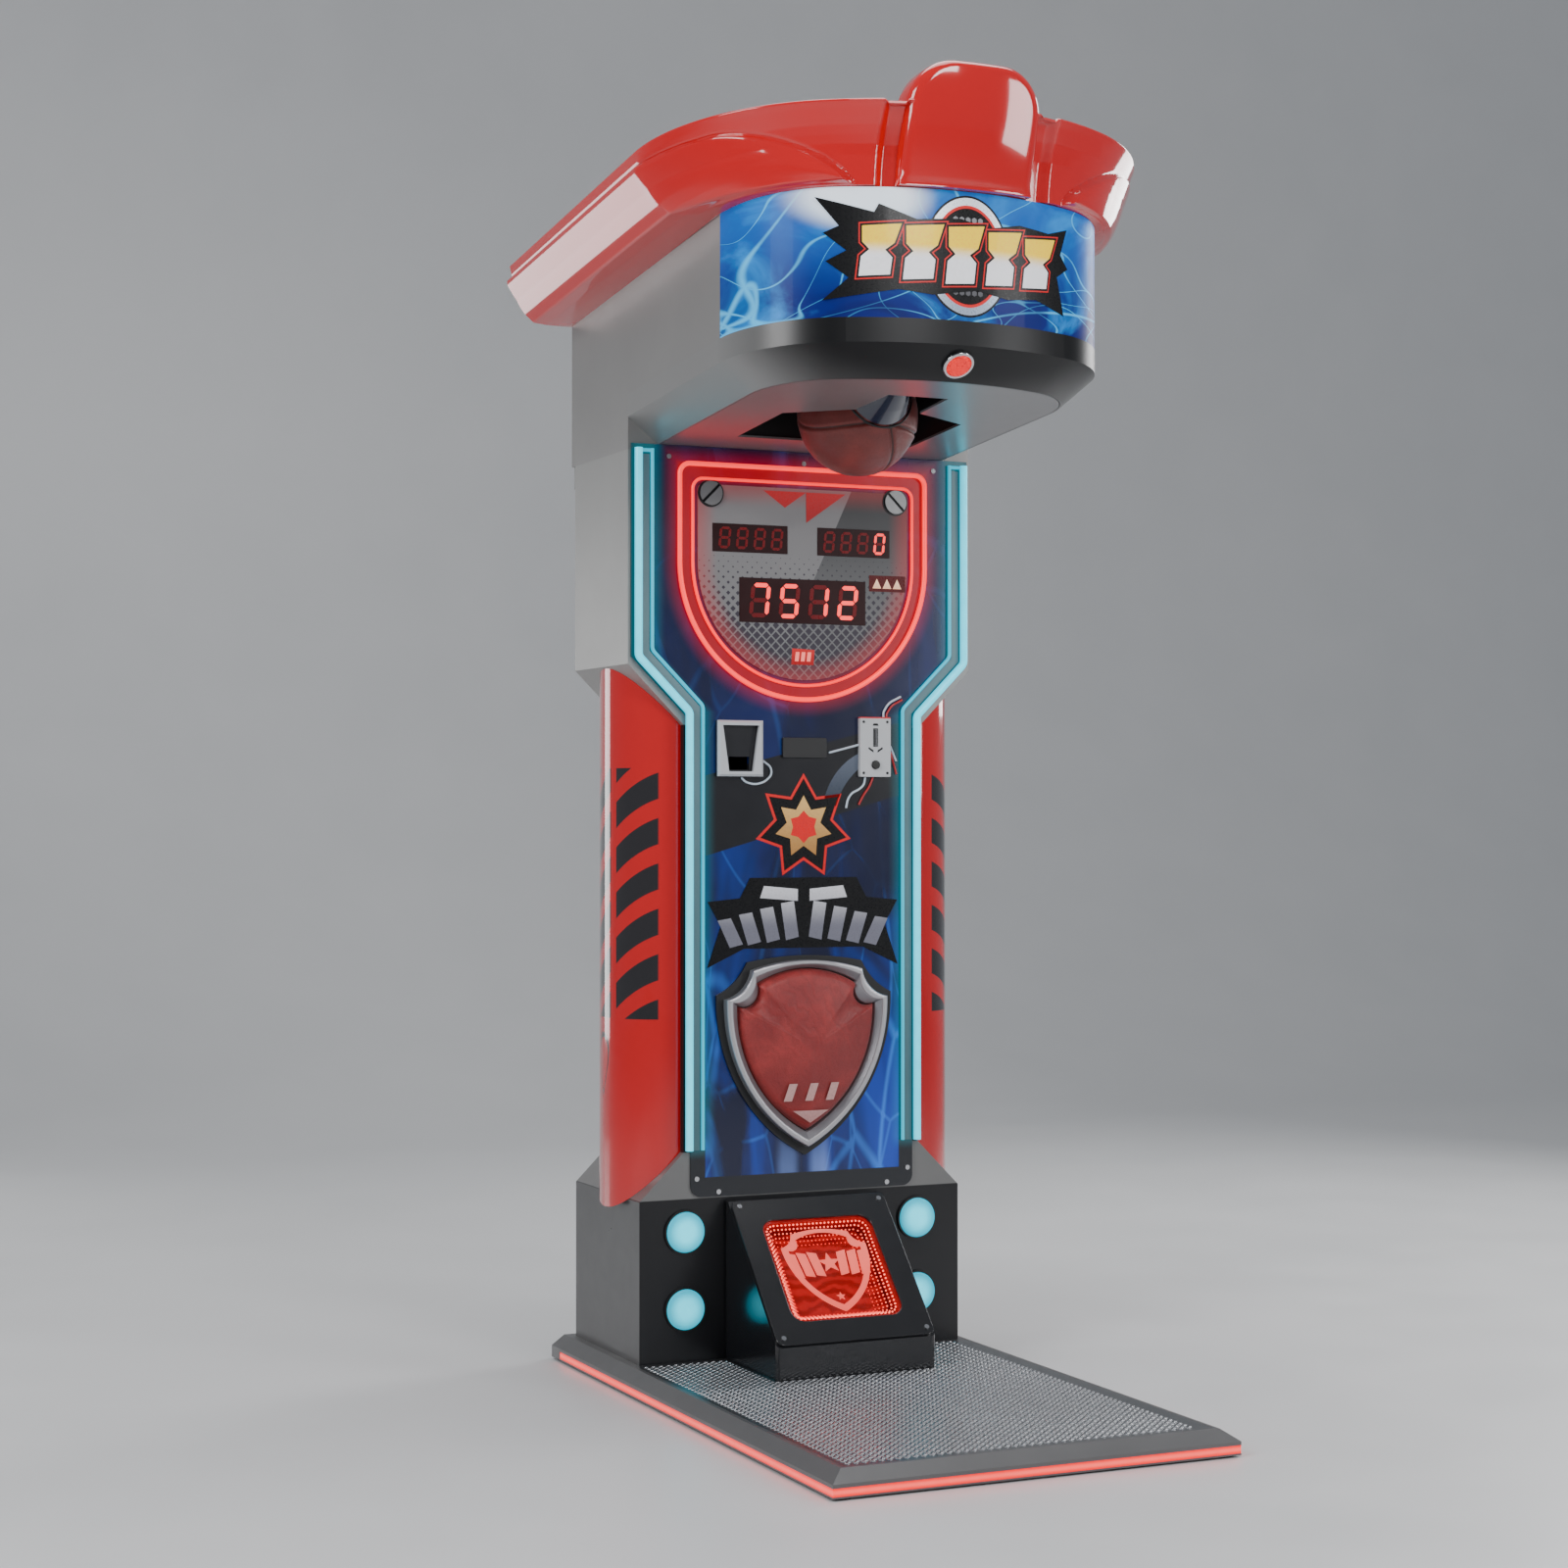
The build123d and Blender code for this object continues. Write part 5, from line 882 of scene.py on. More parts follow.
def display_colour(tree):
    _, across, _, height = place_in_object(tree)
    slant = minus(tree, across, times(tree, minus(tree, height, SLANT_Z), SLANT))
    shade = between(tree, slant, 0.0085, 0.0095)
    fade = between(tree, height, 1.33, 1.64)
    light = blend(tree, fade, rgba(0.17, 0.17, 0.175), rgba(0.25, 0.24, 0.245))
    dark = blend(tree, fade, rgba(0.14, 0.14, 0.145), rgba(0.035, 0.035, 0.038))
    grey = blend(tree, shade, light, dark)
    lines = [over(tree, way(tree, across, height), LATTICE_PITCH) for way in (plus, minus)]
    apart = larger(tree, *[size_of(tree, minus(tree, maths(tree, "FRACT", line), 0.5))
                           for line in lines])
    room = between(tree, height, DISPLAY_Z - 0.13, DISPLAY_Z + 0.012, 0.40, 0.05, smooth=False)
    hole = between(tree, minus(tree, room, apart), -0.012, 0.012)
    hole = times(tree, hole, between(tree, height, DISPLAY_Z + 0.014, DISPLAY_Z + 0.016, 1.0, 0.0))
    grey = blend(tree, hole, grey, rgba(0.022, 0.014, 0.03))
    # Painted glow: red light of the neon on the plate, near the tube.
    glow = between(tree, neon_reach(tree), 0.170, 0.214, 0.0, 0.45)
    return blend(tree, glow, grey, rgba(0.62, 0.03, 0.035))


dress(coated("display_print", display_colour, 0.38, grain=600, mottle=0.06, scuff=0.04,
             strength=0.05, Coat_Weight=0.12, Coat_Roughness=0.08), "display_plate")
dress(coated("smoked_window", (0.022, 0.001, 0.002), 0.3, grain=200, scuff=0.04, strength=0.03,
             Specular_IOR_Level=0.25), "display_left", "display_right", "display_main")
on_display = on_front(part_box("display_plate")[0].y)
on_window = on_front(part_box("display_main")[0].y)
clear_red = printed("ink_clear_red", (0.40, 0.02, 0.024), (0.62, 0.03, 0.035), 1.56, 1.64, glow=0.2)
triangle_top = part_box("display_plate")[1].z - 0.006
printed_piece("triangle_small", [[(-0.082, triangle_top), (0.004, triangle_top),
                                  (-0.039, triangle_top - 0.030)]],
              on_display, clear_red, 1)
triangle_large = [(0.004, triangle_top), (0.084, triangle_top), (0.004, triangle_top - 0.056)]
printed_piece("triangle_large", [triangle_large], on_display, clear_red, 2)
printed_piece("small_badge_plate", [[(-0.026, 1.306), (0.019, 1.306), (0.021, 1.334),
                                     (-0.024, 1.336)]],
              on_display,
              printed("badge_red", (0.30, 0.006, 0.008), (0.5, 0.02, 0.02), 1.30, 1.34, glow=0.6),
              1)
badge_marks = [[(x, 1.3125), (x + 0.0075, 1.3125), (x + 0.0095, 1.3295), (x + 0.002, 1.3295)]
               for x in (-0.019, -0.007, 0.005)]
printed_piece("small_badge_marks", badge_marks, on_display, pink_print_painted_glow, 2)
printed_piece("peak_label_plate", [[(0.133, 1.446), (0.208, 1.446), (0.208, 1.476),
                                    (0.133, 1.476)]],
              on_display, printed("label_maroon", (0.09, 0.005, 0.006), glow=0.2), 1)
arrows = [[(x, 1.452), (x + 0.018, 1.452), (x + 0.009, 1.470)] for x in (0.140, 0.161, 0.182)]
printed_piece("peak_label_marks", arrows, on_display,
              printed("label_cream", (0.85, 0.45, 0.28), (0.95, 0.62, 0.42), 1.45, 1.47, glow=0.7),
              2)

SEGMENTS = {"0": "abcdef", "1": "bc", "2": "abged", "5": "afgcd", "7": "abc", " ": ""}
DIGIT_LEAN = 0.10
PLACES_WIDE = 4.3            # width of a window, in pitches of its digits
FIRST_PLACE = 0.30
DIGIT_WIDTH = 0.66           # against the pitch
SEGMENT_THICK = 0.125        # against the digit's height


def segment_shape(letter, left, low, wide, tall, thick):
    """Outline of one bar of a seven-segment digit."""
    half = thick / 2
    gap = thick * 0.16
    level = {"a": tall, "g": tall / 2, "d": 0.0}
    if letter in level:
        y = level[letter] + {"a": -half, "g": 0.0, "d": half}[letter]
        x0, x1 = half + gap, wide - half - gap
        points = [(x0, y), (x0 + half, y - half), (x1 - half, y - half), (x1, y),
                  (x1 - half, y + half), (x0 + half, y + half)]
    else:
        x = half if letter in "ef" else wide - half
        y0 = (half if letter in "ec" else tall / 2) + gap
        y1 = (tall / 2 if letter in "ec" else tall - half) - gap
        points = [(x, y0), (x + half, y0 + half), (x + half, y1 - half), (x, y1),
                  (x - half, y1 - half), (x - half, y0 + half)]
    return [(left + x + y * DIGIT_LEAN, low + y) for x, y in points]


def number_shapes(window, text, share=0.78):
    """Bars lit for the text and bars left dark, for four places that fill a window."""
    low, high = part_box(window)
    pitch = (high.x - low.x) / PLACES_WIDE
    tall = (high.z - low.z) * share
    base = low.z + ((high.z - low.z) - tall) / 2
    lit, dark = [], []
    for place, letter in enumerate(text):
        left = low.x + pitch * (place + FIRST_PLACE)
        for bar in "abcdefg":
            shape = segment_shape(bar, left, base, pitch * DIGIT_WIDTH, tall,
                                  tall * SEGMENT_THICK)
            (lit if bar in SEGMENTS[letter] else dark).append(shape)
    return lit, dark


lit_red = glowing("lit_segment", (1.0, 0.012, 0.012), (1.0, 0.050, 0.042), 1.8, even_mask)
dark_red = printed("dark_segment", (0.10, 0.003, 0.005), (0.13, 0.004, 0.006), 1.3, 1.6, glow=0.5)
for window, text in (("left", "    "), ("right", "   0"), ("main", "7512")):
    lit, dark = number_shapes("display_" + window, text)
    if lit:
        printed_piece(window + "_lit_segments", lit, on_window, lit_red, 1)
    printed_piece(window + "_dark_segments", dark, on_window, dark_red, 1)

lock_low, lock_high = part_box("turn_lock_left")
LOCK_RADIUS = (lock_high.x - lock_low.x) / 2
WASHER_OUTER, WASHER_INNER = LOCK_RADIUS + 0.0034, LOCK_RADIUS + 0.0004


def lock_colour(tree):
    """Steel face; the slot's floor and the side of the head are dark."""
    along = place_in_object(tree)[2]
    return blend(tree, between(tree, along, lock_low.y + 0.0004, lock_low.y + 0.0010),
                 rgba(0.24, 0.24, 0.245), rgba(0.008, 0.008, 0.009))


dress(coated("fastener_steel", lock_colour, 0.3, grain=1500, mottle=0.1, scuff=0.3, Metallic=0.6),
      "turn_lock_left", "turn_lock_right")
for side in ("left", "right"):
    low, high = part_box("turn_lock_" + side)
    middle = ((low.x + high.x) / 2, (low.z + high.z) / 2)
    ring = bmesh.new()
    circles = [ellipse(middle, radius, radius, 64) for radius in (WASHER_OUTER, WASHER_INNER)]
    flat_ring(ring, *circles, on_display, -0.0001, 0.0012)
    bmesh.ops.recalc_face_normals(ring, faces=ring.faces)
    new_piece("lock_washer_" + side, ring, trim_black, smooth=False)

# ---------------------------------------------------------------- coin and note panel
# White moulded plates held by small screws, with black print and a red top edge; the note bezel
# narrows to a dark funnel. Thin white and red leads are taped to the front beside them.
coin_low, coin_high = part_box("coin_plate")
note_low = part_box("note_bezel")[0]


def coin_colour(tree):
    height = place_in_object(tree)[3]
    return blend(tree, between(tree, height, coin_high.z - 0.0028, coin_high.z - 0.0022),
                 rgba(0.56, 0.57, 0.59), rgba(0.70, 0.01, 0.012))


def note_colour(tree):
    along = place_in_object(tree)[2]
    return blend(tree, between(tree, along, note_low.y + 0.0035, note_low.y + 0.0105),
                 rgba(0.58, 0.60, 0.63), rgba(0.015, 0.015, 0.018))


dress(coated("coin_plate_white", coin_colour, 0.32, grain=900, mottle=0.1, scuff=0.5), "coin_plate")
dress(coated("note_bezel_white", note_colour, 0.22, grain=900, mottle=0.08, scuff=0.2,
             Coat_Weight=0.4),
      "note_bezel")
dress(coated("button_black", (0.012, 0.012, 0.012), 0.35, grain=900), "coin_button")
dress(coated("white_lead", (0.62, 0.72, 0.82), 0.3, grain=900, scuff=0.05, Coat_Weight=0.5),
      "white_leads")
dress(coated("red_lead", (0.50, 0.008, 0.010), 0.3, grain=900, scuff=0.05, Coat_Weight=0.5),
      "red_leads")

COIN_MIDDLE = (coin_low.x + coin_high.x) / 2
screws = bmesh.new()
for x in (coin_low.x + 0.007, coin_high.x - 0.007):
    for z in (coin_low.z + 0.007, coin_high.z - 0.009):
        rings = []
        for radius, rise in ((0.0026, 0.0), (0.0024, 0.0007), (0.0016, 0.0012), (0.0008, 0.0007)):
            circle = ellipse((x, z), radius, radius, 12)
            rings.append([screws.verts.new((px, coin_low.y - rise, pz)) for px, pz in circle])
        skin(screws, rings)
        screws.faces.new(rings[-1])
new_piece("coin_plate_screws", screws, trim_black)
on_coin = on_front(coin_low.y)
arrow_half = ((0.0042, 0.0), (0.0150, 0.007), (0.0138, 0.010), (0.0042, 0.004))
marks = [[(COIN_MIDDLE + side * x, coin_low.z + 0.045 + y) for x, y in arrow_half][::side]
         for side in (-1, 1)]
marks += [[(COIN_MIDDLE + x, coin_high.z - y)
           for x, y in ((-0.006, 0.016), (0.006, 0.016), (0.004, 0.012), (-0.004, 0.012))]]


def slot_outline(half, foot, top):
    """Upright rectangle round the coin slot, counted from the plate's foot."""
    return [(COIN_MIDDLE + side * half, coin_low.z + z)
            for side, z in ((1, foot), (1, top), (-1, top), (-1, foot))]


printed_piece("coin_plate_marks", marks, on_coin, ink_black, 1)
rim = bmesh.new()
flat_ring(rim, slot_outline(0.0046, 0.056, 0.090), slot_outline(0.0022, 0.0575, 0.0885),
          on_coin, 0.0, 0.0008)
bmesh.ops.recalc_face_normals(rim, faces=rim.faces)
new_piece("coin_slot_rim", rim, trim_black, smooth=False)

# ---------------------------------------------------------------- shield
# Cast aluminium frame with a bevelled inner slope, screwed to a black border, round a leather pad.
# The pad is stuffed foam under soft red leather that wrinkles from its top edge, with pale print.
shield_low, shield_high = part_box("shield_frame")
tip_z = shield_low.z
frame_profile = [(0.0, 0.000), (0.0, 0.0150), (-0.0015, 0.0172), (-0.0035, 0.0180),
                 (-0.0095, 0.0180), (-0.0105, 0.0176), (-0.0112, 0.0160), (-0.0122, 0.0160),
                 (-0.0226, 0.0085), (-0.0236, 0.0060), (-0.0240, 0.0)]
cast = bmesh.new()
rings = [[cast.verts.new((x, shield_high.y - out, tip_z + z)) for x, z in shield_points(grow, 22)]
         for grow, out in frame_profile]
skin(cast, rings, closed=True)
bmesh.ops.recalc_face_normals(cast, faces=cast.faces)


def cast_colour(tree):
    """Light face, darker inner slope."""
    along = place_in_object(tree)[2]
    return blend(tree, between(tree, along, shield_low.y + 0.0012, shield_low.y + 0.0022),
                 rgba(0.50, 0.49, 0.51), rgba(0.30, 0.29, 0.31))


cast_metal = coated("cast_aluminium", cast_colour, 0.34, grain=1100, mottle=0.1, smudge=0.1,
                    scuff=0.25, Metallic=0.55)
shield_ring = new_piece("shield_cast_frame", cast, cast_metal)
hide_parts("shield_frame")


def keep_creases(piece, angle=40.0):
    """Smooth shading that stays sharp over folds."""
    for polygon in piece.data.polygons:
        polygon.use_smooth = True
    piece.data.set_sharp_from_angle(angle=math.radians(angle))


keep_creases(shield_ring, 28)


def leather(name, colour, dark, scale, seam=None, wrinkle=None, rough=0.42):
    """Grained hide: small cells with soft creases, painted shade that darkens the folds, paler where
    rubbed.
    """
    material, tree = start_material(name)
    spot = place_in_object(tree)[0]
    cells = node(tree, "TexVoronoi", {"Vector": spot, "Scale": scale, "Randomness": 0.9},
                 feature="DISTANCE_TO_EDGE")
    pebble = between(tree, cells.outputs["Distance"], 0.0, 0.25)
    wide = noise_value(tree, spot, 14.0, 6.0, Distortion=0.4)
    rubbed = between(tree, wide, 0.40, 0.75)
    hide = blend(tree, rubbed, rgba(*dark), rgba(*colour))
    hide = blend(tree, between(tree, pebble, 0.0, 0.6, 0.35, 0.0), hide,
                 rgba(*[part * 0.35 for part in dark]))
    height_value = plus(tree, times(tree, pebble, 0.5), times(tree, wide, 0.5))
    if wrinkle:
        folds = wrinkle(tree)
        height_value = plus(tree, height_value, folds)
        # Painted shade in the troughs of the folds.
        hide = blend(tree, between(tree, folds, 0.0, 0.8, 0.25, 0.0), hide,
                     rgba(*[part * 0.5 for part in dark]))
    if seam:
        line = seam(tree)
        hide = blend(tree, line, hide, rgba(0.02, 0.006, 0.005))
    inputs = {"Base Color": hide,
              "Roughness": between(tree, wide, 0.3, 0.7, rough - 0.08, rough + 0.08),
              "Sheen Weight": 0.12, "Coat Weight": 0.18, "Coat Roughness": 0.3}
    end_material(tree, inputs, height_value, depth=0.0012, strength=0.5)
    return material


def pad_folds(tree):
    """Fine wavy wrinkles that run down and outward from the pad's top."""
    spot, _, _, height = place_in_object(tree)
    inputs = {"Vector": stretched(tree, spot, (1.0, 0.0, 0.8)), "Scale": 22.0,
              "Distortion": 14.0, "Detail": 4.0, "Detail Scale": 1.6}
    waves = node(tree, "TexWave", inputs, wave_type="BANDS",
                 bands_direction="DIAGONAL").outputs["Fac"]
    strong = between(tree, height, tip_z + 0.08, tip_z + 0.30, 0.25, 1.0)
    return times(tree, waves, strong)


PAD_RINGS = 44
PAD_CROWN = 0.018
PAD_ROLL = 0.017             # height of the rolled edge
PAD_FOLD = 0.0012
pad_edge = shield_points(-0.0262, 26)
pad_middle = (0.0, 0.185)
pad_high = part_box("shield_pad")[1]


def pad_depth(share, x, z):
    """Front of the stuffed pad: rolled edge, crowned middle and shallow wrinkles."""
    roll = math.sqrt(max(0.0, 1.0 - max(0.0, (share - 0.90) / 0.10) ** 2))
    crown = PAD_CROWN * (1.0 - share ** 2)
    fold = noise.noise(Vector((x * 22 + 0.8 * z, 0.3, z * 9)))
    fold += 0.5 * noise.noise(Vector((x * 60, 7.1, z * 34)))
    pull = min(1.0, (z + 0.05) / 0.30)
    return pad_high.y - (PAD_ROLL * roll + crown + PAD_FOLD * fold * pull * (1.0 - share ** 6))


pad = bmesh.new()
rings = []
for ring in range(PAD_RINGS):
    share = 1.0 - (ring / PAD_RINGS) ** 1.35
    row = []
    for x, z in pad_edge:
        px = pad_middle[0] + (x - pad_middle[0]) * share
        pz = pad_middle[1] + (z - pad_middle[1]) * share
        row.append(pad.verts.new((px, pad_depth(share, px, pz), tip_z + pz)))
    rings.append(row)
back = [pad.verts.new((x, pad_high.y - 0.0005, tip_z + z)) for x, z in pad_edge]
middle = pad.verts.new((0.0, pad_depth(0.0, 0.0, pad_middle[1]), tip_z + pad_middle[1]))
skin(pad, [back] + rings)
for corner in range(len(pad_edge)):
    pad.faces.new((rings[-1][corner - 1], rings[-1][corner], middle))
pad.faces.new(back)
bmesh.ops.recalc_face_normals(pad, faces=pad.faces)
pad_leather = leather("red_pad_leather", (0.48, 0.040, 0.036), (0.30, 0.016, 0.016), 420,
                      wrinkle=pad_folds)
shield_cushion = new_piece("shield_cushion", pad, pad_leather)
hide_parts("shield_pad")


def on_pad(across, height, out):
    """Place on the pad's front for a print, lifted a little."""
    share = math.hypot(across, height - tip_z - pad_middle[1]) / 0.17
    depth = pad_depth(min(share, 0.88), across, height - tip_z)
    return Vector((across, depth - 0.0004 - out, height))


def print_on_pad(name, points, material):
    """Print cut into small cells so that it follows the pad's crown."""
    mesh = bmesh.new()
    low_x, high_x = min(x for x, z in points), max(x for x, z in points)
    low_z, high_z = min(z for x, z in points), max(z for x, z in points)
    flat_shape(mesh, points, lambda x, z, out: Vector((x, -out, z)), 0.0, 0.0004)
    for steps, low, high, axis in ((14, low_x, high_x, (1, 0, 0)), (14, low_z, high_z, (0, 0, 1))):
        for step in range(1, steps):
            place = Vector(axis) * (low + (high - low) * step / steps)
            geometry = mesh.verts[:] + mesh.edges[:] + mesh.faces[:]
            bmesh.ops.bisect_plane(mesh, geom=geometry, plane_co=place, plane_no=axis,
                                   dist=1e-6)
    for vertex in mesh.verts:
        vertex.co = on_pad(vertex.co.x, vertex.co.z, -vertex.co.y)
    bmesh.ops.recalc_face_normals(mesh, faces=mesh.faces)
    new_piece(name, mesh, material, smooth=False)


pale_ink = printed("pad_print", (0.50, 0.26, 0.25), (0.62, 0.36, 0.34), 0.45, 0.52, glow=0.05,
                   roughness=0.45)
pad_arrow = [(-0.036, tip_z + 0.068), (0.0, tip_z + 0.045), (0.036, tip_z + 0.068)]
print_on_pad("pad_arrow", pad_arrow, pale_ink)
for step, x in enumerate((-0.042, 0.0, 0.042)):
    mark = [(x - 0.013, tip_z + 0.086), (x + 0.003, tip_z + 0.086), (x + 0.013, tip_z + 0.118),
            (x - 0.003, tip_z + 0.118)]
    print_on_pad(f"pad_mark_{step}", mark, pale_ink)

# ---------------------------------------------------------------- head casing
# Folded steel shell with a black trim that wraps the front and fades to bare grey at its sides.
# The flat underside has a slot where the ball and its arm swing.
sign_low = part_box("head_sign")[0]


def trim_colour(tree):
    along = place_in_object(tree)[2]
    return blend(tree, between(tree, along, -0.330, -0.170),
                 rgba(0.009, 0.009, 0.010), rgba(0.26, 0.258, 0.255))


dress(coated("head_trim_coat", trim_colour, 0.34, grain=900, mottle=0.05, smudge=0.05,
             scuff=0.0, strength=0.1, Metallic=0.4), "head_trim")
dress(coated("underside_grey", (0.32, 0.32, 0.325), 0.30, grain=900, mottle=0.06, smudge=0.05,
             scuff=0.0, strength=0.1, Metallic=0.6), "head_underside")

# ---------------------------------------------------------------- sign
# Printed acrylic, lit from behind, bowed round the head's front: blue swirls of light, a spiky
# black badge with white and yellow bars outlined in red, and a chrome roundel behind it.
SIGN_RADIUS = 0.660
SIGN_CENTRE_Y = sign_low.y + SIGN_RADIUS
SIGN_Z = 1.945


def sign_colour(tree):
    spot, across, _, height = place_in_object(tree)
    flat = stretched(tree, spot, (1.0, 0.6, 1.6))
    cloud = noise_value(tree, flat, 5.0, 6.0, Distortion=1.2)
    rise = between(tree, height, 1.85, 2.02)
    blue = blend(tree, rise, rgba(0.002, 0.009, 0.13), rgba(0.006, 0.095, 0.40))
    blue = blend(tree, between(tree, cloud, 0.48, 0.74), blue, rgba(0.012, 0.24, 0.66))
    blue = blend(tree, between(tree, cloud, 0.30, 0.46, 0.85, 0.0), blue, rgba(0.002, 0.006, 0.09))
    streaks = None
    for scale, turn, thin in ((1.7, 0.5, 0.012), (2.3, -0.6, 0.010), (2.9, 0.2, 0.007),
                              (3.7, -0.3, 0.006)):
        turned = stretched(tree, spot, (1.0, 1.0, 1.9), turn, (turn, 0.3, 0.1))
        swirl = noise_value(tree, turned, scale, 0.0, Distortion=1.1)
        away = size_of(tree, minus(tree, swirl, 0.5))
        line = between(tree, away, 0.0, thin, 1.0, 0.0)
        streaks = line if streaks is None else larger(tree, streaks, line)
    streaks = times(tree, streaks, between(tree, cloud, 0.28, 0.62, 0.2, 1.0))
    blue = blend(tree, times(tree, streaks, 0.75), blue, rgba(0.08, 0.55, 0.95))
    side = over(tree, plus(tree, across, 0.175), 0.115)
    level = over(tree, minus(tree, height, 2.035), 0.062)
    glare = between(tree, distance(tree, side, level), 0.55, 1.15, 1.0, 0.0)
    return blend(tree, glare, blue, rgba(0.80, 0.90, 1.0))


material, tree = start_material("sign_print")
art = sign_colour(tree)
coat = node(tree, "Group", {"Colour": art, "Roughness": 0.42, "Grain Scale": 500.0, "Mottle": 0.05,
                            "Smudge": 0.08, "Scuff": 0.03}, node_tree=worn_coat)
end_material(tree, {"Base Color": coat.outputs["Colour"], "Roughness": coat.outputs["Roughness"],
                    "Emission Color": art, "Emission Strength": 0.5, "Coat Weight": 0.05,
                    "Specular IOR Level": 0.15}, coat.outputs["Height"], strength=0.05)
dress(material, "head_sign")


def on_sign(arc, height, out):
    """Place on the bowed sign: arc along it from the middle, height, and out from it."""
    turn = arc / SIGN_RADIUS
    reach = SIGN_RADIUS + out
    return Vector((reach * math.sin(turn), SIGN_CENTRE_Y - reach * math.cos(turn), height))


STRIP_WIDTH = 0.0085


def sign_piece(name, shapes, material, level, holes=None):
    """Print on the sign: cut in narrow strips so that it follows the bow."""
    mesh = bmesh.new()
    straight = on_front(0.0)
    depths = (0.00025 * level, 0.00025 * level + 0.0003)
    for order, points in enumerate(shapes):
        if holes:
            flat_ring(mesh, points, holes[order], straight, *depths)
        else:
            flat_shape(mesh, points, straight, *depths)
    for step in range(-32, 33):
        geometry = mesh.verts[:] + mesh.edges[:] + mesh.faces[:]
        bmesh.ops.bisect_plane(mesh, geom=geometry, plane_co=(STRIP_WIDTH * step, 0, 0),
                               plane_no=(1, 0, 0), dist=1e-6)
    for vertex in mesh.verts:
        vertex.co = on_sign(vertex.co.x, vertex.co.z, -vertex.co.y)
    bmesh.ops.recalc_face_normals(mesh, faces=mesh.faces)
    new_piece(name, mesh, material, smooth=False)


roundel = (0.004, SIGN_Z)
sign_chrome = printed("sign_chrome", (0.30, 0.36, 0.46), (0.80, 0.84, 0.90), 1.85, 2.04, glow=0.35,
                      metallic=0.5)
ROUNDEL_LEVEL = 0.4
rounds = [ellipse(roundel, half, tall)
          for half, tall in ((0.080, 0.1000), (0.0765, 0.0965), (0.0655, 0.0840), (0.0615, 0.0790))]
ring_inks = (("roundel_black_rim", ink_black), ("roundel_chrome", sign_chrome),
             ("roundel_red", ink_red))
for (name, ink), outer, inner in zip(ring_inks, rounds, rounds[1:]):
    sign_piece(name, [outer], ink, ROUNDEL_LEVEL, [inner])
sign_piece("roundel_disc", [rounds[-1]], ink_black, ROUNDEL_LEVEL)
CELL_PITCH, CELL_ROW, CELL_SIZE = 0.0115, 0.0100, 0.0050
MESH_HALF, MESH_TALL = 0.054, 0.070
BADGE_TALL = 0.040           # the badge hides the cells nearer the middle than this
cells = []
for row in range(-7, 8):
    for column in range(-5, 6):
        x = roundel[0] + CELL_PITCH * (column + 0.5 * (row % 2))
        z = roundel[1] + CELL_ROW * row
        inside = ((x - roundel[0]) / MESH_HALF) ** 2 + ((z - roundel[1]) / MESH_TALL) ** 2 < 1
        if inside and abs(z - roundel[1]) > BADGE_TALL:
            cells.append(ellipse((x, z), CELL_SIZE, CELL_SIZE, 6, math.pi / 6))
mesh_grey = printed("mesh_grey", (0.10, 0.10, 0.11), (0.30, 0.30, 0.32), 1.85, 2.03, glow=0.15)
sign_piece("roundel_cells", cells, mesh_grey, 2)

spikes = [(-0.258, 2.030), (-0.160, 2.008), (-0.152, 2.022), (-0.088, 2.000), (-0.010, 2.006),
          (0.040, 1.994), (0.105, 2.006), (0.168, 2.000), (0.212, 2.012), (0.196, 1.968),
          (0.214, 1.946), (0.188, 1.930), (0.204, 1.866), (0.140, 1.886), (0.080, 1.880),
          (0.020, 1.890), (-0.060, 1.878), (-0.120, 1.884), (-0.246, 1.862), (-0.202, 1.900),
          (-0.240, 1.926), (-0.206, 1.944), (-0.244, 1.972), (-0.218, 1.984)]
sign_piece("sign_badge_black", [spikes[::-1]], ink_black, 4)
bars = []
lean, notch = 0.010, 0.012
middle = SIGN_Z + 0.002
for step in range(5):
    left = -0.186 + 0.074 * step
    tall = 0.050 - 0.003 * abs(step - 2)
    bars.append([(left, middle - tall), (left + 0.052, middle - tall + 0.004),
                 (left + 0.056, middle - notch), (left + 0.044, middle),
                 (left + 0.060, middle + notch), (left + 0.062 + lean, middle + tall),
                 (left + lean - 0.004, middle + tall - 0.006), (left + 0.006, middle + notch),
                 (left + 0.018, middle), (left + 0.004, middle - notch)])
sign_piece("sign_bars_red_edge", [grown(bar, 0.0058) for bar in bars], ink_red, 6)
sign_piece("sign_bars_black_edge", [grown(bar, 0.0036) for bar in bars], ink_black, 7)
fade_ink = printed("yellow_to_white", (0.80, 0.80, 0.84), (0.95, 0.62, 0.02), 1.936, 1.962,
                   glow=0.55)
sign_piece("sign_bars", bars, fade_ink, 8)

# ---------------------------------------------------------------- crown
# Vacuum-formed red plastic with a deep gloss: a flared hood with a rolled rim, a swollen wing
# along each side that ends in a rounded step at the front, two upright recesses, and a tall lobe
# in the middle.
crown_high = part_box("crown")[1]
CABINET_FRONT = upper_low.y
ROOF_SLOPE = 0.107
RIM_SLOPE = 0.12
ROOF_RISE = 0.297            # from the column's top to the head's roof, and from there to the rim
RIM_RISE = 0.116
ROOF_Z = upper_high.z + ROOF_RISE
RIM_Z = ROOF_Z + RIM_RISE
WALL = 0.008
LOBE_HALF = 0.122
RECESS_END = 0.163
FRONT_STEPS, CORNER_STEPS, SIDE_STEPS, REAR_STEPS = 90, 70, 60, 24


def roof_height(y):
    return ROOF_Z + ROOF_SLOPE * (CABINET_FRONT - y)


def rim_height(y):
    return RIM_Z + RIM_SLOPE * (CABINET_FRONT - y)


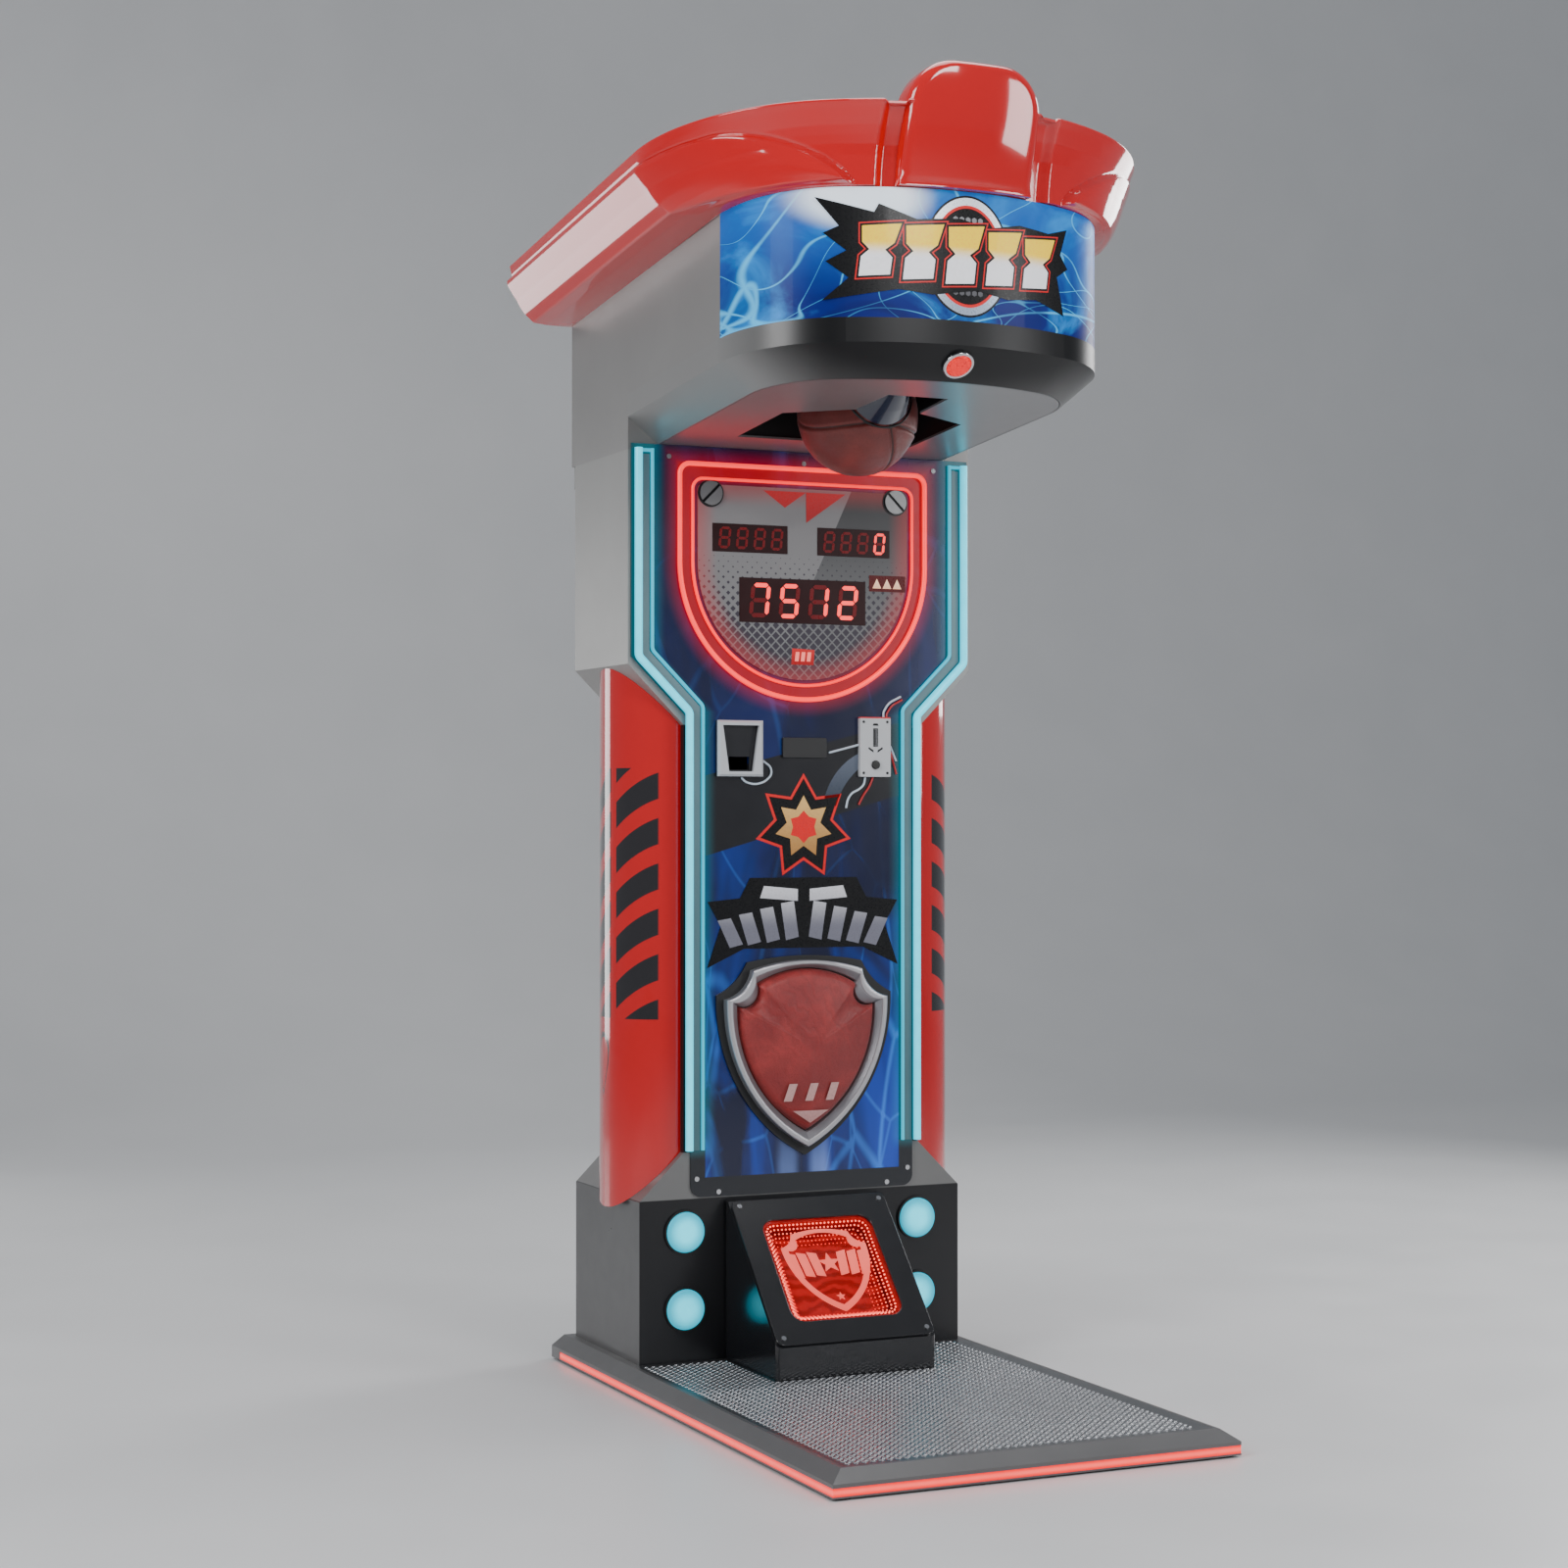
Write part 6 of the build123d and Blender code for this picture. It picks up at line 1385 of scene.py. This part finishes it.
def hood_points(half, reach, front_radius, corner_radius, rear):
    """Right half of the hood's plan outline, from the front's middle round to the rear's."""
    centre_y = front_radius - reach
    lean = math.asin((half - corner_radius) / (front_radius - corner_radius))
    corner_x = half - corner_radius
    corner_y = centre_y - (front_radius - corner_radius) * math.cos(lean)
    points = []
    for step in range(FRONT_STEPS):
        turn = lean * step / FRONT_STEPS
        points.append((front_radius * math.sin(turn), centre_y - front_radius * math.cos(turn)))
    for step in range(CORNER_STEPS):
        turn = lean + (math.pi / 2 - lean) * step / CORNER_STEPS
        points.append((corner_x + corner_radius * math.sin(turn),
                       corner_y - corner_radius * math.cos(turn)))
    points += [(half, corner_y + (rear - corner_y) * step / SIDE_STEPS)
               for step in range(SIDE_STEPS + 1)]
    points += [(half * (1 - step / REAR_STEPS), rear) for step in range(REAR_STEPS + 1)]
    return [Vector((x, CABINET_FRONT + y)) for x, y in points]


# Outward share and height share up the section, on the sides and on the front.
SIDE_SECTION = [(0.0, 0.0), (0.20, 0.012), (0.33, 0.045), (0.47, 0.20), (0.60, 0.42), (0.74, 0.56),
                (0.87, 0.68), (0.93, 0.78), (0.97, 0.87), (1.0, 1.0)]
FRONT_SECTION = [(0.0, 0.0), (0.03, 0.10), (0.08, 0.22), (0.16, 0.36), (0.28, 0.50), (0.42, 0.62),
                 (0.56, 0.73), (0.72, 0.83), (0.86, 0.92), (1.0, 1.0)]
SECTION_STEPS = 72
FLANGE = 0.036               # how far the crown's foot runs in under it, onto the head


def along_section(section, share):
    place = share * (len(section) - 1)
    low = min(int(place), len(section) - 2)
    part = place - low
    return [first + (second - first) * part
            for first, second in zip(section[low], section[low + 1])]


def ease(value, low, high):
    """Smooth step from zero at low to one at high."""
    part = min(1.0, max(0.0, (value - low) / (high - low)))
    return part * part * (3 - 2 * part)


WING_FRONT = -0.345          # where the wing ends at the front, and how long its rounded end is
WING_ROUND = 0.120
WING_TOP = 0.78


def wing_edge(y):
    """Height share at which the wing ends: high on the sides, down to the base at the front."""
    fall = min(1.0, max(0.0, (y - WING_FRONT) / WING_ROUND))
    return WING_TOP * math.sqrt(1.0 - (1.0 - fall) ** 2) if y > WING_FRONT else -0.2


def crown_swell(x, y, share):
    """How far the surface stands out: the wing and its groove, and the recess beside the lobe."""
    edge = wing_edge(y)
    wing = groove = belly = 0.0
    if edge > 0:
        wing = 0.012 * (1.0 - ease(share, edge - 0.030, edge + 0.010))
        groove = -0.0030 * math.exp(-((share - edge - 0.022) / 0.018) ** 2)
        belly = 0.010 * math.sin(math.pi * min(1.0, max(0.0, share / max(edge, 0.05))))
    recess = 0.0
    if y < 0:
        recess = -0.013 * ease(abs(x), LOBE_HALF - 0.006, LOBE_HALF + 0.004)
        recess *= 1.0 - ease(abs(x), RECESS_END - 0.010, RECESS_END)
    return (wing + groove + belly) * ease(share, 0.0, 0.05) + recess


outer_base = hood_points(half=0.375, reach=0.646, front_radius=0.660, corner_radius=0.235,
                         rear=0.296)
outer_rim = hood_points(half=0.4597, reach=0.690, front_radius=0.600, corner_radius=0.348,
                        rear=0.318)
front_share = [max(0.0, min(1.0, (CABINET_FRONT - 0.40 - point.y) / 0.16)) for point in outer_base]
rear_start = FRONT_STEPS + CORNER_STEPS + SIDE_STEPS + 1
crown = bmesh.new()


def crown_column(index, side):
    """Closed section at one place of the outline: up outside, over the rim and down inside."""
    base, rim = outer_base[index], outer_rim[index]
    flare = rim - base
    out = flare.normalized()
    is_front = front_share[index] if index < rear_start else 1.0
    points = []
    for step in range(SECTION_STEPS + 1):
        share = step / SECTION_STEPS
        side_out, side_up = along_section(SIDE_SECTION, share)
        front_out, front_up = along_section(FRONT_SECTION, share)
        outward = side_out + (front_out - side_out) * is_front
        upward = side_up + (front_up - side_up) * is_front
        flat = base + flare * outward
        swell = crown_swell(flat.x, flat.y, upward) if index < rear_start else 0.0
        swell *= 1.0 - ease(share, 0.95, 1.0)
        flat = flat + out * swell
        low, high = roof_height(base.y), rim_height(rim.y)
        points.append((flat.x, flat.y, low + (high - low) * upward + 0.001))
    dip = 0.0
    if index < FRONT_STEPS:
        dip = 0.006 * ease(abs(rim.x), LOBE_HALF, LOBE_HALF + 0.006)
        dip *= 1 - ease(abs(rim.x), 0.155, RECESS_END)
    top = Vector(points[-1]) - Vector((0, 0, dip))
    points[-1] = tuple(top)
    inward = Vector((-out.x, -out.y, 0)) * WALL
    for lean in (0.25, 0.5, 0.75):
        turn = lean * math.pi
        lift = Vector((0, 0, 0.0035 * math.sin(turn)))
        points.append(tuple(top + inward * (1 - math.cos(turn)) / 2 + lift))
    for step in range(SECTION_STEPS, 8, -6):
        x, y, z = points[step]
        points.append((x + inward.x, y + inward.y, z))
    foot = base - out * FLANGE
    points += [(foot.x, foot.y, points[0][2] + 0.010), (foot.x, foot.y, points[0][2])]
    return [crown.verts.new((side * x, y, z)) for x, y, z in points]


for side in (1, -1):
    columns = [crown_column(index, side) for index in range(len(outer_base))]
    for column, after in zip(columns, columns[1:]):
        for corner in range(len(column)):
            ring = (column[corner - 1], column[corner], after[corner], after[corner - 1])
            crown.faces.new(ring if side > 0 else ring[::-1])
bmesh.ops.remove_doubles(crown, verts=crown.verts, dist=1e-5)
bmesh.ops.recalc_face_normals(crown, faces=crown.faces)
crown_gloss = coated("red_gloss_crown", (0.66, 0.004, 0.006), 0.09, grain=14, mottle=0.06,
                     smudge=0.05, scuff=0.06, strength=0.03, Coat_Weight=1.0, Coat_Roughness=0.02)
crown_hood = new_piece("crown_hood", crown, crown_gloss)
keep_creases(crown_hood, 50)
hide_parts("crown")

LOBE_CORNER = 0.078
CORNER_X, CORNER_DROP = 0.0993, 0.0227      # the middle of the rounded corner, below the top
LOBE_RINGS = 26
LOBE_REACH = 0.384           # from the middle of the head to the lobe's front at its foot
LOBE_LEAN = 0.044
LOBE_DEPTH = 0.052
ROLL_SHARE, ROLL_DEPTH = 0.86, 0.016
lobe_top = crown_high.z
lobe_foot = roof_height(sign_low.y) + 0.001
lobe_edge = [(LOBE_HALF * (1 - step / 12), lobe_foot) for step in range(24)]
shoulder = lobe_top - LOBE_CORNER
lobe_edge += [(-LOBE_HALF, lobe_foot + (shoulder - lobe_foot) * step / 20) for step in range(20)]
lobe_edge += arc_points((-LOBE_HALF, lobe_top - LOBE_CORNER), (-CORNER_X, lobe_top - CORNER_DROP),
                        (-LOBE_HALF + LOBE_CORNER, lobe_top), 20)
lobe_edge += arc_points((-LOBE_HALF + LOBE_CORNER, lobe_top), (0.0, lobe_top + 0.0001),
                        (LOBE_HALF - LOBE_CORNER, lobe_top), 12)
lobe_edge += arc_points((LOBE_HALF - LOBE_CORNER, lobe_top), (CORNER_X, lobe_top - CORNER_DROP),
                        (LOBE_HALF, lobe_top - LOBE_CORNER), 20)
lobe_edge += [(LOBE_HALF, shoulder - (shoulder - lobe_foot) * step / 20) for step in range(20)]
lobe_middle = (0.0, 2.155)


def lobe_front(x, z):
    """Side outline of the lobe's front: leans out from the sign's edge as it rises, and a little back
    towards its sides.
    """
    rise = (z - lobe_foot) / (lobe_top - lobe_foot)
    lean = LOBE_LEAN * math.sin(min(1.0, rise) * math.pi / 2)
    return -(LOBE_REACH + lean) + 0.014 * (x / LOBE_HALF) ** 2


lobe = bmesh.new()
rings = []
for ring in range(LOBE_RINGS):
    share = 1.0 - (ring / LOBE_RINGS) ** 1.4
    row = []
    for x, z in lobe_edge:
        px = lobe_middle[0] + (x - lobe_middle[0]) * share
        pz = lobe_middle[1] + (z - lobe_middle[1]) * share
        edge = max(0.0, (share - ROLL_SHARE) / (1.0 - ROLL_SHARE))
        roll = ROLL_DEPTH * (1.0 - math.sqrt(max(0.0, 1.0 - edge ** 2)))
        if pz < lobe_foot + 0.02:
            roll *= (pz - lobe_foot) / 0.02
        row.append(lobe.verts.new((px, lobe_front(px, pz) + roll, pz)))
    rings.append(row)
back = [lobe.verts.new((x * 0.985, lobe_front(x, z) + LOBE_DEPTH, z if z < 2.2 else z - 0.001))
        for x, z in lobe_edge]
skin(lobe, [back] + rings)
lobe.faces.new(rings[-1])
lobe.faces.new(back)
bmesh.ops.recalc_face_normals(lobe, faces=lobe.faces)
crown_lobe = new_piece("crown_lobe", lobe, crown_gloss)
keep_creases(crown_lobe, 60)

# ---------------------------------------------------------------- beacon
# Small red lamp: a moulded lens with fine facets inside, snapped into a chrome ring that is
# pressed into the trim's sloped lower edge.


def facets(tree):
    spot = place_in_object(tree)[0]
    cells = node(tree, "TexVoronoi", {"Vector": spot, "Scale": 190.0}, feature="DISTANCE_TO_EDGE")
    return between(tree, cells.outputs["Distance"], 0.0, 0.22)


dress(glowing("beacon_light", (0.40, 0.002, 0.002), (1.0, 0.012, 0.008), 0.9, facets),
      "beacon_lens")

# ---------------------------------------------------------------- swing arm and ball
# Welded arm in glossy midnight-blue paint, with a black rubber lip where the ball sits in its cup.
# The ball is stuffed and covered in panels of red-brown hide, sewn edge to edge.
dress(coated("arm_paint", (0.006, 0.012, 0.040), 0.14, grain=120, mottle=0.3, smudge=0.08,
             scuff=0.1, strength=0.04, Coat_Weight=1.0, Coat_Roughness=0.04), "swing_arm")
ball_low, ball_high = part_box("punch_ball")
ball_centre = (ball_low + ball_high) / 2
pivot = Vector(next(joint for joint in frame["joints"] if joint["name"] == "arm_swing")["pos_m"])
BALL_RADIUS = (ball_high.x - ball_low.x) / 2
SEAM_HALF = 0.0026
SEAM_BOW = 0.378             # the seams' shape, in radii of the ball
SEAM_ALONG, SEAM_BACK = 0.62, 0.78
SEAM_CURVE, SEAM_SHIFT = 0.34, 0.10
arm_line = (Vector((0, ball_centre.y, ball_centre.z)) - pivot).normalized()
arm_side = Vector((1, 0, 0))
arm_back = arm_line.cross(arm_side)


def seam_distance(direction):
    """Distance to the nearest seam: two curved seams either side of the ball, and one round it."""
    along, across, back = [direction.dot(axis) for axis in (arm_line, arm_side, arm_back)]
    first = abs(across - SEAM_BOW * (1 - along ** 2) * (1 if back > 0 else -1))
    second = abs(along * SEAM_ALONG + back * SEAM_BACK - SEAM_CURVE * across ** 2 + SEAM_SHIFT)
    return min(first, second) * BALL_RADIUS


ball = bmesh.new()
bmesh.ops.create_icosphere(ball, subdivisions=7, radius=1.0)
for vertex in ball.verts:
    direction = vertex.co.normalized()
    gap = seam_distance(direction)
    dent = 0.0026 * math.exp(-(gap / SEAM_HALF) ** 2)
    ridge = 0.0009 * math.exp(-((gap - 0.0075) / 0.005) ** 2)
    pucker = 0.0004 * noise.noise(direction * 26) * math.exp(-gap / 0.02)
    pucker += 0.0005 * noise.noise(direction * 5)
    vertex.co = ball_centre + direction * (BALL_RADIUS - 0.0012 - dent + ridge - pucker)


def ball_seams(tree):
    """Dark line of thread and dust in the seams, in the same shape as the grooves."""
    spot = place_in_object(tree)[0]
    away = node(tree, "VectorMath", {0: spot, 1: ball_centre}, operation="SUBTRACT").outputs[0]
    along, across, back = [over(tree, along_line(tree, away, axis), BALL_RADIUS)
                           for axis in (arm_line, arm_side, arm_back)]
    sign = maths(tree, "SIGN", back)
    bow = times(tree, minus(tree, 1.0, times(tree, along, along)), SEAM_BOW)
    first = size_of(tree, minus(tree, across, times(tree, bow, sign)))
    tilt = plus(tree, times(tree, along, SEAM_ALONG), times(tree, back, SEAM_BACK))
    curve = times(tree, times(tree, across, across), -SEAM_CURVE)
    second = size_of(tree, plus(tree, plus(tree, tilt, curve), SEAM_SHIFT))
    return between(tree, maths(tree, "MINIMUM", first, second), 0.008, 0.022, 0.85, 0.0)


ball_leather = leather("ball_leather", (0.30, 0.036, 0.026), (0.19, 0.018, 0.013), 460,
                       seam=ball_seams, rough=0.36)
leather_ball = new_piece("leather_ball", ball, ball_leather, "arm")
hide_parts("punch_ball")

CUP_RADIUS = 0.0620
LIP_RADIUS = 0.0022
LIP_ALONG, LIP_OUT = 0.0035, 0.0012         # from the cup's edge to the middle of the lip
cup_along = (ball_centre - pivot).length - math.sqrt(BALL_RADIUS ** 2 - CUP_RADIUS ** 2)
lip = bmesh.new()
LIP_STEPS, LIP_SIDES = 96, 12
rings = []
for step in range(LIP_STEPS):
    turn = math.tau * step / LIP_STEPS
    out = arm_side * math.cos(turn) + arm_back * math.sin(turn)
    middle = pivot + arm_line * (cup_along + LIP_ALONG) + out * (CUP_RADIUS + LIP_OUT)
    section = ellipse((0.0, 0.0), LIP_RADIUS, 1.5 * LIP_RADIUS, LIP_SIDES)
    rings.append([lip.verts.new(middle + out * off + arm_line * along) for off, along in section])
skin(lip, rings, closed=True)
bmesh.ops.recalc_face_normals(lip, faces=lip.faces)
new_piece("cup_lip", lip, trim_black, "arm")

# ---------------------------------------------------------------- room, lights and camera
# Sheet of plain pale paper that lies on the ground and curves up far behind the machine.
# Six soft boxes stand round it, under a pale sky; the camera looks up a little from the left.
FLOOR_HALF = 9.0
WALL_Y, WALL_HIGH = 6.5, 9.0
BEND = 2.5
room = bmesh.new()
profile = [(-FLOOR_HALF, 0.0), (WALL_Y - BEND, 0.0)]
for step in range(1, 13):
    turn = step * math.pi / 24
    profile.append((WALL_Y - BEND + BEND * math.sin(turn), BEND - BEND * math.cos(turn)))
profile += [(WALL_Y, WALL_HIGH)]
edges = [[room.verts.new((x, y, z - 0.0005)) for y, z in profile]
         for x in (-FLOOR_HALF, FLOOR_HALF)]
for step in range(len(profile) - 1):
    room.faces.new((edges[0][step], edges[1][step], edges[1][step + 1], edges[0][step + 1]))
paper, tree = start_material("pale_floor")
spot = place_in_object(tree)[0]
fleck = noise_value(tree, spot, 3.0, 4.0)
end_material(tree, {"Base Color": blend(tree, fleck, rgba(0.70, 0.705, 0.71),
                                        rgba(0.76, 0.76, 0.765)),
                    "Roughness": between(tree, fleck, 0.2, 0.8, 0.36, 0.46)}, fleck, depth=0.0002)
floor = new_object("studio_floor", room, paper)

sky = bpy.data.worlds.new("pale_sky")
sky.use_nodes = True
sky.node_tree.nodes["Background"].inputs["Color"].default_value = rgba(0.80, 0.85, 0.92)
sky.node_tree.nodes["Background"].inputs["Strength"].default_value = 0.32
bpy.context.scene.world = sky


def soft_box(name, place, target, width, height, power, colour=(1.0, 1.0, 1.0)):
    """Rectangular light that faces a target."""
    light = bpy.data.lights.new(name, "AREA")
    light.shape = "RECTANGLE"
    light.size, light.size_y, light.energy, light.color = width, height, power, colour
    lamp = bpy.data.objects.new(name, light)
    lamp.location = place
    lamp.rotation_euler = (Vector(target) - Vector(place)).to_track_quat("-Z", "Y").to_euler()
    bpy.context.collection.objects.link(lamp)


soft_box("left_box", (-3.6, -1.4, 3.0), (0.0, 0.0, 1.6), 1.5, 2.2, 95)
soft_box("front_box", (0.7, -4.9, 3.6), (0.0, 0.0, 1.4), 1.4, 1.4, 85)
soft_box("top_box", (0.3, 0.2, 4.4), (0.0, 0.0, 1.0), 2.4, 2.4, 70)
soft_box("lobe_box", (3.1, -3.5, 2.0), (0.0, -0.4, 2.0), 0.9, 1.8, 45)
soft_box("rear_box", (-2.3, 4.0, 1.1), (-0.3, 0.0, 1.8), 1.2, 1.6, 22)
soft_box("right_box", (3.4, 1.4, 2.4), (0.0, 0.2, 1.3), 1.2, 2.2, 60)

lens = bpy.data.cameras.new("camera")
lens.lens = 65.04
lens.sensor_width = 36.0
camera = bpy.data.objects.new("camera", lens)
camera.location = (-2.185, -4.467, 1.023)
camera.rotation_euler = (math.radians(90.702), 0.0, math.radians(-24.378))
bpy.context.collection.objects.link(camera)
bpy.context.scene.camera = camera
